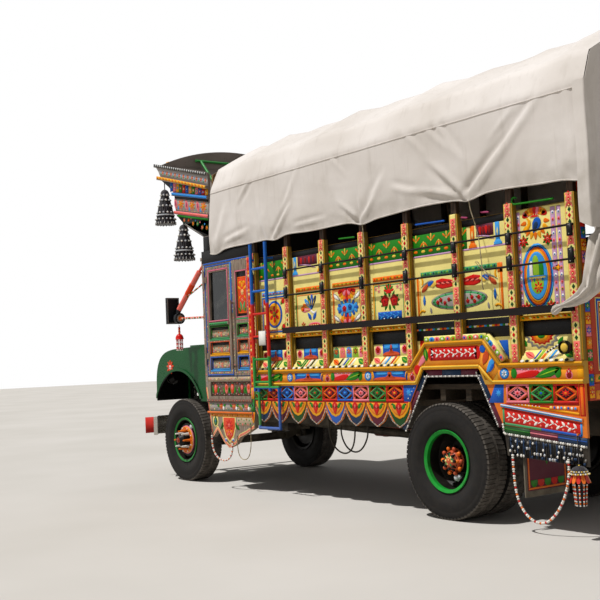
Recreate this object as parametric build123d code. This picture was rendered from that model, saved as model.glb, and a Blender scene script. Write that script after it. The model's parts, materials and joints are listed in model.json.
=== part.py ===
"""Decorated bonneted cargo truck with a painted plank body, a crown over the cab and a canvas cover.

Row frame, millimetres: +X forward, +Y to the truck's left side, +Z up.
The origin is on the ground, at the middle of the overall box.
"""
from build123d import *
from math import cos, pi, radians, sin, tan
import os

os.makedirs("parts", exist_ok=True)

# Overall sizes, from the rear axle forward
wheelbase = 4830.0
front_overhang = 900.0
rear_overhang = 1780.0
overall_length = rear_overhang + wheelbase + front_overhang
rear_axle_x = rear_overhang - overall_length / 2
front_axle_x = rear_axle_x + wheelbase
front_end_x = overall_length / 2
rear_end_x = -overall_length / 2
body_half = 1220.0  # outer face of the posts and of the cab sides
fit_gap = 0.3  # between pieces that only touch
door_gap = 6.0  # round doors, bonnet and tailgate

# Wheels and tyres
tyre_radius = 515.0
tyre_width = 250.0
rim_radius = 262.0
front_tyre_y = 920.0
twin_outer_y = 1070.0
twin_spacing = 290.0
axle_z = tyre_radius
steer_axis_y = 760.0
hub_bore_clearance = 0.3

# Ladder frame
rail_outer_y = 430.0
rail_height = 230.0
rail_flange = 70.0
rail_wall = 8.0
rail_top_z = 950.0
rail_bottom_z = rail_top_z - rail_height
frame_rear_x = rear_axle_x - 1500
frame_front_x = front_end_x - 170

# Cargo body
floor_top_z = 1195.0
floor_board = 45.0
bearer_height = 100.0
runner_top_z = floor_top_z - floor_board - bearer_height
body_rear_x = rear_axle_x - 1580
panel_recess = 55.0  # posts stand proud of the panels by this
panel_thickness = 30.0
panel_outer_y = body_half - panel_recess
panel_inner_y = panel_outer_y - panel_thickness
panel_top_z = 2620.0
wall_top_z = 3380.0
bay_count = 7
post_width = 86.0
band_bottom_z = floor_top_z
band_top_z = 1370.0
sill_rail = 36.0  # height of the two gilt mouldings
rail_z = 1755.0  # underside of the long dark rail
rail_depth = 60.0
rod_heights = (2159.0, 2425.0)
rod_radius = 9.0
top_rail_depth = 60.0
top_rail_width = 60.0  # inward of the panels' outer face

# Cab
cab_front_x = front_axle_x - 860
cab_length = 1040.0
cab_rear_x = cab_front_x - cab_length
cab_wall = 55.0
cab_floor_z = 1240.0
cab_roof_z = 2740.0
door_front_x = cab_front_x - 52
door_width = 590.0
door_latch_gap = 10.0  # wider at the latch edge, which swings past its jamb
hinge_radius = 10.0
hinge_height = 70.0
door_bottom_z = 1315.0
door_top_z = 2635.0
cab_side_bottom_z = 660.0

body_front_x = cab_rear_x - 9
post_setback = 5.0
post_pitch = (body_front_x - body_rear_x - post_width - post_setback) / bay_count
first_post_x = body_rear_x + post_width / 2 + post_setback


# Hoses, garlands and the rope, which hang free between two ends
hose_diameter = 18.0
hose_union_radius = 14.0
hose_union_length = 30.0
hose_lug_half = 20.0
hose_lug_height = 40.0
hose_lug_z = 752.0
garland_diameter = 12.0
rope_diameter = 10.0
garland_y = body_half + 14
air_hose_route = (
    (606, 462, 723), (606, 462, 655), (590, 462, 575), (543, 462, 497), (472, 462, 444), (388, 462, 414),
    (306, 462, 414), (232, 462, 449), (184, 462, 512), (160, 462, 586), (150, 462, 658), (150, 462, 723),
)
brake_hose_route = (
    (478, 395, 691), (478, 395, 632), (455, 395, 558), (401, 395, 486), (328, 395, 440), (245, 395, 424),
    (164, 395, 440), (95, 395, 490), (42, 395, 559), (12, 395, 629), (12, 395, 691),
)
cab_garland_route = (
    (1872, garland_y, 640), (1872, garland_y, 587), (1870, garland_y, 524), (1852, garland_y, 457),
    (1811, garland_y, 402), (1752, garland_y, 362), (1683, garland_y, 341), (1608, garland_y, 336),
    (1540, garland_y, 350), (1482, garland_y, 385), (1446, garland_y, 437), (1430, garland_y, 500),
    (1430, garland_y, 560),
)
cab_rope_route = (
    (1326, garland_y, 620), (1326, garland_y, 562), (1323, garland_y, 492), (1304, garland_y, 426),
    (1260, garland_y, 382), (1198, garland_y, 366), (1134, garland_y, 379), (1085, garland_y, 423),
    (1057, garland_y, 488), (1045, garland_y, 562), (1043, garland_y, 646), (1043, garland_y, 730),
)
rear_garland_route = (
    (-2806, garland_y, 640), (-2806, garland_y, 572), (-2807.5, garland_y, 497), (-2811, garland_y, 420),
    (-2819, garland_y, 343), (-2836, garland_y, 270), (-2867, garland_y, 205), (-2913, garland_y, 150),
    (-2973, garland_y, 108), (-3041, garland_y, 88), (-3111, garland_y, 96), (-3177, garland_y, 135),
    (-3234, garland_y, 191), (-3282, garland_y, 256), (-3322, garland_y, 330), (-3350, garland_y, 408),
    (-3367, garland_y, 480), (-3373, garland_y, 548), (-3373, garland_y, 610),
)


def post_x(number):
    """Centre of a side post, counted from the rear corner."""
    return first_post_x + number * post_pitch


# Plain shape helpers

def block(x0, x1, y0, y1, z0, z1):
    """Box between two corners."""
    return Pos((x0 + x1) / 2, (y0 + y1) / 2, (z0 + z1) / 2) * Box(abs(x1 - x0), abs(y1 - y0), abs(z1 - z0))


def side_plate(points, y0, y1):
    """Outline in X and Z, as thick as y0 to y1."""
    outline = make_face(Polyline(*[(x, y0, z) for x, z in points], close=True))
    return extrude(outline, amount=y1 - y0, dir=(0, 1, 0))


def cross_plate(points, x0, x1):
    """Outline in Y and Z, as thick as x0 to x1."""
    outline = make_face(Polyline(*[(x0, y, z) for y, z in points], close=True))
    return extrude(outline, amount=x1 - x0, dir=(1, 0, 0))


def plan_plate(points, z0, z1):
    """Outline in X and Y, as thick as z0 to z1."""
    outline = make_face(Polyline(*[(x, y, z0) for x, y in points], close=True))
    return extrude(outline, amount=z1 - z0, dir=(0, 0, 1))


def bar(start, end, radius):
    """Round bar between two points."""
    line = Vector(*end) - Vector(*start)
    place = Plane(origin=start, z_dir=line)
    return place * Cylinder(radius, line.length, align=(Align.CENTER, Align.CENTER, Align.MIN))


def taper(start, end, start_radius, end_radius):
    """Round tapered bar between two points."""
    line = Vector(*end) - Vector(*start)
    place = Plane(origin=start, z_dir=line)
    return place * Cone(start_radius, end_radius, line.length, align=(Align.CENTER, Align.CENTER, Align.MIN))


def turned(profile, x, z):
    """Turns (y, radius) points about an axle at x, z."""
    outline = make_face(Polyline(*[(0, y, r) for y, r in profile], close=True))
    return Pos(x, 0, z) * revolve(outline, Axis.Y, 360)


def mirrored(shape):
    """The same shape on the truck's other side."""
    return mirror(shape, about=Plane.XZ)


def pair(shape):
    """A left shape and its right twin."""
    return [shape, mirrored(shape)]


def both(shapes):
    """Several left shapes and their right twins."""
    return [twin for shape in shapes for twin in pair(shape)]


def save(name, *shapes):
    """Writes one node, as the solids of its shapes."""
    solids = [solid for shape in shapes for solid in shape.solids()]
    export_step(Compound(solids), f"parts/{name}.step")


# Running gear

def channel_rail():
    """Left pressed channel of the ladder frame, open to the inside."""
    inner_y = rail_outer_y - rail_flange
    outline = [
        (rail_outer_y, rail_bottom_z), (rail_outer_y, rail_top_z), (inner_y, rail_top_z),
        (inner_y, rail_top_z - rail_wall), (rail_outer_y - rail_wall, rail_top_z - rail_wall),
        (rail_outer_y - rail_wall, rail_bottom_z + rail_wall), (inner_y, rail_bottom_z + rail_wall),
        (inner_y, rail_bottom_z),
    ]
    return cross_plate(outline, frame_rear_x, frame_front_x)


spring_width = 72.0
leaf_thickness = 14.0
rear_spring_y = rail_outer_y + 12 + spring_width / 2
front_spring_y = rail_outer_y - spring_width / 2
rear_spring_half = 620.0
front_spring_half = 560.0
leaf_count = 6
beam_top_z = 505.0
axle_tube_radius = 62.0
spring_eye_radius = 26.0
rear_spring_seat_z = axle_z + axle_tube_radius + 10
front_spring_seat_z = beam_top_z + 15
spring_rise = 60.0


def eye_z(seat_z):
    """Height of the spring eyes over a spring seat."""
    return seat_z + leaf_count * leaf_thickness + spring_rise - leaf_thickness / 2


def leaf_spring(centre_x, seat_z, half_length, y):
    """A pack of bent leaves, the longest on top, with rolled eyes."""
    bend = (half_length ** 2 + spring_rise ** 2) / (2 * spring_rise)
    top_z = seat_z + leaf_count * leaf_thickness
    pack = None
    for number in range(leaf_count):
        length = half_length * (1 - 0.14 * number)
        outer = bend + leaf_thickness * number
        ring = Cylinder(outer + leaf_thickness, spring_width) - Cylinder(outer, spring_width)
        ring = Pos(centre_x, y, top_z + bend) * (Rot(90, 0, 0) * ring)
        window = block(centre_x - length, centre_x + length, y - spring_width, y + spring_width,
                       top_z - leaf_thickness * (number + 2), top_z + spring_rise + leaf_thickness)
        leaf = ring & window
        pack = leaf if pack is None else pack + leaf
    for end in (-1, 1):
        eye = bar((centre_x + end * half_length, y - spring_width / 2, eye_z(seat_z)),
                  (centre_x + end * half_length, y + spring_width / 2, eye_z(seat_z)), spring_eye_radius)
        pack = pack + eye
    return pack


cradle_top_z = rail_bottom_z + 45
radiator_seat_z = 860.0
engine_rear_x = front_axle_x - 480
engine_front_x = front_axle_x + 330
gearbox_rear_x = engine_rear_x - 560
radiator_x = front_axle_x + 430
tow_eye_radius = 22.0
tow_eye_boss = 55.0
tow_eye_x = rear_axle_x - 1640
tow_eye_z = rail_top_z - 100
tank_front_x = rear_axle_x + 3000
tank_length = 800.0
tank_arm_inset = 150.0
tank_inner_y = rail_outer_y + 110
tank_depth = 420.0
tank_top_z = 930.0
tank_height = 430.0


member_half = 40.0  # half the width of a cross member
hanger_half = 45.0
hanger_height = 60.0
tow_eye_height = 36.0


def frame_rail(side):
    """One channel with its spring hangers, on the left for 1 and on the right for -1."""
    rail = channel_rail() if side > 0 else mirrored(channel_rail())
    web_y = rail_outer_y - rail_wall
    for end in (-1, 1):
        x = rear_axle_x + end * rear_spring_half
        z = eye_z(rear_spring_seat_z) + spring_eye_radius
        rail += block(x - hanger_half, x + hanger_half, side * web_y, side * (rear_spring_y + spring_width / 2),
                      z, z + hanger_height)
        x = front_axle_x + end * front_spring_half
        z = eye_z(front_spring_seat_z) + spring_eye_radius
        rail += block(x - hanger_half, x + hanger_half, side * (rail_outer_y - spring_width), side * rail_outer_y,
                      z, rail_bottom_z + rail_wall / 2)
    return rail


def hose_end(x, y, seat_z):
    """Short round union that a hose hangs from, on the underside of what is at seat_z."""
    return Pos(x, y, seat_z - hose_union_length / 2) * Cylinder(hose_union_radius, hose_union_length)


def chassis_frame():
    """Two channels with their hangers, the cross members, tank arms, hose unions and the rear tow eye."""
    web_y = rail_outer_y - rail_wall
    left, right = frame_rail(1), frame_rail(-1)
    for x in (tank_front_x - tank_arm_inset, tank_front_x - tank_length + tank_arm_inset):
        right += block(x - 30, x + 30, -tank_inner_y, -web_y, tank_top_z - 320, tank_top_z - 60)
    for x, y, _ in (air_hose_route[0], air_hose_route[-1]):
        left += block(x - hose_lug_half, x + hose_lug_half, rail_outer_y - 1, y + hose_lug_half,
                      hose_lug_z, hose_lug_z + hose_lug_height)
        left += hose_end(x, y, hose_lug_z + 1)
    for x, y, _ in (brake_hose_route[0], brake_hose_route[-1]):
        left += hose_end(x, y, rail_bottom_z + 1)
    members = []
    rear_member_x = frame_rear_x + 60
    for x in (rear_member_x, rear_axle_x - 760, rear_axle_x + 760, rear_axle_x + 1900, rear_axle_x + 3050,
              frame_front_x - 50):
        members.append(block(x - member_half, x + member_half, -web_y, web_y,
                             rail_bottom_z + 40, rail_top_z - 30))
    for x in (engine_rear_x + 120, engine_front_x - 120):
        members.append(block(x - 35, x + 35, -web_y, web_y, rail_bottom_z + rail_wall, cradle_top_z))
    members.append(block(radiator_x - 45, radiator_x + 45, -web_y, web_y, rail_bottom_z + 40, radiator_seat_z))
    eye = block(tow_eye_x, rear_member_x, -tow_eye_boss, tow_eye_boss, tow_eye_z - tow_eye_height / 2,
                tow_eye_z + tow_eye_height / 2)
    eye += Pos(tow_eye_x, 0, tow_eye_z) * Cylinder(tow_eye_boss, tow_eye_height)
    eye -= Pos(tow_eye_x, 0, tow_eye_z) * Cylinder(tow_eye_radius, tow_eye_height * 2)
    members[0] = members[0] + eye
    return [left, right] + members


def engine():
    """Engine with its gearbox as plain blocks, and the radiator core."""
    block_top_z = 1430.0
    motor = block(engine_rear_x, engine_front_x, -290, 290, cradle_top_z, block_top_z)
    gearbox = block(gearbox_rear_x, engine_rear_x + 1, -170, 170, 600, rail_top_z - 15)
    radiator = block(radiator_x - 32, radiator_x + 32, -330, 330, radiator_seat_z, 1500)
    return [motor + gearbox, radiator]


shaft_radius = 44.0
diff_radius = 175.0
diff_nose_x = rear_axle_x + 235
shaft_front_z = 705.0
shaft_rear_z = axle_z + 20


def prop_shaft():
    """Shaft from gearbox to differential, with its two joints."""
    start = (diff_nose_x + fit_gap, 0, shaft_rear_z)
    end = (gearbox_rear_x - fit_gap, 0, shaft_front_z)
    shaft = bar((start[0] + 60, 0, shaft_rear_z + 3), (end[0] - 60, 0, shaft_front_z - 3), shaft_radius)
    shaft += bar(start, (start[0] + 80, 0, start[2]), shaft_radius + 22)
    shaft += bar((end[0] - 80, 0, end[2]), end, shaft_radius + 22)
    return shaft


knuckle_eye_radius = 40.0
knuckle_eye_height = 120.0
kingpin_radius = 17.0
kingpin_clearance = 0.05


def front_axle():
    """Dropped I-beam with kingpin eyes and spring seats."""
    beam_depth = 95.0
    reach = steer_axis_y - knuckle_eye_radius / 2
    rise = 60.0
    outline = [(-reach, beam_top_z + rise), (-reach + 190, beam_top_z), (reach - 190, beam_top_z),
               (reach, beam_top_z + rise), (reach, beam_top_z + rise - beam_depth),
               (reach - 190, beam_top_z - beam_depth), (-reach + 190, beam_top_z - beam_depth),
               (-reach, beam_top_z + rise - beam_depth)]
    beam = cross_plate(outline, front_axle_x - 40, front_axle_x + 40)
    for side in (-1, 1):
        pocket = block(front_axle_x + side * 14, front_axle_x + side * 60, -reach + 230, reach - 230,
                       beam_top_z - beam_depth + 20, beam_top_z - 20)
        beam -= pocket
        beam += Pos(front_axle_x, side * steer_axis_y, axle_z) * Cylinder(knuckle_eye_radius, knuckle_eye_height)
        beam += block(front_axle_x - 70, front_axle_x + 70, side * (front_spring_y - 42),
                      side * (front_spring_y + 42), beam_top_z - 12, front_spring_seat_z)
    for side in (-1, 1):
        beam -= Pos(front_axle_x, side * steer_axis_y, axle_z) * Cylinder(
            kingpin_radius + kingpin_clearance, knuckle_eye_height * 2)
    return beam


spindle_radius = 34.0
rear_spindle_end_y = twin_outer_y - 10
rear_hub_inner_y = twin_outer_y - twin_spacing - tyre_width / 2 + 20


def rear_axle():
    """Banjo housing with a round differential, spindles and spring seats."""
    tube_end_y = rear_hub_inner_y - 8
    housing = bar((rear_axle_x, -tube_end_y, axle_z), (rear_axle_x, tube_end_y, axle_z), axle_tube_radius)
    housing += bar((rear_axle_x - 120, 0, axle_z), (rear_axle_x + 120, 0, axle_z), diff_radius)
    housing += taper((rear_axle_x + 119, 0, shaft_rear_z), (diff_nose_x, 0, shaft_rear_z), 130, 62)
    housing += bar((rear_axle_x, -rear_spindle_end_y, axle_z), (rear_axle_x, rear_spindle_end_y, axle_z),
                   spindle_radius)
    for side in (-1, 1):
        housing += block(rear_axle_x - 75, rear_axle_x + 75, side * (rear_spring_y - 42),
                         side * (rear_spring_y + 42), axle_z, rear_spring_seat_z)
    return housing


def leaf_springs():
    """The four spring packs."""
    rear = leaf_spring(rear_axle_x, rear_spring_seat_z, rear_spring_half, rear_spring_y)
    front = leaf_spring(front_axle_x, front_spring_seat_z, front_spring_half, front_spring_y)
    return pair(rear) + pair(front)


def fuel_tank():
    """Rounded tank with two straps, on the right rail."""
    x0, x1 = tank_front_x - tank_length, tank_front_x
    y_inner, y_outer = -tank_inner_y - fit_gap, -tank_inner_y - tank_depth
    z0, z1 = tank_top_z - tank_height, tank_top_z
    tank = block(x0, x1, y_outer, y_inner, z0, z1)
    tank = fillet(tank.edges().filter_by(Axis.X), 70)
    strap = block(-25, 25, y_outer - 5, y_inner, z0 - 5, z1 + 5)
    strap = fillet(strap.edges().filter_by(Axis.X), 72)
    for x in (x0 + tank_arm_inset, x1 - tank_arm_inset):
        tank += Pos(x, 0, 0) * strap
    cap = Pos(x1 - 90, y_outer + 120, z1) * Cylinder(45, 50)
    return tank + cap


# Wheels

def tyre(y):
    """One tyre, from bead to tread, at a height of one tyre radius."""
    half = tyre_width / 2
    profile = [(y - half + 33, rim_radius), (y - half, rim_radius + 128), (y - half + 6, tyre_radius - 26),
               (y - half + 26, tyre_radius), (y + half - 26, tyre_radius), (y + half - 6, tyre_radius - 26),
               (y + half, rim_radius + 128), (y + half - 33, rim_radius)]
    return profile


rim_wall = 14.0
rim_half = tyre_width / 2 - 28
drum_radius = 205.0
front_disc_y = front_tyre_y + 62
hub_radius = 84.0
front_disc_flat = 132.0
front_nut_circle = 109.0
front_hub_end_y = front_tyre_y + 215
nut_circle = 145.0


def rim_ring(y):
    """Rim barrel with its flanges, as (y, radius) points."""
    return [(y - rim_half - 12, rim_radius + 18), (y - rim_half, rim_radius), (y + rim_half, rim_radius),
            (y + rim_half + 12, rim_radius + 18), (y + rim_half + 20, rim_radius + 14),
            (y + rim_half + 8, rim_radius - rim_wall), (y - rim_half - 8, rim_radius - rim_wall),
            (y - rim_half - 20, rim_radius + 14)]


def ring_of(count, circle, y0, y1, radius, x, end_radius=None):
    """Round studs or holes on a circle about a wheel's axle."""
    shapes = []
    for number in range(count):
        turn = 2 * pi * number / count
        place = (x + circle * cos(turn), axle_z + circle * sin(turn))
        if end_radius is None:
            shapes.append(bar((place[0], y0, place[1]), (place[0], y1, place[1]), radius))
        else:
            shapes.append(taper((place[0], y0, place[1]), (place[0], y1, place[1]), radius, end_radius))
    return shapes


def front_rim():
    """Left front disc wheel with drum, hub and long nut covers."""
    x = front_axle_x
    barrel = turned(rim_ring(front_tyre_y), x, axle_z)
    disc = turned([(front_tyre_y + 8, rim_radius - rim_wall / 2), (front_disc_y + 18, 205),
                   (front_disc_y + 30, front_disc_flat), (front_disc_y + 30, 30), (front_disc_y + 16, 30),
                   (front_disc_y + 16, front_disc_flat), (front_disc_y + 4, 198),
                   (front_tyre_y - 8, rim_radius - rim_wall / 2)], x, axle_z)
    for hole in ring_of(5, 172, front_disc_y - 40, front_disc_y + 60, 24, x):
        disc -= hole
    drum = turned([(front_tyre_y - 55, spindle_radius + hub_bore_clearance), (front_tyre_y - 55, drum_radius),
                   (front_disc_y - 34, drum_radius), (front_disc_y - 12, 120), (front_disc_y + 22, 120),
                   (front_disc_y + 22, hub_radius), (front_hub_end_y - 45, hub_radius - 8),
                   (front_hub_end_y, hub_radius - 36), (front_hub_end_y, 0), (front_tyre_y + 40, 0),
                   (front_tyre_y + 40, spindle_radius + hub_bore_clearance)], x, axle_z)
    wheel = barrel + disc + drum
    for cover in ring_of(8, front_nut_circle, front_disc_y + 26, front_hub_end_y - 20, 16, x, 9):
        wheel += cover
    return wheel


def rear_rims():
    """Left twin rims on one hub, the outer one deeply dished."""
    x = rear_axle_x
    middle = twin_outer_y - twin_spacing / 2
    inner = turned(rim_ring(twin_outer_y - twin_spacing), x, axle_z)
    outer = turned(rim_ring(twin_outer_y), x, axle_z)
    inner_disc = turned([(twin_outer_y - twin_spacing + 30, rim_radius - rim_wall / 2),
                         (middle - 24, 190), (middle - 14, 60), (middle, 60), (middle, 200),
                         (twin_outer_y - twin_spacing + 50, rim_radius - rim_wall / 2)], x, axle_z)
    outer_disc = turned([(twin_outer_y - 50, rim_radius - rim_wall / 2), (middle, 200), (middle, 60),
                         (middle + 14, 60), (middle + 24, 190),
                         (twin_outer_y - 30, rim_radius - rim_wall / 2)], x, axle_z)
    bore = spindle_radius + hub_bore_clearance
    hub_end_y = twin_outer_y + 75
    hub = turned([(rear_hub_inner_y, bore), (rear_hub_inner_y, drum_radius), (middle - 40, drum_radius),
                  (middle - 20, 120), (hub_end_y - 55, 98), (hub_end_y - 20, 80), (hub_end_y, 45),
                  (hub_end_y, 0), (rear_spindle_end_y + 8, 0), (rear_spindle_end_y + 8, bore)], x, axle_z)
    wheel = inner + outer + inner_disc + outer_disc + hub
    for nut in ring_of(8, nut_circle, middle + 10, middle + 62, 18, x, 14):
        wheel += nut
    for stud in ring_of(8, 66, hub_end_y - 50, hub_end_y + 12, 15, x, 11):
        wheel += stud
    return wheel


def knuckle():
    """Left stub axle: yoke, kingpin and spindle."""
    eye_top = axle_z + knuckle_eye_height / 2
    eye_low = axle_z - knuckle_eye_height / 2
    arm = 26.0
    plate_y = steer_axis_y + knuckle_eye_radius + 14
    yoke = None
    for z0 in (eye_top + 2, eye_low - 2 - arm):
        ear = Pos(front_axle_x, steer_axis_y, z0 + arm / 2) * Cylinder(knuckle_eye_radius, arm)
        ear += block(front_axle_x - knuckle_eye_radius, front_axle_x + knuckle_eye_radius,
                     steer_axis_y, plate_y + 20, z0, z0 + arm)
        yoke = ear if yoke is None else yoke + ear
    yoke += block(front_axle_x - 60, front_axle_x + 60, plate_y, plate_y + 24,
                  eye_low - 2 - arm, eye_top + 2 + arm)
    yoke += Pos(front_axle_x, steer_axis_y, axle_z) * Cylinder(kingpin_radius, knuckle_eye_height + 40)
    yoke += bar((front_axle_x, plate_y + 10, axle_z), (front_axle_x, front_tyre_y + 30, axle_z), spindle_radius)
    return yoke


# Front end

wing_inner_y = 640.0
wing_outer_y = 1110.0
sheet = 12.0
wing_rear_x = cab_front_x + 14
wing_front_x = front_axle_x + 560
wing_top_z = 1660.0
arch_radius = 600.0
arch_centre_z = 790.0
lamp_y = 865.0
lamp_z = 1320.0
lamp_radius = 105.0


def wing_outline(inset):
    """Side view of a front wing, closed along its open underside."""
    rear, front, top = wing_rear_x + inset, wing_front_x - inset, wing_top_z - inset
    low = 1010.0
    line = Polyline((rear, 0, low), (rear, 0, top + 35), (front_axle_x + 40, 0, top + 10))
    nose = Spline((front_axle_x + 40, 0, top + 10), (front - 110, 0, top - 110), (front, 0, top - 430),
                  tangents=((1, 0, -0.06), (0, 0, -1)))
    under = Polyline((front, 0, top - 430), (front, 0, low), (rear, 0, low))
    return make_face([line, nose, under])


def front_wing():
    """Left front wing: rounded shell, open below, with a round wheel arch and a lamp hole."""
    outer = extrude(Pos(0, wing_inner_y, 0) * wing_outline(0), amount=wing_outer_y - wing_inner_y, dir=(0, 1, 0))
    inner = extrude(Pos(0, wing_inner_y - 5, 0) * wing_outline(sheet),
                    amount=wing_outer_y - wing_inner_y + 5 - sheet, dir=(0, 1, 0))
    inner = inner + Pos(0, 0, -60) * inner
    shell = outer - inner
    arch = bar((front_axle_x, wing_inner_y - 50, arch_centre_z), (front_axle_x, wing_outer_y + 50, arch_centre_z),
               arch_radius)
    drop = block(front_axle_x - arch_radius, front_axle_x + arch_radius, wing_inner_y - 50, wing_outer_y + 50,
                 900, arch_centre_z)
    lip = bar((front_axle_x, wing_outer_y - 4, arch_centre_z), (front_axle_x, wing_outer_y + 14, arch_centre_z),
              arch_radius + 34)
    lip = (lip - arch) & block(wing_rear_x, wing_front_x, wing_outer_y - 4, wing_outer_y + 14, 1040, 1500)
    hole = Pos(wing_front_x, lamp_y, lamp_z) * (Rot(0, 90, 0) * Cylinder(lamp_radius + fit_gap, 300))
    return (shell - arch - drop - hole) + lip


nose_x = front_axle_x + 590
grille_half = 540.0
grille_low_z = 1010.0
grille_high_z = 1500.0
nose_half = wing_inner_y - fit_gap


def nose_panel():
    """Upright front panel between the wings, with the grille opening."""
    outline = [(-nose_half, 960), (nose_half, 960), (nose_half, 1560), (nose_half - 90, 1650),
               (-nose_half + 90, 1650), (-nose_half, 1560)]
    panel = cross_plate(outline, nose_x - 90, nose_x)
    hollow = [(-nose_half + sheet, 940), (nose_half - sheet, 940), (nose_half - sheet, 1553),
              (nose_half - 97, 1650 - sheet), (-nose_half + 97, 1650 - sheet), (-nose_half + sheet, 1553)]
    panel -= cross_plate(hollow, nose_x - 100, nose_x - sheet)
    opening = block(nose_x - 60, nose_x + 20, -grille_half, grille_half, grille_low_z, grille_high_z)
    opening = fillet(opening.edges().filter_by(Axis.X), 120)
    legs = [block(nose_x - 80, nose_x - sheet / 2, side * 370, side * 420, rail_top_z, 980) for side in (-1, 1)]
    panel = panel - opening
    for leg in legs:
        panel += leg
    return panel


def grille():
    """Horizontal bars on three uprights, behind the nose opening."""
    frame = None
    bar_count = 8
    step = (grille_high_z - grille_low_z - 40) / (bar_count - 1)
    for number in range(bar_count):
        z = grille_low_z + 20 + number * step
        slat = block(nose_x - 34, nose_x - 16, -grille_half - 10, grille_half + 10, z - 13, z + 13)
        frame = slat if frame is None else frame + slat
    for y in (-grille_half + 10, 0, grille_half - 10):
        frame += block(nose_x - 50, nose_x - 16, y - 16, y + 16, grille_low_z - 25, grille_high_z + 25)
    front = nose_x - sheet - fit_gap
    for z in (grille_low_z - 25, grille_high_z + 5):
        frame += block(nose_x - 50, front, -grille_half - 10, grille_half + 10, z, z + 20)
    return frame


def headlamps():
    """Round lamps seated in the wing fronts, with domed glasses."""
    lamp = turned_x([(wing_front_x - 120, 0), (wing_front_x - 120, 60), (wing_front_x - 60, lamp_radius),
                     (wing_front_x + 14, lamp_radius), (wing_front_x + 22, lamp_radius - 12),
                     (wing_front_x + 36, 60), (wing_front_x + 42, 0)], lamp_y, lamp_z)
    return pair(lamp)


def turned_x(profile, y, z):
    """Turns (x, radius) points about a line along X."""
    outline = make_face(Polyline(*[(x, 0, r) for x, r in profile], close=True))
    return Pos(0, y, z) * revolve(outline, Axis.X, 360)


def front_bumper():
    """Channel bumper with raked ends, on two brackets."""
    z0, z1 = 560.0, 800.0
    depth = 75.0
    outline = [(front_end_x - 260, -1130), (front_end_x - 60, -1010), (front_end_x, -930), (front_end_x, 930),
               (front_end_x - 60, 1010), (front_end_x - 260, 1130), (front_end_x - 285, 1090),
               (front_end_x - 75, 960), (front_end_x - depth, 900), (front_end_x - depth, -900),
               (front_end_x - 75, -960), (front_end_x - 285, -1090)]
    bumper = plan_plate(outline, z0, z1)
    for side in (-1, 1):
        bumper += block(frame_front_x + fit_gap, front_end_x - depth + 5,
                        side * 365, side * rail_outer_y, 700, 790)
    return bumper


bonnet_rear_x = cab_front_x + door_gap
bonnet_front_x = nose_x - 4
bonnet_hinge_x = cab_front_x + 14
bonnet_hinge_z = 1885.0
bonnet_barrel_radius = 9.0
bonnet_barrel_half = 60.0


def bonnet_section(x, crest_z, edge_z, half):
    """Cross-section of the bonnet at one place, as a closed face."""
    shoulder = half - 120
    arc = ThreePointArc((x, shoulder, crest_z - 60), (x, 0, crest_z), (x, -shoulder, crest_z - 60))
    left = Polyline((x, half, edge_z), (x, half, edge_z + 60), (x, shoulder, crest_z - 60))
    right = Polyline((x, -shoulder, crest_z - 60), (x, -half, edge_z + 60), (x, -half, edge_z),
                     (x, half, edge_z))
    return make_face([left, arc, right])


def bonnet_body(inset):
    """Solid form of the bonnet, shrunk by inset."""
    sections = [(bonnet_rear_x - inset * 2, 1870 - inset, 1662 - inset * 3, wing_inner_y - 8 - inset),
                (bonnet_front_x - inset, 1735 - inset, 1662 - inset * 3, wing_inner_y - 70 - inset)]
    return loft([bonnet_section(*section) for section in sections])


def bonnet():
    """Lifting bonnet shell with a raised centre rib."""
    shell = bonnet_body(0) - bonnet_body(sheet)
    rib = side_plate([(bonnet_rear_x + 60, 1850), (bonnet_rear_x + 60, 1878), (bonnet_front_x - 60, 1750),
                      (bonnet_front_x - 60, 1730)], -16, 16)
    barrel = bonnet_barrel(-bonnet_barrel_half + fit_gap, bonnet_barrel_half - fit_gap)
    strap = side_plate([(bonnet_hinge_x, bonnet_hinge_z - 6), (bonnet_hinge_x, bonnet_hinge_z + 6),
                        (bonnet_hinge_x + 70, 1866), (bonnet_hinge_x + 70, 1854), (bonnet_hinge_x + 8, 1860)],
                       -bonnet_barrel_half + fit_gap, bonnet_barrel_half - fit_gap)
    return shell + rib + barrel + strap


def bonnet_barrel(y0, y1):
    """Part of the bonnet hinge's barrel, from y0 to y1."""
    return bar((bonnet_hinge_x, y0, bonnet_hinge_z), (bonnet_hinge_x, y1, bonnet_hinge_z), bonnet_barrel_radius)


# Cab

eye_half = 7.0
eye_height = 14.0


def eye_block(x, seat_z):
    """Small eye on a left outer face, from which a garland or tassel hangs at seat_z."""
    return block(x - eye_half, x + eye_half, body_half - 1, garland_y + eye_half, seat_z, seat_z + eye_height)


def cab_floor():
    """Cab floor boards on two bearers over the frame."""
    inner = body_half - cab_wall
    floor = block(cab_rear_x, cab_front_x, -inner, inner, cab_floor_z - 40, cab_floor_z)
    for x in (cab_rear_x + 90, cab_front_x - 90):
        floor += block(x - 45, x + 45, -1000, 1000, rail_top_z, cab_floor_z - 40)
    return floor


def cab_back():
    """Plank rear wall of the cab."""
    inner = body_half - cab_wall
    return block(cab_rear_x, cab_rear_x + 40, -inner, inner, cab_floor_z, cab_roof_z - 40)


def cab_roof():
    """Flat cab roof, which carries the crown's deck."""
    return block(cab_rear_x, cab_front_x + 30, -body_half, body_half, cab_roof_z - 40, cab_roof_z)


screen_low_z = 1960.0
screen_high_z = 2560.0
screen_half = body_half - 160
post_half = 28.0


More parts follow.
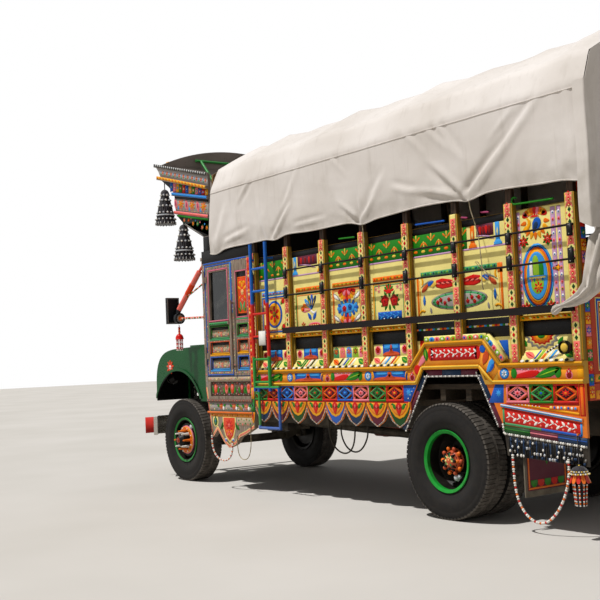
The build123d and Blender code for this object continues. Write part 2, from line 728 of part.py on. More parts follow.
def cab_front():
    """Scuttle and windscreen frame, with a centre pillar."""
    inner = body_half - cab_wall
    wall = block(cab_front_x - 45, cab_front_x, -inner, inner, cab_floor_z, cab_roof_z - 40)
    for side in (-1, 1):
        wall -= block(cab_front_x - 60, cab_front_x + 20, side * post_half, side * screen_half,
                      screen_low_z, screen_high_z)
    wall += block(cab_front_x - 2, cab_front_x + 40, -inner, inner, screen_high_z + 20, screen_high_z + 50)
    for side in (-1, 1):
        y0, y1 = side * bonnet_barrel_half, side * bonnet_barrel_half * 2
        wall += bonnet_barrel(min(y0, y1), max(y0, y1))
        wall += block(cab_front_x - 2, bonnet_hinge_x, y0, y1, bonnet_hinge_z - 5, bonnet_hinge_z + 5)
    return wall


def windscreen():
    """Two flat panes."""
    panes = []
    for side in (-1, 1):
        y0, y1 = side * (post_half + fit_gap), side * (screen_half - fit_gap)
        panes.append(block(cab_front_x - 28, cab_front_x - 20, y0, y1,
                           screen_low_z + fit_gap, screen_high_z - fit_gap))
    return panes


hinge_x = door_front_x - door_gap / 2
hinge_y = body_half + hinge_radius + 1
hinge_heights = (1520.0, 2430.0)


def hinge_barrel(low_z):
    """Upright barrel of a left door hinge, half a hinge high."""
    height = hinge_height - fit_gap
    return Pos(hinge_x, hinge_y, low_z + height / 2) * Cylinder(hinge_radius, height)


def cab_side():
    """Left cab side: rear leaf, header, A-pillar and the deep lower skirt with a scalloped edge."""
    front, rear = cab_front_x, cab_rear_x
    low = cab_side_bottom_z
    outline = [(rear, cab_roof_z - 40), (rear, 1180), (rear + 30, low + 70), (rear + 200, low),
               (rear + 330, low - 40), (rear + 430, low - 130), (rear + 560, low - 170), (rear + 660, low - 110),
               (rear + 800, low + 40), (front - 130, low - 60), (front - 60, low + 240), (front, 1180),
               (front, cab_roof_z - 40)]
    side = side_plate(outline, body_half - cab_wall, body_half)
    side -= block(door_front_x - door_width, door_front_x, body_half - 90, body_half + 20,
                  door_bottom_z, door_top_z)
    trays = [(cab_rear_x + 95, 1990, 2500, 18), (cab_rear_x + 95, 1770, 1900, 26),
             (cab_rear_x + 95, 1580, 1720, 26), (cab_rear_x + 95, 1390, 1530, 26)]
    for x, z0, z1, depth in trays:
        side -= block(x, x + 210, body_half - depth, body_half + 5, z0, z1)
    for z0, z1 in ((1010, 1050), (880, 905)):
        side += block(rear + 40, front - 40, body_half - 5, body_half + 16, z0, z1)
    side -= block(rear + 60, front - 110, body_half - 20, body_half + 5, 1080, 1250)
    grab_x = door_front_x - door_width - 40
    side += bar((grab_x, body_half + 45, 1390), (grab_x, body_half + 45, 2180), 13)
    for z in (1420, 2150):
        side += bar((grab_x, body_half - 10, z), (grab_x, body_half + 45, z), 11)
    for z in hinge_heights:
        for low_z in (z - hinge_height, z + hinge_height):
            side += hinge_barrel(low_z)
            side += block(hinge_x, hinge_x + 45, body_half - 1, hinge_y - 2,
                          low_z, low_z + hinge_height - fit_gap)
    for x, _, z in (cab_garland_route[0], cab_garland_route[-1], cab_rope_route[0], cab_rope_route[-1]):
        side += eye_block(x, z)
    return side


def door():
    """Left door leaf, with its window opening and three carved trays."""
    x1 = door_front_x - door_gap
    x0 = door_front_x - door_width + door_latch_gap
    leaf = block(x0, x1, body_half - cab_wall, body_half, door_bottom_z + door_gap, door_top_z - door_gap)
    for z in hinge_heights:
        leaf += hinge_barrel(z)
        leaf += block(x1 - 45, hinge_x, body_half - 1, hinge_y - 2, z, z + hinge_height - fit_gap)
    leaf -= block(x0 + 95, x1 - 95, body_half - 90, body_half + 20, 1975, 2545)
    for z0, z1 in ((1750, 1890), (1570, 1710), (1385, 1530)):
        leaf -= block(x0 + 80, x1 - 80, body_half - 26, body_half + 5, z0, z1)
    leaf += block(x0 + 60, x1 - 60, body_half - 5, body_half + 14, 1915, 1945)
    return leaf


def door_glass():
    """Left door pane."""
    x1 = door_front_x - door_gap - 95 - fit_gap
    x0 = door_front_x - door_width + door_latch_gap + 95 + fit_gap
    return block(x0, x1, body_half - 33, body_half - 27, 1975 + fit_gap, 2545 - fit_gap)


def seat():
    """Bench cushion and back, across the cab."""
    inner = body_half - cab_wall - 40
    box_top_z = 1510.0
    cushion = block(cab_rear_x + 45, cab_rear_x + 570, -inner, inner, box_top_z, box_top_z + 130)
    base = block(cab_rear_x + 60, cab_rear_x + 540, -inner, inner, cab_floor_z, box_top_z)
    back = block(cab_rear_x + 40 + fit_gap, cab_rear_x + 150, -inner, inner, box_top_z + 60, 2150)
    return [cushion + back, base]


def dashboard():
    """Shelf behind the scuttle, with the instrument cowl on the driver's side."""
    inner = body_half - cab_wall - 20
    rear = cab_front_x - 45 - fit_gap
    shelf = block(rear - 170, rear, -inner, inner, 1805, 1930)
    cowl = block(rear - 210, rear - 20, -760, -380, 1900, 1985)
    return shelf + cowl


wheel_tilt = 52.0  # of the column, from upright
wheel_radius = 215.0
driver_y = -570.0


def steering_wheel():
    """Rim, spokes and column, on the right."""
    hub = Vector(cab_front_x - 370, driver_y, 1880)
    down = Vector(sin(radians(wheel_tilt)), 0, -cos(radians(wheel_tilt)))
    place = Plane(origin=hub, x_dir=(0, 1, 0), z_dir=-down)
    wheel = place * Torus(wheel_radius, 15)
    wheel += place * Cylinder(38, 40)
    for turn in (30, 150, 270):
        tip = Vector(wheel_radius * cos(radians(turn)), wheel_radius * sin(radians(turn)), 0)
        wheel += bar(tuple(place.from_local_coords(tip * 0.1)), tuple(place.from_local_coords(tip)), 9)
    column = bar(tuple(hub), tuple(hub + down * 500), 22)
    return wheel + (column & block(hub.X - 50, cab_front_x - 45 - fit_gap, -1000, 0, 1200, 2000))


# Crown over the cab

crown_half = body_half - 15
crown_board = 32.0
crown_deck_z = cab_roof_z
crown_step_x = cab_front_x - 190
crown_tiers = [
    # forward reach from the cab front, height at the front, height at the step, side overhang
    (390.0, crown_deck_z + 450, crown_deck_z + 245, 0.0),
    (600.0, crown_deck_z + 645, crown_deck_z + 485, 18.0),
    (625.0, crown_deck_z + 880, crown_deck_z + 710, 26.0),
    (960.0, crown_deck_z + 1140, crown_deck_z + 835, 40.0),
    (1075.0, crown_deck_z + 1320, crown_deck_z + 995, 22.0),
]


crest_rise = 260.0


def crown_outline():
    """Side view of the crown, rising like a prow."""
    points = [(cab_rear_x, crown_deck_z), (cab_front_x - 40, crown_deck_z),
              (cab_front_x - 40, crown_deck_z + 250)]
    for reach, front_z, _, _ in crown_tiers:
        points.append((cab_front_x + reach, front_z))
    points += [(crown_step_x, crown_tiers[-1][2]), (crown_step_x, wall_top_z), (cab_rear_x, wall_top_z)]
    return points


def inset_outline():
    """Hollow of the crown, open at the top."""
    t = crown_board
    points = [(cab_rear_x + t, crown_deck_z + t), (cab_front_x - 40 - t, crown_deck_z + t),
              (cab_front_x - 40 - t, crown_deck_z + 270)]
    for reach, front_z, _, _ in crown_tiers:
        points.append((cab_front_x + reach - t * 1.2, front_z + t * 0.6))
    open_z = crown_tiers[-1][1] + 240
    points += [(cab_front_x + crown_tiers[-1][0] - t, open_z), (crown_step_x - 5, open_z),
               (crown_step_x - 5, wall_top_z + 60),
               (cab_rear_x + t, wall_top_z + 60)]
    return points


def crown():
    """Hollow prow of boards over the cab, with a moulding at each tier and an arched crest."""
    shell = side_plate(crown_outline(), -crown_half, crown_half)
    shell -= side_plate(inset_outline(), -crown_half + crown_board, crown_half - crown_board)
    for reach, front_z, step_z, overhang in crown_tiers[1:]:
        x1 = cab_front_x + reach + overhang
        moulding = side_plate([(crown_step_x, step_z - 26), (x1, front_z - 26), (x1, front_z + 14),
                               (crown_step_x, step_z + 14)], -crown_half - overhang, crown_half + overhang)
        core_half = crown_half - crown_board / 2
        core = side_plate([(crown_step_x - 50, step_z - 300), (x1 - 90, front_z - 300), (x1 - 90, front_z + 400),
                           (crown_step_x - 50, step_z + 400)], -core_half, core_half)
        shell += moulding - core
    crest_x = cab_front_x + crown_tiers[-1][0]
    crest_z = crown_tiers[-1][1]
    x = crest_x - 45
    end = crown_half - 60
    arch = ThreePointArc((x, end, crest_z), (x, 0, crest_z + crest_rise), (x, -end, crest_z))
    crest = make_face([arch, Line((x, -end, crest_z), (x, end, crest_z))])
    return shell + extrude(crest, amount=40, dir=(1, 0, 0))


def crown_rack():
    """Raking struts that hold the crest from behind, and the pole they carry."""
    crest_x = cab_front_x + crown_tiers[-1][0] - 45
    crest_z = crown_tiers[-1][1]
    rack = None
    for y in (-560, 560):
        foot = (crest_x - 470, y, crown_deck_z + 920)
        head = (crest_x - 17, y, crest_z + 95)
        strut = bar(foot, head, 17)
        rack = strut if rack is None else rack + strut
    rack += bar((crest_x - 17, -640, crest_z + 95), (crest_x - 17, 640, crest_z + 95), 16)
    rack += bar((crest_x - 470, -crown_half + crown_board, crown_deck_z + 920),
                (crest_x - 470, crown_half - crown_board, crown_deck_z + 920), 18)
    return rack


round_mirror_radius = 68.0


def mirrors():
    """Door mirrors on wrapped stays, left and right."""
    foot_x = cab_front_x + fit_gap
    foot_y = body_half - cab_wall / 2
    low = (cab_front_x + 470, body_half + 70, 2130)
    stay = taper((foot_x + 16, foot_y, 2655), low, 14, 32)
    stay += bar((low[0], low[1], low[2] + 5), (low[0], low[1], low[2] - 110), 26)
    stay += bar((low[0], low[1], low[2] - 90), (foot_x + 8, foot_y, 2030), 9)
    for z in (2655, 2030):
        stay += block(foot_x, foot_x + 16, foot_y - 20, foot_y + 20, z - 35, z + 35)
    glass = block(low[0] + 110, low[0] + 150, low[1] - 75, low[1] + 95, 1975, 2300)
    round_z = low[2] - 95
    stay += bar((low[0] - 38, low[1], round_z), (low[0] + 10, low[1], round_z), round_mirror_radius)
    stay += block(low[0], low[0] + 120, low[1] - 14, low[1] + 14, low[2] - 80, low[2] - 40)
    return pair(stay + glass)


tassel_length = 460.0
tassel_top_radius = 50.0
tassel_low_radius = 165.0
tassel_places = (
    # forward of the cab front, out from the middle, height of the bundle's top, height of its hook's seat
    (820.0, crown_half + 25, crown_deck_z + 960, crown_deck_z + 1068),
    (500.0, crown_half - 45, crown_deck_z + 475, crown_deck_z + 550),
)


rear_tassel_x = rear_axle_x - 1500
rear_tassel_y = body_half + 20
rear_tassel_top_z = 560.0
rear_eye_z = 800.0
rear_tassel_profile = (
    (rear_tassel_top_z, 0.0), (rear_tassel_top_z, 48.0), (rear_tassel_top_z - 24, 76.0),
    (rear_tassel_top_z - 34, 76.0), (rear_tassel_top_z - 34, 60.0), (rear_tassel_top_z - 70, 82.0),
    (rear_tassel_top_z - 120, 88.0), (rear_tassel_top_z - 130, 48.0), (rear_tassel_top_z - 320, 36.0),
    (rear_tassel_top_z - 320, 0.0),
)


def tassels():
    """Hanging bundles at the crown's front corners and below the rear corners, each on its own hook."""
    bundles = []
    for reach, y, top_z, seat_z in tassel_places:
        x = cab_front_x + reach
        bundle = taper((x, y, top_z), (x, y, top_z - tassel_length), tassel_top_radius, tassel_low_radius)
        bundle += taper((x, y, top_z - 5), (x, y, seat_z - fit_gap), 8, 2)
        bundles += pair(bundle)
    x, y = rear_tassel_x, rear_tassel_y
    string = bar((x, y, rear_tassel_top_z - 1), (x, y, rear_eye_z), 5)
    bundles += pair(string + turned_z(rear_tassel_profile, x, y))
    return bundles


def turned_z(profile, x, y):
    """Turns (z, radius) points about an upright line at x, y."""
    outline = make_face(Polyline(*[(r, 0, z) for z, r in profile], close=True))
    return Pos(x, y, 0) * revolve(outline, Axis.Z, 360)


# Cargo body

headboard_setback = 60.0
headboard_thickness = 40.0
batten_depth = 90.0


def cargo_floor():
    """Deck of boards, its cross bearers and the two runners on the frame."""
    rear = body_rear_x + post_width + fit_gap
    deck_z = floor_top_z - floor_board
    pieces = [block(rear, body_front_x - headboard_setback, -panel_inner_y, panel_inner_y, deck_z, floor_top_z)]
    for number in range(1, 2 * bay_count + 1):
        x = post_x(0) + number * post_pitch / 2
        pieces.append(block(x - 32, x + 32, -panel_inner_y, panel_inner_y, runner_top_z, deck_z))
    for side in (-1, 1):
        pieces.append(block(rear, body_front_x - headboard_setback, side * 350, side * rail_outer_y,
                            rail_top_z, runner_top_z))
    return pieces


def headboard():
    """Front wall of the cargo body, at the end of the deck, with three battens."""
    top = wall_top_z - top_rail_depth - fit_gap
    half = panel_outer_y - top_rail_width
    rear = body_front_x - headboard_setback
    front = rear + headboard_thickness
    wall = block(rear, front, -panel_inner_y, panel_inner_y, floor_top_z - floor_board, top)
    for z in (floor_top_z + 505, floor_top_z + 1055, floor_top_z + 1605):
        wall += block(front - 1, body_front_x, -half, half, z, z + batten_depth)
    return wall


arch_shoulder = ((350.0, 0.0), (150.0, 1.0), (-560.0, 1.0), (-730.0, 0.0))
arch_band_top_z = 1578.0
arch_open_top_z = 1330.0
arch_open = ((530.0, 800.0), (200.0, arch_open_top_z), (-500.0, arch_open_top_z), (-730.0, 860.0))


def opening_x_at(line, z):
    """Where the slope from line[0] to line[1] stands at height z."""
    (xa, za), (xb, zb) = line
    return xa + (xb - xa) * (z - za) / (zb - za)


arch_front_x = rear_axle_x + opening_x_at(arch_open[:2], band_bottom_z)
arch_rear_x = rear_axle_x + opening_x_at((arch_open[3], arch_open[2]), band_bottom_z)


def band_outline(low, high, band_high):
    """Side view of the painted band, which climbs over the wheel arch."""
    points = [(body_rear_x, low), (arch_rear_x, low), (rear_axle_x - 500, arch_open_top_z),
              (rear_axle_x + 200, arch_open_top_z), (arch_front_x, low), (body_front_x, low), (body_front_x, high)]
    for x, raised in arch_shoulder:
        points.append((rear_axle_x + x, band_high if raised else high))
    return points + [(body_rear_x, high)]


def side_wall():
    """Left plank wall with the painted band, its mouldings and the niches' sloping sills."""
    wall = block(body_rear_x + post_width, body_front_x - 5, panel_inner_y, panel_outer_y,
                 floor_top_z, panel_top_z)
    arch = side_plate([(rear_axle_x - 500, arch_open_top_z), (rear_axle_x + 200, arch_open_top_z),
                       (arch_front_x, band_bottom_z), (arch_front_x, 1000), (arch_rear_x, 1000),
                       (arch_rear_x, band_bottom_z)], panel_inner_y - 20, body_half + 60)
    wall -= arch
    band = side_plate(band_outline(band_bottom_z, band_top_z, arch_band_top_z), panel_outer_y, body_half)
    wall += band
    for low, lift in ((band_bottom_z, 0), (band_top_z - sill_rail, 1)):
        strip = [(body_rear_x, low), (body_rear_x, low + sill_rail)]
        if lift:
            ramp = [(rear_axle_x + x, (arch_band_top_z - sill_rail if raised else low))
                    for x, raised in arch_shoulder]
        else:
            ramp = [(arch_front_x, low), (rear_axle_x + 200, arch_open_top_z),
                    (rear_axle_x - 500, arch_open_top_z), (arch_rear_x, low)]
        ramp = ramp[::-1]
        lower = [(body_rear_x, low)] + ramp + [(body_front_x, low)]
        upper = [(x, z + sill_rail) for x, z in lower]
        wall += side_plate(lower + upper[::-1], body_half - 5, body_half + 14)
    for number in range(bay_count):
        x0 = post_x(number) + post_width / 2
        x1 = post_x(number + 1) - post_width / 2
        if number in (1, 2):
            continue
        wall += cross_plate([(panel_outer_y, band_top_z), (body_half - 4, band_top_z),
                             (panel_outer_y, band_top_z + 95)], x0, x1)
    return wall


def band_top_at(x):
    """Height of the painted band's upper edge at x."""
    line = [(rear_axle_x + dx, arch_band_top_z if raised else band_top_z) for dx, raised in arch_shoulder]
    for (xa, za), (xb, zb) in zip(line, line[1:]):
        if xb <= x <= xa:
            return za + (zb - za) * (x - xa) / (xb - xa)
    return band_top_z


post_head_inset = 12.0


def side_posts():
    """Left posts, from the painted band up to the top rail."""
    posts = []
    for number in range(bay_count + 1):
        x = post_x(number)
        half = post_width / 2
        low = max(band_top_at(x - half), band_top_at(x + half)) + fit_gap
        post = block(x - half, x + half, panel_outer_y + fit_gap, body_half, low, panel_top_z + 60)
        post += block(x - half + post_head_inset, x + half - post_head_inset, panel_outer_y + fit_gap,
                      body_half - post_head_inset, panel_top_z, wall_top_z - top_rail_depth)
        posts.append(post)
    return posts


def top_rail():
    """Left top rail, which ties the posts and carries the bows."""
    return block(body_rear_x, body_front_x - 5, panel_outer_y - top_rail_width, body_half,
                 wall_top_z - top_rail_depth, wall_top_z)


def guard_rails():
    """The long dark rail and the two rods outside the left posts."""
    rail_y = body_half + fit_gap
    pieces = [block(post_x(0), post_x(bay_count - 1) + 60, rail_y, rail_y + 34, rail_z, rail_z + rail_depth)]
    for z in rod_heights:
        y = rail_y + rod_radius
        pieces.append(bar((post_x(0) - 30, y, z), (post_x(bay_count - 1) + 40, y, z), rod_radius))
    return pieces


lattice_pitch = 245.0
lattice_low_z = 1040.0
skirt_thickness = 24.0
skirt_outer_y = body_half
pendant_low_z = 800.0
pendant_count = 8


def lattice_cell(x):
    """Cut-outs of one pierced square, as four triangles round a diamond."""
    half = lattice_pitch / 2 - 16
    low, high = lattice_low_z + 22, band_bottom_z - 14
    mid = (low + high) / 2
    arm = 17.0
    cuts = []
    for sx in (-1, 1):
        for low_edge, sign in ((low, 1), (high, -1)):
            corner = (x + sx * half, low_edge)
            along = (x + sx * arm, low_edge)
            up = (x + sx * half, mid - sign * 9)
            cuts.append([corner, along, up])
    heart = 0.42
    cuts.append([(x - half * heart, mid), (x, mid + (high - mid) * heart), (x + half * heart, mid),
                 (x, mid - (mid - low) * heart)])
    return [side_plate(points, skirt_outer_y - skirt_thickness - 10, skirt_outer_y + 10) for points in cuts]


def pendant(x, pitch):
    """One shield-shaped pendant below the lattice."""
    half = pitch / 2 - 3
    top = lattice_low_z
    return [(x - half, top), (x - half, top - 95), (x - half * 0.62, top - 185), (x, pendant_low_z),
            (x + half * 0.62, top - 185), (x + half, top - 95), (x + half, top)]


def front_skirt():
    """Left pierced frieze ahead of the wheel, with its row of pendants."""
    y0, y1 = skirt_outer_y - skirt_thickness, skirt_outer_y
    top = band_bottom_z - fit_gap
    start = rear_axle_x + opening_x_at(arch_open[:2], lattice_low_z)
    skirt = side_plate([(arch_front_x, top), (start, lattice_low_z), (body_front_x, lattice_low_z),
                        (body_front_x, top)], y0, y1)
    for number in range(int((body_front_x - start) / lattice_pitch)):
        for cut in lattice_cell(body_front_x - (number + 0.5) * lattice_pitch):
            skirt -= cut
    pitch = (body_front_x - start) / pendant_count
    for number in range(pendant_count):
        skirt += side_plate(pendant(body_front_x - (number + 0.5) * pitch, pitch), y0 + 4, y1)
    return skirt


def rear_skirt():
    """Left skirt behind the wheel: pierced squares over a raked board and its dark fringe."""
    y0, y1 = skirt_outer_y - skirt_thickness, skirt_outer_y
    top = band_bottom_z - fit_gap
    front = rear_axle_x + opening_x_at((arch_open[3], arch_open[2]), lattice_low_z)
    low_front = rear_axle_x - 730
    outline = [(arch_rear_x, top), (front, lattice_low_z), (low_front, 860), (body_rear_x + 40, 780),
               (body_rear_x, 780), (body_rear_x, top)]
    skirt = side_plate(outline, y0, y1)
    for number in range(3):
        for cut in lattice_cell(body_rear_x + 60 + lattice_pitch / 2 + number * lattice_pitch):
            skirt -= cut
    skirt += side_plate([(low_front + 10, 1010), (body_rear_x + 30, 900), (body_rear_x + 30, 930),
                         (low_front + 10, 1036)], y1 - 4, y1 + 12)
    skirt += side_plate([(low_front, 862), (body_rear_x, 782), (body_rear_x, 560), (low_front - 30, 610)],
                        y0 + 6, y1 - 6)
    skirt += eye_block(rear_tassel_x, rear_eye_z)
    for x, _, z in (rear_garland_route[0], rear_garland_route[-1]):
        skirt += eye_block(x, z) + block(x - eye_half, x + eye_half, y1 - 7, y1 + 1, z, z + eye_height)
    return skirt


def skirts():
    """Skirts of both sides, before and behind the rear wheels."""
    return pair(front_skirt()) + pair(rear_skirt())


gate_top_z = 1950.0
gate_bottom_z = floor_top_z
gate_half = panel_outer_y - 60 - door_gap
gate_barrel_radius = 10.0
gate_barrel_half = 45.0
gate_hinge_x = body_rear_x - gate_barrel_radius - 1
gate_hinge_z = floor_top_z - door_gap - gate_barrel_radius
gate_hinges = (-760.0, 0.0, 760.0)


def gate_barrel(y0, y1):
    """Part of a tailgate hinge's barrel, from y0 to y1."""
    return bar((gate_hinge_x, y0, gate_hinge_z), (gate_hinge_x, y1, gate_hinge_z), gate_barrel_radius)


def rear_frame():
    """Rear corner posts, the sill below the gate and the header."""
    x0, x1 = body_rear_x, body_rear_x + post_width
    inner = panel_outer_y - 60
    sill_top_z = floor_top_z - door_gap
    frame = None
    for side in (-1, 1):
        post = block(x0, x1, side * inner, side * (panel_outer_y - fit_gap),
                     1060, wall_top_z - top_rail_depth - fit_gap)
        frame = post if frame is None else frame + post
    frame += block(x0, x1, -inner - 1, inner + 1, 1060, sill_top_z)
    frame += block(x0, x1, -inner - 1, inner + 1, wall_top_z - 170, wall_top_z - top_rail_depth - fit_gap)
    for y in gate_hinges:
        for y0 in (y - gate_barrel_half * 2, y + gate_barrel_half):
            y1 = y0 + gate_barrel_half
            frame += gate_barrel(y0, y1)
            frame += block(gate_hinge_x, x0 + 1, y0, y1, gate_hinge_z - 5, gate_hinge_z + 3)
    return frame


def tailgate():
    """Drop gate of framed boards."""
    x0, x1 = body_rear_x, body_rear_x + 40
    gate = block(x0, x1, -gate_half, gate_half, gate_bottom_z, gate_top_z)
    for y0, y1 in ((-gate_half + 60, -gate_half / 3 - 20), (-gate_half / 3 + 20, gate_half / 3 - 20),
                   (gate_half / 3 + 20, gate_half - 60)):
        gate -= block(x0 - 5, x0 + 14, y0, y1, gate_bottom_z + 80, gate_top_z - 80)
    for y in gate_hinges:
        y0, y1 = y - gate_barrel_half + fit_gap, y + gate_barrel_half - fit_gap
        gate += gate_barrel(y0, y1)
        gate += block(gate_hinge_x - 5, gate_hinge_x + 3, y0, y1, gate_hinge_z, gate_bottom_z + 60)
        gate += block(gate_hinge_x - 5, x0 + 1, y0, y1, gate_bottom_z + 20, gate_bottom_z + 60)
    return gate


# Canvas cover and its bows

cover_half = body_half + 50
cover_low_z = 2780.0
cover_seam_z = 3440.0
cover_thickness = 12.0
cover_front_x = crown_step_x - 4
cover_rear_x = rear_end_x
flap_low_z = 2020.0
roof_line = ((cover_half, cover_seam_z), (cover_half - 80, 3720.0), (cover_half - 650, 4050.0), (0.0, 4115.0))


def roof_points(drop):
    """Right-to-left roof line, lowered and narrowed by drop."""
    left = [(y - drop if y else 0.0, z - drop) for y, z in roof_line]
    return left + [(-y, z) for y, z in left[-2::-1]]


def cover_section(low_z, drop):
    """Closed cross-section of the cover."""
    half = cover_half - drop
    return [(half, low_z)] + roof_points(drop) + [(-half, low_z)]


def cover():
    """Canvas cover: two sides, a ridged roof, a front gable and a long rear flap."""
    t = cover_thickness
    shell = cross_plate(cover_section(cover_low_z, 0), cover_rear_x, cover_front_x)
    shell -= cross_plate(cover_section(cover_low_z - 50, t), cover_rear_x + t, cover_front_x - t)
    under = block(cover_front_x - t - 5, cover_front_x + 5, -cover_half + t, cover_half - t, cover_low_z - 50,
                  wall_top_z + 12)
    shell -= under
    flap = block(cover_rear_x, cover_rear_x + t, -cover_half + 20, cover_half - 20, flap_low_z, cover_low_z + 10)
    return shell + flap


bow_size = 32.0
bow_gap = cover_thickness + fit_gap
bow_foot_y = body_half - 30.0


def cover_bows():
    """Bent bows on the walls' top rails, tied by a ridge pole and side poles."""
    stations = [post_x(number) for number in range(bay_count + 1)] + [crown_step_x - 60]
    outer = roof_points(bow_gap)[1:-1]
    inner = roof_points(bow_gap + bow_size)[1:-1]
    foot_inner_y = bow_foot_y - bow_size
    ring = [(bow_foot_y, wall_top_z)] + outer + [(-bow_foot_y, wall_top_z), (-foot_inner_y, wall_top_z)]
    ring += inner[::-1] + [(foot_inner_y, wall_top_z)]
    frame = None
    for x in stations:
        bow = cross_plate(ring, x - bow_size / 2, x + bow_size / 2)
        frame = bow if frame is None else frame + bow
    for y, z in inner:
        frame += block(stations[0] - 20, stations[-1] + 20, y - bow_size / 2, y + bow_size / 2,
                       z - bow_size / 2, z + bow_size / 4)
    return frame


ladder_x = post_x(bay_count - 1) + 312
ladder_width = 290.0
ladder_y = body_half + 42
ladder_foot_z = 1180.0
ladder_top_z = 2770.0
ladder_rungs = 6
step_low_z = 740.0


def ladder():
    """Side ladder with its drop step, on the left between cab and body."""
    x0, x1, y = ladder_x, ladder_x + ladder_width, ladder_y
    frame = bar((x0 - 5, y, ladder_foot_z), (x1 + 5, y, ladder_foot_z), 16)
    for x, seat_y in ((x0, panel_outer_y), (x1, body_half)):
        frame += bar((x, y, ladder_foot_z - 40), (x, y, ladder_top_z), 20)
        frame += bar((x, body_half + fit_gap, 1290), (x, y, 1290), 11)
        frame += bar((x, seat_y + fit_gap, 2595), (x, y, 2595), 11)
    for number in range(ladder_rungs):
        z = ladder_foot_z + 60 + 250 * number
        frame += bar((x0, y, z), (x1, y, z), 13)
    step_x0, step_x1 = x0 - 160, x1 - 70
    for x in (step_x0, step_x1):
        frame += bar((x, y, step_low_z), (x, y, ladder_foot_z), 16)
    for z in (step_low_z, ladder_foot_z):
        frame += bar((step_x0 - 12, y, z), (step_x1 + 12, y, z), 16)
    return frame


def cord_tube(name, route, diameter):
    """Tube of one cord along its route, as straight runs and tangent arcs; prints its radii and length."""
    points = [Vector(*point) for point in route]
    runs = [(b - a).length for a, b in zip(points, points[1:])]
    radii = []
    for before, after, run_in, run_out in zip(points, points[2:], runs, runs[1:]):
        corner = points[len(radii) + 1]
        turn = radians((corner - before).get_angle(after - corner))
        radii.append(0.45 * min(run_in, run_out) / tan(turn / 2))
    path = FilletPolyline(*points, radius=radii)
    section = Plane(origin=points[0], z_dir=points[1] - points[0]) * Circle(diameter / 2)
    tube = sweep(section, path=path)
    print(name, "radii", [round(r) for r in radii], "length", round(path.length),
          "volume ratio", round(tube.volume / (pi * diameter ** 2 / 4 * path.length), 4))
    return tube


def mudflaps():
    """Rubber flaps behind the rear wheels, hung from a floor bearer."""
    x = rear_axle_x - 900
    flap = block(x - 6, x + 6, 640, 1185, 270, runner_top_z)
    return pair(flap)


def build():
    """Makes and writes every node."""
    save("chassis_frame", *chassis_frame())
    save("engine", *engine())
    save("prop_shaft", prop_shaft())
    save("front_axle", front_axle())
    save("rear_axle", rear_axle())
    save("leaf_springs", *leaf_springs())
    save("fuel_tank", fuel_tank())
    save("front_bumper", front_bumper())
    save("nose_panel", nose_panel())
    save("grille", grille())
    save("front_wings", *pair(front_wing()))
    save("headlamps", *headlamps())
    save("bonnet", bonnet())
    save("cab_floor", cab_floor())
    save("cab_front", cab_front())
    save("cab_back", cab_back())
    save("cab_roof", cab_roof())
    save("cab_sides", *pair(cab_side()))
    save("windscreen", *windscreen())
    save("seat", *seat())
    save("dashboard", dashboard())
    save("steering_wheel", steering_wheel())
    save("crown", crown())
    save("crown_rack", crown_rack())
    save("mirrors", *mirrors())
    save("tassels", *tassels())
    save("cargo_floor", *cargo_floor())
    save("headboard", headboard())
    save("side_walls", *pair(side_wall()))
    save("side_posts", *both(side_posts()))
    save("top_rails", *pair(top_rail()))
    save("guard_rails", *both(guard_rails()))
    save("skirts", *skirts())
    save("rear_frame", rear_frame())
    save("tailgate", tailgate())
    save("cover", cover())
    save("cover_bows", cover_bows())
    save("ladder", ladder())
    save("mudflaps", *mudflaps())
    save("air_hose", cord_tube("air_hose", air_hose_route, hose_diameter))
    save("brake_hose", cord_tube("brake_hose", brake_hose_route, hose_diameter))
    save("cab_garland", cord_tube("cab_garland", cab_garland_route, garland_diameter))
    save("cab_rope", cord_tube("cab_rope", cab_rope_route, rope_diameter))
    save("rear_garland", cord_tube("rear_garland", rear_garland_route, garland_diameter))
    left_door, left_glass = door(), door_glass()
    save("door_left", left_door)
    save("door_right", mirrored(left_door))
    save("door_glass_left", left_glass)
    save("door_glass_right", mirrored(left_glass))
    stub, rim, twin_rims = knuckle(), front_rim(), rear_rims()
    front_tyre = turned(tyre(front_tyre_y), front_axle_x, axle_z)
    twin = [turned(tyre(twin_outer_y), rear_axle_x, axle_z),
            turned(tyre(twin_outer_y - twin_spacing), rear_axle_x, axle_z)]
    for side, place in (("left", lambda shape: shape), ("right", mirrored)):
        save(f"knuckle_{side}", place(stub))
        save(f"front_{side}_rim", place(rim))
        save(f"front_{side}_tyre", place(front_tyre))
        save(f"rear_{side}_rims", place(twin_rims))
        save(f"rear_{side}_tyres", *[place(shape) for shape in twin])


build()
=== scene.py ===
import json
import math
import random

import bmesh
import bpy
import numpy as np
from bpy.props import FloatProperty, FloatVectorProperty, IntProperty, PointerProperty
from mathutils import Matrix, Vector, noise


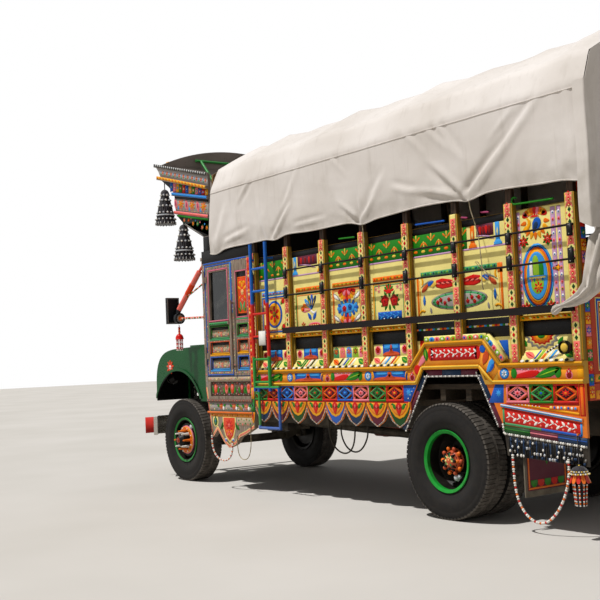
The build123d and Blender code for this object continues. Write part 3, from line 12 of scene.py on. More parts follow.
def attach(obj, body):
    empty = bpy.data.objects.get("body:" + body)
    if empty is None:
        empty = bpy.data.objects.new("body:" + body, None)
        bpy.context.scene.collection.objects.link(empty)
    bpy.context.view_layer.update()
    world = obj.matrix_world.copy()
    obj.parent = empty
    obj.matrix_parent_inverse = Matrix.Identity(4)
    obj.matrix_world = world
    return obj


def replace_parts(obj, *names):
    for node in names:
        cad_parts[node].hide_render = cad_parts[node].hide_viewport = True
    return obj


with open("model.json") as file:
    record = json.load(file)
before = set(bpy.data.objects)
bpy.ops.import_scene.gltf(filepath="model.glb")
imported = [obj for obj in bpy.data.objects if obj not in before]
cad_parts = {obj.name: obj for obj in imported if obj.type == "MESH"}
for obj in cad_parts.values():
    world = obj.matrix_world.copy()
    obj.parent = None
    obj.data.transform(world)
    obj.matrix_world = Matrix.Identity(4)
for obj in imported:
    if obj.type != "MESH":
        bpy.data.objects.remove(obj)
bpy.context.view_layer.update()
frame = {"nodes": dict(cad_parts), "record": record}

bl_info = {
    "name": "Decorated Truck Dressing",
    "version": (1, 0, 0),
    "blender": (4, 5, 0),
    "location": "View3D > Sidebar > Truck",
    "description": "Painted ornament, canvas, tyres, tassels and hanging cords of a decorated truck",
    "category": "Object",
}

NODES = frame["nodes"]

# Places on the truck, in metres, as the frame has them
REAR_AXLE_X = -1.975
FRONT_AXLE_X = 2.855
AXLE_Z = 0.515
BODY_FRONT_X = 0.946
BODY_REAR_X = -3.555
POST_Y = 1.220
PANEL_Y = 1.165
POST_PITCH = 0.630
FIRST_POST_X = -3.507
POST_HALF = 0.043
POST_TOP = 2.676
SIDES = ((1, "left"), (-1, "right"))


def post_x(number):
    """Centre of a side post, counted from the rear corner."""
    return FIRST_POST_X + number * POST_PITCH


def bay_mid(number):
    """Middle of the bay ahead of a side post."""
    return (post_x(number) + post_x(number + 1)) / 2


def linear(code):
    """Linear colour of a written sRGB one."""
    parts = [int(code[k:k + 2], 16) / 255 for k in (0, 2, 4)]
    return tuple(p / 12.92 if p <= 0.04045 else ((p + 0.055) / 1.055) ** 2.4 for p in parts)


def colour(title, text, code):
    """Colour property with its default."""
    return FloatVectorProperty(name=title, description=text, default=linear(code), size=3, min=0.0, max=1.0,
                               subtype="COLOR")


def length(title, text, default, top):
    """Length property in metres."""
    return FloatProperty(name=title, description=text, default=default, min=0.0, max=top, subtype="DISTANCE",
                         unit="LENGTH")


class TruckPaints(bpy.types.PropertyGroup):
    """Colours of the painted ornament."""
    cream: colour("Cream", "Ground of the posts and panels", "F3E28A")
    yellow: colour("Yellow", "Borders and mouldings", "EFA40E")
    gold: colour("Gold", "Small gilt ornament", "E8C04A")
    # ochre is darkened to the olive of the post reveals in shade: painted shade on the posts, a plain colour
    # elsewhere
    ochre: colour("Ochre", "Reveals of the posts", "94782A")
    orange: colour("Orange", "Strips and scrolls", "EA6E0A")
    red: colour("Red", "Flowers and panels", "CC150E")
    deep_red: colour("Deep red", "Shaded petals", "84120E")
    pink: colour("Pink", "Borders and blossoms", "EC7E8A")
    salmon: colour("Salmon", "Blocks on the posts", "EE7466")
    blue: colour("Blue", "Borders and ovals", "1456B4")
    sky: colour("Sky blue", "Light strokes", "3A96DC")
    navy: colour("Navy", "Dark ovals and cloth", "16304F")
    green: colour("Green", "Leaves and bands", "1F7A16")
    dark_green: colour("Dark green", "Diamonds and leaf shade", "0C4416")
    mint: colour("Mint", "Light green borders", "43965F")
    white: colour("White", "Beads and outlines", "EEEAE0")
    black: colour("Black", "Straps and outlines", "0F0E0E")
    pale_grey: colour("Pale grey", "Upper band of the crown", "B9B4B0")
    grey: colour("Grey", "Worn ground of the crown", "8A857F")
    brown: colour("Brown", "Hills and stems", "8A5A36")
    maroon: colour("Maroon", "Dark panels and cloth", "5C1C30")
    lilac: colour("Lilac", "Side borders", "C79AC0")
    salmon_brown: colour("Earth", "Hills of the painted landscapes", "C2481C")
    amber: colour("Amber", "Ground of the band", "F29A2A")
    ochre_orange: colour("Dark gilt", "Upper moulding of the band", "C98A1E")
    plum: colour("Plum", "Frames of the cab windows", "A8446A")
    tan: colour("Tan", "Worn grounds of the cab", "B59E82")
    umber: colour("Umber", "Dark worn strips of the cab", "6B4A3C")
    grey_wood: colour("Grey wood", "Pale worn boards", "A49C94")
    red_orange: colour("Red orange", "Cab panels and strips", "E0451A")
    copper: colour("Copper", "Painted rear hubs", "C4502A")
    steel: colour("Steel", "Metal bits and mirror trim", "C9CCCF")
    lime: colour("Lime", "Light green of the arch border and labels", "8FBA2A")


class TruckSizes(bpy.types.PropertyGroup):
    """Sizes that change how the ornament and soft parts look."""
    layer: length("Layer", "Step between two layers of painted boards", 0.0016, 0.005)
    bead: length("Bead", "Radius of the beads on the garlands", 0.011, 0.03)
    lug_depth: length("Lug depth", "How deep the tyre lugs are cut", 0.016, 0.03)
    wrinkle: length("Wrinkle", "Height of the canvas wrinkles", 0.012, 0.04)
    petals: IntProperty(name="Petals", description="Petals on a painted flower", default=7, min=4, max=12)


def deselect():
    """Leaves edit mode and selects nothing, so that the next operator acts on the new piece alone."""
    if bpy.context.view_layer.objects.active and bpy.context.mode != "OBJECT":
        bpy.ops.object.mode_set(mode="OBJECT")
    bpy.ops.object.select_all(action="DESELECT")
    bpy.context.view_layer.objects.active = None


def activate(piece):
    """Makes one piece the only selected and the active one."""
    deselect()
    piece.select_set(True)
    bpy.context.view_layer.objects.active = piece


def pick_faces(piece, test):
    """Selects the faces, in edit mode, whose middle and normal pass the test."""
    bpy.ops.mesh.select_mode(type="FACE")
    mesh = bmesh.from_edit_mesh(piece.data)
    for face in mesh.faces:
        face.select_set(bool(test(face.calc_center_median(), face.normal)))
    mesh.select_flush_mode()
    bmesh.update_edit_mesh(piece.data)


def settle(piece):
    """Puts the piece's place into its mesh."""
    activate(piece)
    bpy.ops.object.transform_apply(location=True, rotation=True, scale=True)
    return piece


def finish_piece(piece, name, body, material, smooth=None):
    """Names a piece, gives it its finish and body."""
    piece.name = name
    piece.data.name = name
    piece.data.materials.clear()
    piece.data.materials.append(material)
    if smooth is not None:
        activate(piece)
        bpy.ops.object.shade_smooth_by_angle(angle=math.radians(smooth))
    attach(piece, body)
    return piece


def mesh_piece(name, points, faces):
    """New object from points and faces."""
    mesh = bpy.data.meshes.new(name)
    mesh.from_pydata([tuple(p) for p in points], [], [tuple(f) for f in faces])
    mesh.validate()
    piece = bpy.data.objects.new(name, mesh)
    bpy.context.scene.collection.objects.link(piece)
    return piece


# Finishes

MATERIALS = {}


class Finish:
    """Node tree of one material, read from Object coordinates and kept in MATERIALS by its name."""

    def __init__(self, name):
        self.material = MATERIALS[name] = bpy.data.materials.new(name)
        self.material.use_nodes = True
        self.nodes = self.material.node_tree.nodes
        self.nodes.clear()
        self.shader = self.nodes.new("ShaderNodeBsdfPrincipled")
        self.shader.inputs["Specular IOR Level"].default_value = 0.16
        output = self.nodes.new("ShaderNodeOutputMaterial")
        self.join(self.shader.outputs["BSDF"], output.inputs["Surface"])
        self.place = self.nodes.new("ShaderNodeTexCoord").outputs["Object"]

    def join(self, start, end):
        """Links two sockets."""
        self.material.node_tree.links.new(start, end)

    def feed(self, socket, value):
        """Links a value to one of the shader's sockets."""
        self.join(value, self.shader.inputs[socket])

    def noise(self, scale, detail=3.0, stretch=None, distortion=0.0):
        """Noise of a scale, stretched along the axes if asked."""
        node = self.nodes.new("ShaderNodeTexNoise")
        node.inputs["Scale"].default_value = scale
        node.inputs["Detail"].default_value = detail
        node.inputs["Distortion"].default_value = distortion
        start = self.place
        if stretch:
            turn = self.nodes.new("ShaderNodeMapping")
            turn.inputs["Scale"].default_value = stretch
            self.join(start, turn.inputs["Vector"])
            start = turn.outputs["Vector"]
        self.join(start, node.inputs["Vector"])
        return node.outputs["Fac"]

    def spread(self, value, low, high, out_low, out_high):
        """Maps a value's range to another, clamped."""
        node = self.nodes.new("ShaderNodeMapRange")
        for number, amount in zip((1, 2, 3, 4), (low, high, out_low, out_high)):
            node.inputs[number].default_value = amount
        self.join(value, node.inputs[0])
        return node.outputs[0]

    def math(self, kind, first, second):
        """Joins two values, or a value and a number."""
        node = self.nodes.new("ShaderNodeMath")
        node.operation = kind
        for socket, value in zip(node.inputs, (first, second)):
            if isinstance(value, (int, float)):
                socket.default_value = value
            else:
                self.join(value, socket)
        return node.outputs[0]

    def mix(self, factor, first, second, blend="MIX"):
        """Mixes two colours, each a socket or a linear colour."""
        node = self.nodes.new("ShaderNodeMix")
        node.data_type = "RGBA"
        node.blend_type = blend
        sockets = [socket for socket in node.inputs if socket.type == "RGBA"]
        for socket, value in zip(sockets, (first, second)):
            if isinstance(value, tuple):
                socket.default_value = (*value, 1.0)
            else:
                self.join(value, socket)
        if isinstance(factor, (int, float)):
            node.inputs[0].default_value = factor
        else:
            self.join(factor, node.inputs[0])
        return [socket for socket in node.outputs if socket.type == "RGBA"][0]

    def part(self, axis):
        """One coordinate of the place."""
        node = self.nodes.new("ShaderNodeSeparateXYZ")
        self.join(self.place, node.inputs[0])
        return node.outputs[axis]

    def attribute(self, name):
        """Reads a colour that the mesh carries."""
        node = self.nodes.new("ShaderNodeAttribute")
        node.attribute_name = name
        return node.outputs["Color"]

    def bump(self, height, strength, distance=0.002):
        """Bends the shading by a height."""
        node = self.nodes.new("ShaderNodeBump")
        node.inputs["Strength"].default_value = strength
        node.inputs["Distance"].default_value = distance
        self.join(height, node.inputs["Height"])
        self.join(node.outputs["Normal"], self.shader.inputs["Normal"])

    def set(self, **values):
        """Sets the shader's own sockets."""
        for name, value in values.items():
            self.shader.inputs[name.replace("_", " ").title().replace("Ior", "IOR")].default_value = value

    def inside(self, base, wide):
        """Painted shade: near-black on the faces nearer the middle of the truck than a width, the inner faces
        that lie in shade.
        """
        reach = self.math("ABSOLUTE", self.part("Y"), 0.0)
        return self.mix(self.spread(reach, wide - 0.003, wide + 0.003, 1.0, 0.0), base, linear("17120F"))

    def wheel_reach(self):
        """Distance from the nearer axle."""
        found = []
        for axle in (REAR_AXLE_X, FRONT_AXLE_X):
            squares = []
            for axis, middle in (("X", axle), ("Z", AXLE_Z)):
                gap = self.math("ABSOLUTE", self.math("SUBTRACT", self.part(axis), middle), 0.0)
                squares.append(self.math("POWER", gap, 2.0))
            found.append(self.math("SQRT", self.math("ADD", *squares), 0.0))
        return self.math("MINIMUM", found[0], found[1])

    def dusted(self, base, amount, top=1.25, low=0.25):
        """Road dust that thickens towards the ground, broken up by noise."""
        height = self.spread(self.part("Z"), low, top, 1.0, 0.0)
        blown = self.spread(self.noise(5.0, 4.0), 0.35, 0.72, 0.25, 1.0)
        settled = self.math("MULTIPLY", self.math("MULTIPLY", height, blown), amount)
        return self.mix(settled, base, linear("A79B85"))


def shade(colour_now, factor):
    """The colour made darker or lighter."""
    return tuple(min(1.0, part * factor) for part in colour_now)


def enamel(name, base, rough=0.42, metal=0.0, dust=0.4, vary=0.16, chips=None, bump=0.12, inner=None,
           dark=None):
    """Brushed enamel paint: uneven tone, brush marks, worn flecks and road dust, with painted shade inside a
    width.
    """
    paint = Finish(name)
    base = linear(base) if isinstance(base, str) else base
    tone = paint.spread(paint.noise(2.6, 4.0), 0.3, 0.7, 0.0, 1.0)
    now = paint.mix(tone, shade(base, 1 - vary), shade(base, 1 + vary))
    brush = paint.noise(34.0, 3.0, (1.0, 6.0, 2.0))
    now = paint.mix(paint.spread(brush, 0.4, 0.75, 0.0, 0.22), now, shade(base, 0.62))
    if chips:
        fleck = paint.spread(paint.noise(58.0, 5.0), 0.66, 0.72, 0.0, 0.85)
        now = paint.mix(fleck, now, linear(chips))
    if inner:
        now = paint.inside(now, inner)
    if dark:
        now = dark(paint, now)
    paint.feed("Base Color", paint.dusted(now, dust))
    paint.feed("Roughness", paint.spread(brush, 0.3, 0.7, rough - 0.1, rough + 0.16))
    paint.bump(brush, bump)
    paint.set(metallic=metal)


def behind_lens(paint, base):
    """Dark shell of the lamps behind their lenses."""
    return paint.mix(paint.spread(paint.part("X"), 3.395, 3.405, 1.0, 0.0), base, linear("12110F"))


def painted_underside_shade(paint, base):
    """Painted shade: near-black on faces that look down or back, told by the way the surface faces."""
    split = paint.nodes.new("ShaderNodeSeparateXYZ")
    paint.join(paint.nodes.new("ShaderNodeNewGeometry").outputs["Normal"], split.inputs[0])
    under = paint.spread(split.outputs[2], -0.25, -0.12, 1.0, 0.0)
    behind = paint.spread(split.outputs[0], -0.60, -0.45, 1.0, 0.0)
    return paint.mix(paint.math("MAXIMUM", under, behind), base, linear("0B0C0A"))


def below_tail_cloth(paint, base):
    """Dark back behind the sloping board at the tail."""
    slope = paint.math("SUBTRACT", paint.part("Z"), paint.math("MULTIPLY", paint.part("X"), 0.094))
    low = paint.spread(slope, 1.112, 1.116, 1.0, 0.0)
    rear = paint.spread(paint.part("X"), -2.692, -2.688, 1.0, 0.0)
    return paint.mix(paint.math("MULTIPLY", low, rear), base, linear("1A1412"))


def timber(name, base, dark, stretch=(1.0, 14.0, 14.0), rough=0.62, dust=0.3, inner=None):
    """Planed wood with long grain and darker streaks."""
    wood = Finish(name)
    grain = wood.noise(6.0, 6.0, stretch, 0.6)
    now = wood.mix(wood.spread(grain, 0.35, 0.68, 0.0, 1.0), linear(base), linear(dark))
    fine = wood.noise(54.0, 3.0, stretch)
    now = wood.mix(wood.spread(fine, 0.5, 0.75, 0.0, 0.35), now, shade(linear(dark), 0.6))
    if inner:
        now = wood.inside(now, inner)
    wood.feed("Base Color", wood.dusted(now, dust))
    wood.feed("Roughness", wood.spread(fine, 0.3, 0.7, rough - 0.1, rough + 0.15))
    wood.bump(grain, 0.3)


def ornament_paint(name, rough=0.45, dust=0.16):
    """Hand-laid enamel whose colour comes from each piece of ornament."""
    paint = Finish(name)
    now = paint.attribute("paint")
    tone = paint.spread(paint.noise(7.0, 4.0), 0.3, 0.7, 0.0, 0.3)
    now = paint.mix(tone, now, paint.mix(1.0, now, (0.52, 0.5, 0.5), "MULTIPLY"))
    brush = paint.noise(60.0, 3.0, (1.0, 3.0, 1.6))
    now = paint.mix(paint.spread(brush, 0.55, 0.8, 0.0, 0.3), now,
                    paint.mix(1.0, now, (0.45, 0.42, 0.4), "MULTIPLY"))
    worn = paint.spread(paint.noise(90.0, 5.0), 0.68, 0.74, 0.0, 0.5)
    now = paint.mix(worn, now, linear("6E6353"))
    # dust fades out on near-black paint, so the black boards that paint shade stay black
    dust = paint.spread(paint.attribute("paint"), 0.004, 0.06, 0.0, dust)
    paint.feed("Base Color", paint.dusted(now, dust))
    paint.feed("Roughness", paint.spread(brush, 0.3, 0.75, rough - 0.12, rough + 0.18))
    paint.bump(brush, 0.12)


def clear_pane(name, tint):
    """Thin glass with a faint tint and dust film."""
    glass = Finish(name)
    film = glass.noise(9.0, 4.0)
    glass.feed("Roughness", glass.spread(film, 0.3, 0.75, 0.06, 0.18))
    dusty = glass.spread(film, 0.5, 0.8, 0.0, 0.35)
    glass.feed("Base Color", glass.mix(dusty, linear(tint), linear("CFCBBE")))
    glass.set(transmission_weight=0.92, ior=1.45, specular_ior_level=0.5)


def make_finishes():
    """Makes every finish."""
    enamel("black_metal", "1C1B1A", 0.55, 0.3, 0.6, chips="4A3A2C")
    enamel("cast_iron", "35322E", 0.65, 0.5, 0.65, chips="5A4430", bump=0.3)
    # green paint turns near-black where its faces look down or back: painted shade
    enamel("green_paint", "064A1E", 0.3, 0.0, 0.04, 0.10, bump=0.02, dark=painted_underside_shade)
    enamel("bright_metal", "B9B6AE", 0.24, 0.9, 0.3, 0.08)
    enamel("lamp_glass", "D9D8CC", 0.12, 0.35, 0.2, 0.06, dark=behind_lens)
    clear_pane("clear_glass", "2A3234")
    # cab wood and body paint turn near-black inside a width: painted shade on their inner faces
    timber("cab_wood", "9C8C7C", "5F4E41", (14.0, 14.0, 1.2), 0.55, 0.25, inner=1.12)
    enamel("body_paint", "B98A30", 0.5, 0.0, 0.3, chips="6F5330", inner=1.150)
    enamel("frieze_paint", "D9711A", 0.45, 0.0, 0.3, chips="6F5330", dark=below_tail_cloth)
    enamel("crown_paint", "8C8078", 0.48, 0.0, 0.2, chips="5A4C40")
    timber("dark_rail", "1A0F0B", "0A0606", (1.0, 16.0, 16.0), 0.55, 0.05)
    timber("floor_boards", "3E3226", "1E1812", (1.2, 9.0, 9.0), 0.75, 0.5)
    enamel("gate_paint", "B23A1C", 0.46, 0.0, 0.35, chips="5A3A2A")
    timber("bow_wood", "8A6B44", "553F26", (4.0, 4.0, 4.0), 0.7)
    enamel("flap_rubber", "1B1918", 0.7, 0.0, 0.7)
    enamel("tank_paint", "8F2A1E", 0.4, 0.1, 0.5, chips="3C2A22")
    enamel("seat_cover", "6E1B20", 0.6, 0.0, 0.2)
    timber("dash_paint", "5C4433", "33251B", (3.0, 12.0, 12.0))
    enamel("wheel_grip", "171513", 0.35, 0.0, 0.1)
    tyre_rubber()
    wheel_paint("rim_paint", "12932F", 0.232, 1.140)
    wheel_paint("front_rim_paint", "1F7A32", 0.255, 0.990)
    wrapped_stay()
    enamel("hose_rubber", "161514", 0.5, 0.0, 0.4)
    enamel("bead_string", "3A2A22", 0.6, 0.0, 0.2)
    rope_fibre()
    canvas_cloth()
    thread_cloth()
    post_wood()
    ladder_enamel()
    ornament_paint("ornament")
    ornament_paint("bright_ornament", 0.3, 0.12)


def wheel_paint(name, lip, edge, face_y):
    """Black dished rim with a bright painted lip at its outer face, and dust lower down."""
    paint = Finish(name)
    tone = paint.noise(12.0, 4.0)
    now = paint.mix(paint.spread(tone, 0.35, 0.7, 0.0, 1.0), linear("0B0A0A"), linear("181614"))
    ring = paint.math("ADD", paint.wheel_reach(), paint.math("MULTIPLY", paint.noise(30.0), 0.006))
    reach = paint.math("ABSOLUTE", paint.part("Y"), 0.0)
    outer = paint.spread(reach, face_y - 0.003, face_y + 0.003, 0.0, 1.0)
    now = paint.mix(paint.math("MULTIPLY", outer, paint.spread(ring, edge, edge + 0.003, 0.0, 1.0)), now,
                    paint.mix(paint.spread(tone, 0.4, 0.7, 0.0, 0.6), linear(lip), shade(linear(lip), 0.45)))
    paint.feed("Base Color", paint.dusted(now, 0.06, 1.1, 0.1))
    paint.feed("Roughness", paint.spread(tone, 0.3, 0.7, 0.32, 0.6))
    paint.bump(tone, 0.12)
    paint.set(metallic=0.15)


def tyre_rubber():
    """Rubber: near-black side walls, a dusty warm grey tread."""
    rubber = Finish("tyre_rubber")
    reach = rubber.wheel_reach()
    tone = rubber.noise(16.0, 5.0)
    tread = rubber.mix(rubber.spread(tone, 0.35, 0.7, 0.0, 1.0), linear("6A635B"), linear("46413B"))
    wall = rubber.mix(rubber.spread(tone, 0.35, 0.7, 0.0, 1.0), linear("1B1918"), linear("2A2724"))
    now = rubber.mix(rubber.spread(reach, 0.498, 0.508, 0.0, 1.0), wall, tread)
    rings = rubber.spread(rubber.math("SINE", rubber.math("MULTIPLY", reach, 420.0), 0.0), 0.2, 0.9, 0.0, 0.3)
    rubber.feed("Base Color", rubber.mix(rings, now, linear("1B1918")))
    rubber.feed("Roughness", rubber.spread(tone, 0.3, 0.7, 0.62, 0.88))
    rubber.bump(rubber.noise(60.0, 4.0), 0.3)


def wrapped_stay():
    """Orange tape wound round the mirror stays."""
    wrap = Finish("mirror_stay")
    bands = wrap.nodes.new("ShaderNodeTexWave")
    bands.bands_direction = "DIAGONAL"
    bands.inputs["Scale"].default_value = 9.0
    bands.inputs["Distortion"].default_value = 1.2
    wrap.join(wrap.place, bands.inputs["Vector"])
    now = wrap.mix(wrap.spread(bands.outputs["Fac"], 0.45, 0.6, 0.0, 1.0), linear("E5604C"), linear("C23A26"))
    now = wrap.mix(wrap.spread(wrap.noise(30.0), 0.6, 0.75, 0.0, 0.5), now, linear("EE8A5A"))
    low = wrap.spread(wrap.part("Z"), 2.315, 2.320, 1.0, 0.0)
    ahead = wrap.spread(wrap.part("X"), 2.420, 2.424, 0.0, 1.0)
    now = wrap.mix(wrap.math("MULTIPLY", low, ahead), now, linear("1A1B1E"))
    wrap.feed("Base Color", now)
    wrap.feed("Roughness", wrap.spread(wrap.noise(12.0), 0.3, 0.7, 0.3, 0.55))
    wrap.bump(bands.outputs["Fac"], 0.4)


def rope_fibre():
    """Twisted pale rope."""
    rope = Finish("rope_fibre")
    strand = rope.noise(70.0, 3.0, (1.0, 1.0, 0.5))
    now = rope.mix(rope.spread(strand, 0.35, 0.65, 0.0, 1.0), linear("B9AB8C"), linear("6F5F45"))
    rope.feed("Base Color", rope.dusted(now, 0.4))
    rope.feed("Roughness", rope.spread(strand, 0.3, 0.7, 0.75, 0.95))
    rope.bump(strand, 0.6)


def canvas_cloth():
    """Off-white canvas: plain weave, rain streaks, dirt towards the hem and in blotches."""
    cloth = Finish("canvas")
    broad = cloth.noise(1.1, 4.0)
    now = cloth.mix(cloth.spread(broad, 0.35, 0.68, 0.0, 1.0), linear("E0D8D1"), linear("D0C7BE"))
    streak = cloth.noise(5.0, 5.0, (3.0, 3.0, 0.35))
    now = cloth.mix(cloth.spread(streak, 0.55, 0.80, 0.0, 0.3), now, linear("A79C8E"))
    hem = cloth.spread(cloth.part("Z"), 2.72, 3.1, 0.55, 0.0)
    now = cloth.mix(cloth.math("MULTIPLY", hem, cloth.spread(cloth.noise(7.0, 5.0), 0.3, 0.7, 0.2, 1.0)), now,
                    linear("8E8472"))
    stain = cloth.spread(cloth.noise(3.4, 6.0), 0.60, 0.78, 0.0, 0.16)
    now = cloth.mix(stain, now, linear("86795F"))
    cloth.feed("Base Color", now)
    weave = cloth.math("ADD", cloth.noise(420.0, 1.0, (1.0, 1.0, 0.25)),
                       cloth.noise(420.0, 1.0, (0.25, 0.25, 1.0)))
    cloth.bump(cloth.math("ADD", cloth.math("MULTIPLY", weave, 0.35), cloth.noise(14.0, 5.0)), 0.35, 0.004)
    cloth.feed("Roughness", cloth.spread(broad, 0.3, 0.7, 0.82, 0.95))
    cloth.set(sheen_weight=0.25, sheen_roughness=0.5)


def thread_cloth():
    """Black thread with a silky sheen, in fine upright strands."""
    thread = Finish("tassel_thread")
    strand = thread.noise(90.0, 2.0, (1.0, 1.0, 0.06))
    now = thread.mix(thread.spread(strand, 0.4, 0.7, 0.0, 1.0), linear("100E10"), linear("3A3338"))
    thread.feed("Base Color", now)
    thread.feed("Roughness", thread.spread(strand, 0.3, 0.7, 0.5, 0.8))
    thread.bump(strand, 0.7, 0.004)
    thread.set(sheen_weight=0.3)


def post_wood():
    """Ochre painted posts, darkened to an olive as painted shade on their reveals; bare dark wood above the
    panels, made darker as painted shade under the cover.
    """
    post = Finish("post_paint")
    grain = post.noise(6.0, 6.0, (14.0, 14.0, 1.0), 0.5)
    wood = post.mix(post.spread(grain, 0.35, 0.68, 0.0, 1.0), linear("4A3626"), linear("1E1510"))
    tone = post.noise(5.0, 4.0)
    paint = post.mix(post.spread(tone, 0.35, 0.7, 0.0, 1.0), linear("A2832A"), linear("6E5A1E"))
    fleck = post.spread(post.noise(60.0, 5.0), 0.66, 0.72, 0.0, 0.8)
    paint = post.mix(fleck, paint, linear("54401E"))
    # ochre below the split, dark wood above it: both partly their own colour, partly painted shade
    now = post.mix(post.spread(post.part("Z"), 2.668, 2.684, 0.0, 1.0), paint, wood)
    post.feed("Base Color", now)
    post.feed("Roughness", post.spread(grain, 0.3, 0.7, 0.45, 0.7))
    post.bump(grain, 0.3)


def ladder_enamel():
    """Ladder tubes in lengths of green, blue and red, chipped to metal."""
    paint = Finish("ladder_paint")
    height = paint.math("ADD", paint.part("Z"), paint.math("MULTIPLY", paint.noise(20.0), 0.02))
    now = paint.mix(paint.spread(height, 0.775, 0.785, 0.0, 1.0), linear("1B55A6"), linear("2C8A3A"))
    rear_rail = paint.math("MULTIPLY", paint.spread(paint.part("X"), 0.60, 0.61, 1.0, 0.0),
                           paint.spread(height, 1.185, 1.190, 1.0, 0.0))
    top_bar = paint.math("MULTIPLY", paint.spread(height, 1.142, 1.147, 0.0, 1.0),
                         paint.spread(height, 1.185, 1.19, 1.0, 0.0))
    now = paint.mix(paint.math("MAXIMUM", rear_rail, top_bar), now, linear("1B55A6"))
    for start, end, code in ((1.52, 1.54, "C7281C"), (2.10, 2.12, "1D5FB4"), (2.95, 2.97, "3A9044")):
        now = paint.mix(paint.spread(height, start, end, 0.0, 1.0), now, linear(code))
    fleck = paint.spread(paint.noise(75.0, 5.0), 0.64, 0.7, 0.0, 0.9)
    now = paint.mix(fleck, now, linear("5A4A3E"))
    paint.feed("Base Color", paint.dusted(now, 0.4))
    paint.feed("Roughness", paint.spread(paint.noise(22.0), 0.3, 0.7, 0.28, 0.5))
    paint.bump(paint.noise(40.0), 0.15)


class TRUCK_OT_finishes(bpy.types.Operator):
    """Gives every frame node the finish of its record slot."""
    bl_idname = "truck.finishes"
    bl_label = "Finishes"

    def execute(self, context):
        make_finishes()
        for part in frame["record"]["subparts"]:
            node = NODES[part["node"] if "node" in part else part["name"]]
            for slot in node.material_slots:
                slot.material = MATERIALS[part["material_slot"]]
        return {"FINISHED"}


SHAPES = {}


def cut_board(outline, lip=0.94):
    """Thin board with a given outline, from 0 to 1 high, its front face a little smaller than its back."""
    deselect()
    bpy.ops.mesh.primitive_circle_add(vertices=len(outline), radius=1.0, fill_type="NGON")
    board = bpy.context.object
    for vertex, (u, v) in zip(board.data.vertices, outline):
        vertex.co = (u, v, 0.0)
    bpy.ops.object.mode_set(mode="EDIT")
    bpy.ops.mesh.select_all(action="SELECT")
    bpy.ops.mesh.extrude_region_move(TRANSFORM_OT_translate={"value": (0.0, 0.0, 1.0)})
    middle = (sum(u for u, v in outline) / len(outline), sum(v for u, v in outline) / len(outline), 1.0)
    bpy.ops.transform.resize(value=(lip, lip, 1.0), center_override=middle)
    bpy.ops.mesh.select_all(action="SELECT")
    bpy.ops.mesh.normals_make_consistent(inside=False)
    bpy.ops.object.mode_set(mode="OBJECT")
    return take_shape(board)


def ring_points(count, reach):
    """Outline whose radius at each turn comes from reach(turn)."""
    return [(reach(2 * math.pi * k / count) * math.cos(2 * math.pi * k / count),
             reach(2 * math.pi * k / count) * math.sin(2 * math.pi * k / count)) for k in range(count)]


def scroll_outline():
    """Outline of an S-shaped brush stroke that thins to both ends."""
    turns, width = 0.75, 0.22
    line = []
    for k in range(13):
        t = k / 12
        angle = (t - 0.5) * 2 * math.pi * turns
        line.append((2 * t - 1, 0.62 * math.sin(angle * 1.35), width * math.sin(math.pi * (0.08 + 0.84 * t))))
    upper = [(u, v + w) for u, v, w in line]
    lower = [(u, v - w) for u, v, w in line]
    return upper[::-1] + lower


def sun_outline(rays):
    """Outline of half a sun, its rays long and short in turn."""
    line = []
    for k in range(rays + 1):
        reach = (1.0, 0.84)[k % 2]
        line.append((math.cos(math.pi * k / rays) * reach, math.sin(math.pi * k / rays) * 2 * reach - 1.0))
    return line


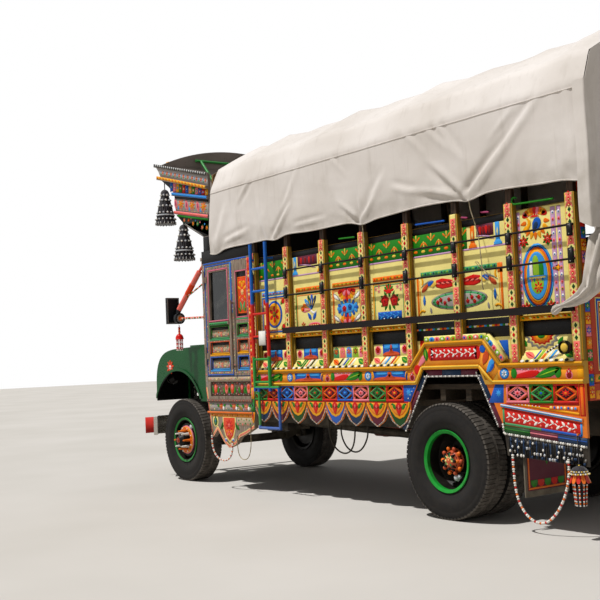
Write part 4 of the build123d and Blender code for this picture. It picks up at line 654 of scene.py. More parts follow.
def model_ornaments():
    """Every cut-out that the painted ornament is made of."""
    SHAPES["board"] = cut_board([(-1, -1), (1, -1), (1, 1), (-1, 1)], 0.985)
    SHAPES["disc"] = cut_board(ring_points(14, lambda t: 1.0), 0.86)
    SHAPES["oval"] = cut_board(ring_points(22, lambda t: 1.0), 0.93)
    SHAPES["leaf"] = cut_board([(-1, 0), (-0.62, -0.36), (-0.1, -0.5), (0.45, -0.36), (1, 0), (0.45, 0.36),
                              (-0.1, 0.5), (-0.62, 0.36)], 0.84)
    SHAPES["petal"] = cut_board([(-0.22, -1), (0.22, -1), (0.62, -0.25), (0.82, 0.4), (0.55, 0.88), (0, 1),
                               (-0.55, 0.88), (-0.82, 0.4), (-0.62, -0.25)], 0.82)
    SHAPES["drop"] = cut_board([(0, -1), (0.42, -0.52), (0.74, 0.05), (0.70, 0.58), (0.36, 0.94), (0, 1),
                              (-0.36, 0.94), (-0.70, 0.58), (-0.74, 0.05), (-0.42, -0.52)], 0.88)
    SHAPES["diamond"] = cut_board([(0, -1), (1, 0), (0, 1), (-1, 0)], 0.85)
    SHAPES["triangle"] = cut_board([(-1, -1), (1, -1), (0, 1)], 0.86)
    SHAPES["scallop"] = cut_board([(-1, 1), (-1, 0.1), (-0.8, -0.45), (-0.42, -0.86), (0, -1), (0.42, -0.86),
                                 (0.8, -0.45), (1, 0.1), (1, 1)], 0.94)
    SHAPES["point"] = cut_board([(-1, 1), (-1, 0.35), (0, -1), (1, 0.35), (1, 1)], 0.94)
    SHAPES["half_sun"] = cut_board(sun_outline(14), 0.94)
    SHAPES["arch"] = cut_board([(-1, -1), (1, -1), (1, 0.2), (0.92, 0.52), (0.68, 0.80), (0.36, 0.95), (0, 1),
                              (-0.36, 0.95), (-0.68, 0.80), (-0.92, 0.52), (-1, 0.2)], 0.95)
    SHAPES["rosette"] = cut_board(ring_points(32, lambda t: 0.88 + 0.12 * math.cos(8 * t)), 0.9)
    SHAPES["rose"] = cut_board(ring_points(20, lambda t: 0.90 + 0.10 * math.cos(5 * t)), 0.86)
    SHAPES["star"] = cut_board(ring_points(16, lambda t: (1.0, 0.48)[round(t * 8 / math.pi) % 2]), 0.86)
    SHAPES["scroll"] = cut_board(scroll_outline(), 0.9)
    SHAPES["pendant"] = cut_board([(-1, 1), (-1, 0.55), (-0.78, -0.1), (-0.42, -0.74), (0, -1), (0.42, -0.74),
                                 (0.78, -0.1), (1, 0.55), (1, 1)], 0.93)
    SHAPES["shield"] = cut_board([(-1, 1), (-1, 0.21), (-0.62, -0.54), (0, -1), (0.62, -0.54), (1, 0.21),
                                (1, 1)], 0.96)
    SHAPES["wing"] = cut_board([(-1, -0.9), (-0.4, -0.62), (0.2, -0.5), (0.72, -0.12), (1, 0.5), (0.9, 1),
                              (0.62, 0.62), (0.3, 0.72), (0.1, 0.32), (-0.25, 0.36), (-0.5, -0.1),
                              (-0.8, -0.3)], 0.9)
    SHAPES["crescent"] = cut_board([(-1, -0.6), (-0.8, 0.2), (-0.35, 0.8), (0.3, 1), (0.85, 0.75), (1, 0.5),
                                  (0.5, 0.6), (0.05, 0.42), (-0.3, 0.05), (-0.5, -0.5)], 0.92)


def model_rod():
    """Round rod one unit in radius, from -1 to 1 along Z, with eased ends."""
    deselect()
    bpy.ops.mesh.primitive_cylinder_add(vertices=10, radius=1.0, depth=2.0)
    rod = bpy.context.object
    bpy.ops.object.mode_set(mode="EDIT")
    pick_faces(rod, lambda centre, normal: abs(normal.z) > 0.9)
    bpy.ops.mesh.inset(thickness=0.22)
    bpy.ops.object.mode_set(mode="OBJECT")
    return take_shape(rod)


def model_cone():
    """Round cap one unit in radius at -1, half that at 1, with a beaded foot."""
    deselect()
    bpy.ops.mesh.primitive_cone_add(vertices=12, radius1=1.0, radius2=0.55, depth=2.0)
    cone = bpy.context.object
    bpy.ops.object.mode_set(mode="EDIT")
    pick_faces(cone, lambda centre, normal: normal.z > 0.9)
    bpy.ops.mesh.inset(thickness=0.2)
    bpy.ops.transform.translate(value=(0.0, 0.0, 0.12))
    bpy.ops.object.mode_set(mode="OBJECT")
    return take_shape(cone)


def model_ring():
    """Round ring one unit in radius, drawn flat."""
    deselect()
    bpy.ops.mesh.primitive_torus_add(major_segments=40, minor_segments=6, major_radius=1.0, minor_radius=0.05)
    ring = bpy.context.object
    bpy.ops.object.mode_set(mode="EDIT")
    bpy.ops.mesh.select_all(action="SELECT")
    bpy.ops.transform.resize(value=(1.0, 1.0, 10.0))
    bpy.ops.object.mode_set(mode="OBJECT")
    return take_shape(ring)


class TRUCK_OT_shapes(bpy.types.Operator):
    """Models each ornament shape once, for the painted pieces to copy"""
    bl_idname = "truck.shapes"
    bl_label = "Ornament shapes"

    def execute(self, context):
        SHAPES["bead"] = model_bead()
        SHAPES["post_rod"] = model_rod()
        SHAPES["cone"] = model_cone()
        SHAPES["ring"] = model_ring()
        model_ornaments()
        return {"FINISHED"}


# Hoses, garlands and the rope, on the routes of the frame's cords

GARLAND_Y = 1.234


def hanging_route(y, places):
    """Points of a route that hangs in one plane, from its places along X and Z."""
    return tuple((x, y, z) for x, z in places)


AIR_HOSE = hanging_route(0.462, (
    (0.606, 0.723), (0.606, 0.655), (0.590, 0.575), (0.543, 0.497), (0.472, 0.444), (0.388, 0.414),
    (0.306, 0.414), (0.232, 0.449), (0.184, 0.512), (0.160, 0.586), (0.150, 0.658), (0.150, 0.723),
))
BRAKE_HOSE = hanging_route(0.395, (
    (0.478, 0.691), (0.478, 0.632), (0.455, 0.558), (0.401, 0.486), (0.328, 0.440), (0.245, 0.424),
    (0.164, 0.440), (0.095, 0.490), (0.042, 0.559), (0.012, 0.629), (0.012, 0.691),
))
CAB_GARLAND = hanging_route(GARLAND_Y, (
    (1.872, 0.640), (1.872, 0.587), (1.870, 0.524), (1.852, 0.457), (1.811, 0.402), (1.752, 0.362),
    (1.683, 0.341), (1.608, 0.336), (1.540, 0.350), (1.482, 0.385), (1.446, 0.437), (1.430, 0.500),
    (1.430, 0.560),
))
CAB_ROPE = hanging_route(GARLAND_Y, (
    (1.326, 0.620), (1.326, 0.562), (1.323, 0.492), (1.304, 0.426), (1.260, 0.382), (1.198, 0.366),
    (1.134, 0.379), (1.085, 0.423), (1.057, 0.488), (1.045, 0.562), (1.043, 0.646), (1.043, 0.730),
))
REAR_GARLAND = hanging_route(GARLAND_Y, (
    (-2.806, 0.640), (-2.806, 0.572), (-2.8075, 0.497), (-2.811, 0.420), (-2.819, 0.343), (-2.836, 0.270),
    (-2.867, 0.205), (-2.913, 0.150), (-2.973, 0.108), (-3.041, 0.088), (-3.111, 0.096), (-3.177, 0.135),
    (-3.234, 0.191), (-3.282, 0.256), (-3.322, 0.330), (-3.350, 0.408), (-3.367, 0.480), (-3.373, 0.548),
    (-3.373, 0.610),
))


def cord_line(name, route, diameter):
    """Smooth curve through a route, as thick as the cord."""
    line = bpy.data.curves.new(name, "CURVE")
    line.dimensions = "3D"
    line.bevel_depth = diameter / 2
    line.bevel_resolution = 3
    line.resolution_u = 8
    line.use_fill_caps = True
    spline = line.splines.new("NURBS")
    spline.points.add(len(route) - 1)
    for point, place in zip(spline.points, route):
        point.co = (*place, 1.0)
    spline.order_u = 3
    spline.use_endpoint_u = True
    piece = bpy.data.objects.new(name, line)
    bpy.context.scene.collection.objects.link(piece)
    return piece


def centre_points(cord):
    """Points along a cord's own line."""
    bare = cord.copy()
    bare.data = cord.data.copy()
    bare.data.bevel_depth = 0.0
    bpy.context.scene.collection.objects.link(bare)
    bpy.context.view_layer.update()
    mesh = bpy.data.meshes.new_from_object(bare.evaluated_get(bpy.context.evaluated_depsgraph_get()))
    points = [vertex.co.copy() for vertex in mesh.vertices]
    bpy.data.meshes.remove(mesh)
    bpy.data.objects.remove(bare)
    return points


def walk(points, step, start=0.0):
    """Places and directions every step along a line of points."""
    found, left = [], start
    for a, b in zip(points, points[1:]):
        run = (b - a).length
        if run < 1e-7:
            continue
        way = (b - a) / run
        while left <= run:
            found.append((a + way * left, way))
            left += step
        left -= run
    return found


def model_bead():
    """One faceted bead, as points and faces about the origin."""
    deselect()
    bpy.ops.mesh.primitive_ico_sphere_add(subdivisions=2, radius=1.0)
    bead = bpy.context.object
    bpy.ops.object.mode_set(mode="EDIT")
    pick_faces(bead, lambda centre, normal: abs(centre.z) > 0.8)
    bpy.ops.transform.resize(value=(1.0, 1.0, 0.88))
    bpy.ops.object.mode_set(mode="OBJECT")
    return take_shape(bead)


def take_shape(piece):
    """Points and faces of a modelled piece, which is then cleared away."""
    mesh = piece.data
    points = np.array([vertex.co[:] for vertex in mesh.vertices])
    faces = [tuple(face.vertices) for face in mesh.polygons]
    bpy.data.objects.remove(piece)
    return points, faces


def turn_to(direction):
    """Rotation that takes +Z to a direction, as an array."""
    return np.array(Vector((0, 0, 1)).rotation_difference(Vector(direction)).to_matrix())


class Painted:
    """Collects coloured copies of modelled shapes into one piece."""

    def __init__(self, name, body, slot, finish="ornament"):
        self.name, self.body, self.slot, self.finish = name, body, slot, finish
        self.points, self.faces, self.paints, self.count = [], [], [], 0

    def add(self, shape, matrix, place, paint):
        """One copy, turned and sized by a 3 by 3 array, then moved."""
        points, faces = shape
        matrix = np.asarray(matrix, float)
        self.points.append(points @ matrix.T + np.asarray(place, float))
        turned = np.linalg.det(matrix) < 0
        for face in faces:
            numbers = [k + self.count for k in (face[::-1] if turned else face)]
            self.faces.append(numbers)
        self.paints.append((len(points), tone(paint)))
        self.count += len(points)

    def make(self, smooth=None):
        """The finished piece, with its paint as a point attribute."""
        if not self.points:
            return None
        mesh = bpy.data.meshes.new(self.name)
        points = np.concatenate(self.points)
        mesh.vertices.add(len(points))
        mesh.vertices.foreach_set("co", points.astype(np.float32).ravel())
        sizes = np.array([len(face) for face in self.faces])
        corners = np.concatenate([np.array(face) for face in self.faces])
        mesh.loops.add(len(corners))
        mesh.loops.foreach_set("vertex_index", corners)
        mesh.polygons.add(len(sizes))
        mesh.polygons.foreach_set("loop_start", np.concatenate([[0], np.cumsum(sizes)[:-1]]))
        mesh.update(calc_edges=True)
        paint = mesh.attributes.new("paint", "FLOAT_COLOR", "POINT")
        values = np.concatenate([np.tile((*colour_now, 1.0), (count,
                                                              1)) for count, colour_now in self.paints])
        paint.data.foreach_set("color", values.astype(np.float32).ravel())
        piece = bpy.data.objects.new(self.name, mesh)
        bpy.context.scene.collection.objects.link(piece)
        return finish_piece(piece, self.name, self.body, MATERIALS[self.finish], smooth)


def tone(paint):
    """A paint's colour, from its name or as given."""
    if isinstance(paint, str):
        return tuple(getattr(bpy.context.scene.truck_paints, paint))
    return tuple(paint)


class TRUCK_OT_cords(bpy.types.Operator):
    """Two air hoses, two bead garlands and the looped rope, with the beads and bindings on them"""
    bl_idname = "truck.cords"
    bl_label = "Hoses, garlands and rope"

    def execute(self, context):
        bead = SHAPES["bead"]
        for name, route, span in (("air_hose", AIR_HOSE, 0.870), ("brake_hose", BRAKE_HOSE, 0.784)):
            hose = cord_line(name + "_line", route, 0.018)
            hose.data.materials.append(MATERIALS["hose_rubber"])
            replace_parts(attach(hose, "chassis"), name)
        for name, route, span, wide in (("cab_garland", CAB_GARLAND, 0.793, 0.012),
                                        ("rear_garland", REAR_GARLAND, 1.335, 0.012)):
            string = cord_line(name + "_line", route, wide)
            string.data.materials.append(MATERIALS["bead_string"])
            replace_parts(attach(string, "chassis"), name)
            beads = Painted(name + "_beads", "chassis", "bead_string", "bright_ornament")
            radius = context.scene.truck_sizes.bead
            for number, (place, way) in enumerate(walk(centre_points(string), radius * 1.7, radius * 2.2)):
                paint = ("white", "white", "red", "white", "white", "orange")[number % 6]
                beads.add(bead, turn_to(way) * radius * (1.0 if number % 3 else 1.12), place, paint)
            beads.make(40)
        rope = cord_line("cab_rope_line", CAB_ROPE, 0.010)
        rope.data.materials.append(MATERIALS["rope_fibre"])
        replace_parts(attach(rope, "chassis"), "cab_rope")
        knots = Painted("cab_rope_bindings", "chassis", "rope_fibre", "ornament")
        line = centre_points(rope)
        for place, way in (walk(line, 9.0, 0.035)[0], walk(line[::-1], 9.0, 0.035)[0]):
            for step in (-1, 0, 1):
                knots.add(bead, turn_to(way) @ np.diag([0.0085, 0.0085, 0.006]), place + way * step * 0.009,
                          linear("A3906A"))
        knots.make(40)
        return {"FINISHED"}


# Painted faces

class Face:
    """A flat place for ornament: a corner, the two ways along it and the way out of it."""

    def __init__(self, piece, corner, along=(1, 0, 0), up=(0, 0, 1), out=(0, 1, 0)):
        self.piece = piece
        self.corner = np.array(corner, float)
        self.along, self.up, self.out = (np.array(Vector(way).normalized()) for way in (along, up, out))
        self.layer = bpy.context.scene.truck_sizes.layer

    def put(self, shape, u, v, half_u, half_v, paint, turn=0.0, level=1, rise=None):
        """One cut-out at u, v, turned in the plane, standing on the layers below it."""
        c, s = math.cos(turn), math.sin(turn)
        basis = np.column_stack((self.along, self.up, self.out))
        flat = np.array(((c * half_u, -s * half_v, 0.0), (s * half_u, c * half_v, 0.0),
                         (0.0, 0.0, rise or self.layer)))
        place = self.corner + self.along * u + self.up * v + self.out * ((level - 1) * self.layer)
        self.piece.add(SHAPES[shape], basis @ flat, place, paint)

    def pair(self, shape, mid, reach, v, half_u, half_v, paint, turn=0.0, level=1):
        """Two mirrored cut-outs, one on each side of a middle line."""
        for way in (-1, 1):
            self.put(shape, mid + way * reach, v, half_u * way, half_v, paint, turn * way, level)

    def board(self, u0, v0, u1, v1, paint, level=1, rise=None):
        """Board between two corners."""
        self.put("board", (u0 + u1) / 2, (v0 + v1) / 2, abs(u1 - u0) / 2, abs(v1 - v0) / 2, paint,
                 0.0, level, rise)

    def quad(self, corners, paint, level=1, rise=None):
        """Board drawn out to four corners, given in order round it."""
        points, faces = SHAPES["board"]
        a, b, c, d = (np.array(corner, float)[None, :] for corner in corners)
        u, v = (points[:, :1] + 1) / 2, (points[:, 1:2] + 1) / 2
        flat = a * (1 - u) * (1 - v) + b * u * (1 - v) + c * u * v + d * (1 - u) * v
        shape = (np.column_stack((flat, points[:, 2] * (rise or self.layer))), faces)
        place = self.corner + self.out * (level - 1) * self.layer
        self.piece.add(shape, np.column_stack((self.along, self.up, self.out)), place, paint)

    def beads(self, line, radius, paints):
        """Beads threaded along a line of points on the face."""
        turned = np.column_stack((self.along, self.up, self.out)) * radius
        points = [Vector((u, v, 0.0)) for u, v in line]
        for number, (place, _) in enumerate(walk(points, radius * 2.1, radius)):
            where = self.corner + self.along * place.x + self.up * place.y + self.out * radius * 0.4
            self.piece.add(SHAPES["bead"], turned, where, paints[number % len(paints)])

    def strip(self, start, end, half, paint, level=1, rise=None):
        """Narrow board from one point to another."""
        du, dv = end[0] - start[0], end[1] - start[1]
        self.put("board", (start[0] + end[0]) / 2, (start[1] + end[1]) / 2, math.hypot(du, dv) / 2, half,
                 paint, math.atan2(dv, du), level, rise)

    def border(self, u0, v0, u1, v1, wide, paint, level=1):
        """Four strips just inside a rectangle."""
        self.board(u0, v0, u1, v0 + wide, paint, level)
        self.board(u0, v1 - wide, u1, v1, paint, level)
        self.board(u0, v0 + wide, u0 + wide, v1 - wide, paint, level)
        self.board(u1 - wide, v0 + wide, u1, v1 - wide, paint, level)

    def row(self, shape, start, end, count, half_u, half_v, paints, level=1, turn=None):
        """Like cut-outs in a row, in turn of colour."""
        du, dv = end[0] - start[0], end[1] - start[1]
        lean = math.atan2(dv, du) if turn is None else turn
        for number in range(count):
            share = (number + 0.5) / count
            self.put(shape, start[0] + du * share, start[1] + dv * share, half_u, half_v,
                     paints[number % len(paints)], lean, level)

    def flower(self, u, v, reach, petal, heart, level=1, count=None):
        """Open flower: petals round a two-tone heart."""
        count = count or bpy.context.scene.truck_sizes.petals
        wide = reach * 1.75 / count
        for number in range(count):
            turn = 2 * math.pi * number / count
            self.put("petal", u + reach * 0.56 * math.sin(turn), v + reach * 0.56 * math.cos(turn), wide,
                     reach * 0.46, petal, -turn, level)
        self.put("disc", u, v, reach * 0.30, reach * 0.30, heart, 0.0, level + 1)
        self.put("disc", u, v, reach * 0.13, reach * 0.13, petal, 0.0, level + 2)

    def rose(self, u, v, reach, paint, shadow, level=1):
        """Full rose: a scalloped disc with curled petals turned inside it."""
        self.put("rose", u, v, reach, reach, paint, 0.3, level)
        for number in range(5):
            turn = 2 * math.pi * number / 5 + 0.5
            self.put("crescent", u + reach * 0.50 * math.cos(turn), v + reach * 0.50 * math.sin(turn),
                     reach * 0.36, reach * 0.30, shadow, turn - 1.9, level + 1)
        self.put("rose", u, v, reach * 0.46, reach * 0.46, paint, 1.0, level + 1, self.layer * 1.4)
        self.put("disc", u, v, reach * 0.20, reach * 0.20, shadow, 0.0, level + 3)

    def leaf(self, u, v, reach, turn, paint="green", vein="dark_green", level=1):
        """Pointed leaf with its midrib, growing from u, v."""
        mu, mv = u + reach * 0.5 * math.cos(turn), v + reach * 0.5 * math.sin(turn)
        self.put("leaf", mu, mv, reach * 0.5, reach * 0.46, paint, turn, level)
        self.put("leaf", mu, mv, reach * 0.40, reach * 0.09, vein, turn, level + 1)

    def spray(self, u, v, reach, paint, heart, level=1):
        """Flower on a ring of leaves."""
        for number in range(6):
            self.leaf(u, v, reach * 1.25, math.pi * (number + 0.5) / 3, "green", "dark_green", level)
        self.flower(u, v, reach * 0.85, paint, heart, level + 2)

    def scenery(self, u0, v0, u1, v1, level=1):
        """Plain landscape of sky, water, a brown hill and its foreland."""
        mid, half = (u0 + u1) / 2, (u1 - u0) / 2
        high = v1 - v0
        self.board(u0, v0, u1, v1, "blue", level)
        self.board(u0 + half * 0.20, v1 - high * 0.36, u1 - half * 0.20, v1, "sky", level + 1)
        self.pair("leaf", mid, half * 0.50, v0 + high * 0.70, half * 0.40, high * 0.24, "sky", 0.0, level + 2)
        self.put("oval", mid, v0 + high * 0.16, half * 0.94, high * 0.22, "salmon_brown", 0.0, level + 2)
        self.put("triangle", mid, v0 + high * 0.48, half * 0.34, high * 0.26, "salmon_brown", 0.0, level + 3)
        self.put("petal", mid, v0 + high * 0.62, half * 0.15, high * 0.34, "salmon_brown", 0.0, level + 3)
        self.board(u0 + half * 0.05, v0, u1 - half * 0.05, v0 + high * 0.18, "salmon_brown", level + 3)

    def medallion(self, u, v, half_u, half_v, rim, ground, petal, heart, level=1):
        """Oval with a rim and a flower in it."""
        self.put("oval", u, v, half_u, half_v, rim, 0.0, level)
        self.put("oval", u, v, half_u * 0.80, half_v * 0.84, ground, 0.0, level + 1)
        self.flower(u, v, min(half_u, half_v) * 0.62, petal, heart, level + 2, 6)

    def vine(self, start, end, count, paint, bud, level=1):
        """Running stem with leaves to both sides and a bud over each joint."""
        du, dv = end[0] - start[0], end[1] - start[1]
        lean = math.atan2(dv, du)
        step = math.hypot(du, dv) / count
        for number in range(count):
            share, way = (number + 0.5) / count, (-1) ** number
            u, v = start[0] + du * share, start[1] + dv * share
            self.put("leaf", u, v + way * 0.018, step * 0.46, step * 0.42, paint, lean + way * 0.75, level)
            self.put("oval", u + step * 0.3, v - way * 0.004, step * 0.34, 0.004, paint,
                     lean - way * 0.45, level)
            self.put("rosette", u + step * 0.1, v - way * 0.028, 0.011, 0.011, (bud, paint)[number % 2],
                     0.0, level)

    def palmette(self, u, v, half_u, half_v, paints, way=1, level=1, count=7):
        """Fan of petals that opens up for way 1 and down for -1."""
        for number in range(count):
            turn = (number / (count - 1) - 0.5) * math.radians(150)
            reach = 1.0 - 0.25 * abs(number / (count - 1) - 0.5)
            self.put("petal", u + half_u * 0.62 * reach * math.sin(turn),
                     v + way * half_v * 0.75 * reach * math.cos(turn), half_u * 1.5 / count,
                     half_v * 0.62 * reach, paints[number % len(paints)],
                     -turn if way > 0 else math.pi + turn, level)
        self.put("half_sun", u, v, half_u * 0.26, half_v * 0.16, paints[0], 0.0 if way > 0 else math.pi,
                 level + 1)


# Canvas cover: one long sheet over the bows, a front gable and a gathered rear flap

CANVAS_THICK = 0.003
HEM_TIES = (1.62, 0.40, -1.06, -2.48, -3.66)
COVER_FRONT_X, COVER_LONG = 1.74, 5.49
SIDE_ROWS, ROOF_ROWS, COVER_COLUMNS = 34, 30, 250
SEAM_ROW = 32
FLAP_X, FLAP_HALF = -3.760, 1.274
FLAP_ROWS, FLAP_COLUMNS = 58, 90
CORNER_COLUMNS, CORNER_TURNS = 12, 5
GABLE_X, GABLE_HALF, GABLE_FOOT_Z = 1.728, 1.262, 3.395
GABLE_ROWS, GABLE_COLUMNS = 22, 81
# How far the roof stands over or sags under its line along X, highest over every other bow
ROOF_RISE = ((-3.76, 0.0), (-3.507, 0.030), (-3.19, -0.012), (-2.877, 0.004), (-2.56, -0.020),
             (-2.247, 0.004), (-1.93, -0.012), (-1.617, 0.026), (-1.30, -0.010), (-0.987, 0.002),
             (-0.67, -0.010), (-0.357, 0.030), (-0.04, -0.008), (0.273, 0.002), (0.59, -0.006),
             (0.903, 0.032), (1.32, -0.018), (1.74, 0.012))
# Creases of the left side: both ends in X and Z, then the width and height of the ridge
CREASES = (
    (0.40, 2.81, 0.11, 3.08, 0.030, 1.5), (0.16, 3.13, -0.06, 3.43, 0.035, 0.7),
    (0.86, 3.46, 1.05, 3.30, 0.030, 1.3), (0.52, 2.82, 0.72, 3.32, 0.060, 0.8),
    (1.35, 2.87, 0.94, 2.93, 0.030, 1.0), (1.62, 2.80, 1.30, 3.30, 0.060, 0.7),
    (-1.06, 2.78, -0.75, 2.99, 0.026, 1.1), (-1.06, 2.78, -1.04, 3.04, 0.022, 0.8),
    (-1.06, 2.78, -1.24, 2.94, 0.026, 1.2), (-1.06, 2.78, -1.42, 3.16, 0.040, 0.8),
    (-0.02, 2.87, -0.45, 2.88, 0.022, 0.8), (-0.67, 3.44, -0.82, 3.30, 0.025, 0.9),
    (-1.77, 3.46, -1.95, 3.28, 0.030, 1.0), (-1.58, 3.01, -1.92, 2.90, 0.030, 0.9),
    (-2.48, 2.79, -3.29, 3.46, 0.040, 2.2), (-2.48, 2.79, -2.06, 3.16, 0.032, 1.6),
    (-2.48, 2.79, -1.81, 2.97, 0.030, 1.0), (-2.16, 3.47, -2.39, 3.17, 0.032, 1.3),
    (-2.04, 3.45, -2.30, 3.22, 0.030, 1.1), (-3.17, 3.47, -2.77, 3.14, 0.036, 1.2),
    (-3.57, 3.44, -3.70, 2.94, 0.032, 1.0), (-3.00, 3.41, -2.79, 3.26, 0.028, 0.9),
    (-3.44, 3.40, -3.50, 2.98, 0.045, 0.7),
)
SHOULDER_Z = 3.505
ROOF_LINE = ((1.280, SHOULDER_Z), (1.196, 3.738), (0.88, 3.915), (0.61, 4.056), (0.30, 4.098), (0.0, 4.116))

# Ropes from the hem ties down to the rods, with a bow at the lower end of the long one
TIE_ROPES = (
    ((-2.48, 1.258, 2.775), (-2.49, 1.250, 2.68), (-2.53, 1.244, 2.55), (-2.56, 1.243, 2.430),
     (-2.575, 1.245, 2.30), (-2.585, 1.244, 2.168), (-2.615, 1.248, 2.10), (-2.655, 1.250, 2.075),
     (-2.650, 1.252, 2.12), (-2.600, 1.250, 2.165), (-2.545, 1.252, 2.200), (-2.515, 1.250, 2.235),
     (-2.540, 1.248, 2.230), (-2.585, 1.248, 2.175), (-2.580, 1.252, 2.06), (-2.590, 1.250, 1.99)),
    ((-1.06, 1.258, 2.785), (-1.063, 1.252, 2.72), (-1.068, 1.245, 2.60), (-1.072, 1.243, 2.43)),
)

# Gathered tail of the rear flap, tied to the end of the guard rail: X, Y, Z and radius
TAIL = ((-3.735, 1.00, 2.52, 0.085), (-3.745, 1.07, 2.40, 0.100), (-3.748, 1.13, 2.27, 0.102),
        (-3.745, 1.19, 2.14, 0.092), (-3.730, 1.232, 2.02, 0.078), (-3.69, 1.258, 1.925, 0.062),
        (-3.62, 1.270, 1.860, 0.046), (-3.54, 1.276, 1.826, 0.034), (-3.47, 1.280, 1.808, 0.022),
        (-3.43, 1.282, 1.800, 0.015), (-3.405, 1.284, 1.790, 0.024), (-3.375, 1.286, 1.772, 0.030),
        (-3.350, 1.287, 1.752, 0.022), (-3.338, 1.288, 1.742, 0.006))


def section_point(t):
    """Point of the cover's cross-section at a share t of the way from the left seam to the ridge."""
    steps = [math.dist(a, b) for a, b in zip(ROOF_LINE, ROOF_LINE[1:])]
    left = t * sum(steps)
    for a, b, step in zip(ROOF_LINE, ROOF_LINE[1:], steps):
        if left <= step + 1e-9:
            share = left / step
            return a[0] + (b[0] - a[0]) * share, a[1] + (b[1] - a[1]) * share
        left -= step
    return ROOF_LINE[-1]


def roof_height(y):
    """Height of the cover's cross-section at a place across it."""
    across = [point[0] for point in ROOF_LINE][::-1]
    up = [point[1] for point in ROOF_LINE][::-1]
    return float(np.interp(abs(y), across, up))


def hem_height(x):
    """Height of the cover's lower edge, lowest where a rope pulls it."""
    pull = max(math.exp(-((x - tie) / 0.13) ** 2) for tie in HEM_TIES)
    sway = 0.010 * math.sin(2.3 * x + 0.8) + 0.006 * math.sin(6.1 * x)
    return 2.792 + sway - 0.036 * pull


def front_lean(z):
    """How far the front edge of the cover leans back at a height."""
    return 0.17 * max(0.0, (z - 2.9) / 0.9) ** 1.2


def fold(x, z, seed):
    """Height of the canvas wrinkles at a place: soft swags, creases running to the ties and crumple."""
    rise = 0.6 * noise.noise(Vector((1.9 * x, 0.7 * z, seed)))
    ridge = 1.0 - abs(noise.noise(Vector((2.6 * x + 1.4 * z, 1.1 * z, seed + 4.0)))) * 2.6
    rise += 0.75 * max(0.0, ridge - 0.35)
    ridge = 1.0 - abs(noise.noise(Vector((1.3 * x - 2.2 * z, 3.8 * z, seed + 9.0)))) * 2.8
    rise += 0.55 * max(0.0, ridge - 0.4)
    rise += 0.3 * noise.noise(Vector((9.0 * x, 6.0 * z, seed + 2.0)))
    for tie in HEM_TIES:
        reach = math.hypot(x - tie, (z - 2.76) * 0.6)
        if reach < 0.55:
            rays = math.sin(9.0 * math.atan2(z - 2.70, x - tie) + tie)
            rise += 0.8 * rays * math.exp(-reach / 0.16)
    return rise


def crease(x, z):
    """Height of the pulled creases at a place on the side, each a ridge with a hollow under it."""
    rise = 0.0
    for x0, z0, x1, z1, wide, high in CREASES:
        run = math.hypot(x1 - x0, z1 - z0)
        along = ((x - x0) * (x1 - x0) + (z - z0) * (z1 - z0)) / run
        if -0.1 < along < run + 0.1:
            off = ((x - x0) * (z1 - z0) - (z - z0) * (x1 - x0)) / run / wide
            if abs(off) < 4.0:
                ends = min(1.0, (along + 0.1) / 0.12) * min(1.0, (run + 0.1 - along) / 0.25)
                rise += high * max(0.0, ends) * (math.exp(-off * off) - 0.8 * math.exp(-(off - 1.7) ** 2))
    return rise


def cloth_grid(name, rows, thickness):
    """Sheet from rows of points, given its thickness."""
    points = [point for row in rows for point in row]
    wide = len(rows[0])
    faces = [(r * wide + c, r * wide + c + 1, (r + 1) * wide + c + 1, (r + 1) * wide + c)
             for r in range(len(rows) - 1) for c in range(wide - 1)]
    piece = mesh_piece(name, points, faces)
    activate(piece)
    bpy.ops.object.modifier_add(type="SOLIDIFY")
    piece.modifiers[-1].thickness = thickness
    piece.modifiers[-1].offset = -1.0
    bpy.ops.object.modifier_apply(modifier=piece.modifiers[-1].name)
    return piece


def tube_along(name, points, radius, sides=8, folds=0.0):
    """Tube with closed ends along a line of points, round or folded, its radius one number or one a point."""
    rings, turn = [], np.arange(sides) * 2 * math.pi / sides
    points = [Vector(p) for p in points]
    upright, level = Vector((0.02, 0.03, 1.0)), Vector((1.0, 0.02, 0.03))
    for number, point in enumerate(points):
        way = (points[min(number + 1, len(points) - 1)] - points[max(number - 1, 0)]).normalized()
        side = way.cross(upright if abs(way.z) < 0.9 else level).normalized()
        over = side.cross(way)
        wide = radius[number] if isinstance(radius, tuple) else radius
        for a in turn:
            folded = 1 + folds * math.cos(7 * a + 0.5 * number)
            rings.append(point + (side * math.cos(a) + over * math.sin(a)) * wide * folded)
    faces = []
    for r in range(len(points) - 1):
        for c in range(sides):
            a, b = r * sides + c, r * sides + (c + 1) % sides
            faces.append((a, a + sides, b + sides, b))
    faces.append(tuple(range(sides)))
    faces.append(tuple(range(len(points) * sides - 1, (len(points) - 1) * sides - 1, -1)))
    piece = mesh_piece(name, rings, faces)
    activate(piece)
    bpy.ops.object.mode_set(mode="EDIT")
    bpy.ops.mesh.select_all(action="SELECT")
    bpy.ops.mesh.normals_make_consistent(inside=False)
    bpy.ops.object.mode_set(mode="OBJECT")
    return piece


def side_place(x, share, side, wrinkle):
    """Y and Z of the hanging side of the cover, a share of the way up from its hem."""
    low = hem_height(x * side - (0.0 if side > 0 else 1.9))
    z = low + (SHOULDER_Z - low) * share
    y = 1.260 + 0.020 * share
    inward = -0.012 * math.exp(-((z - low) / 0.10) ** 2)
    y += inward + wrinkle * (0.45 * (fold(x, z, 3.0 * side) - 0.5) * (0.25 + 0.9 * (1 - share)))
    along = x if side > 0 else -2.0 - x
    y += wrinkle * min(1.5, 1.3 * crease(along, z)) * (1.0 - 0.6 * share)
    return y, z


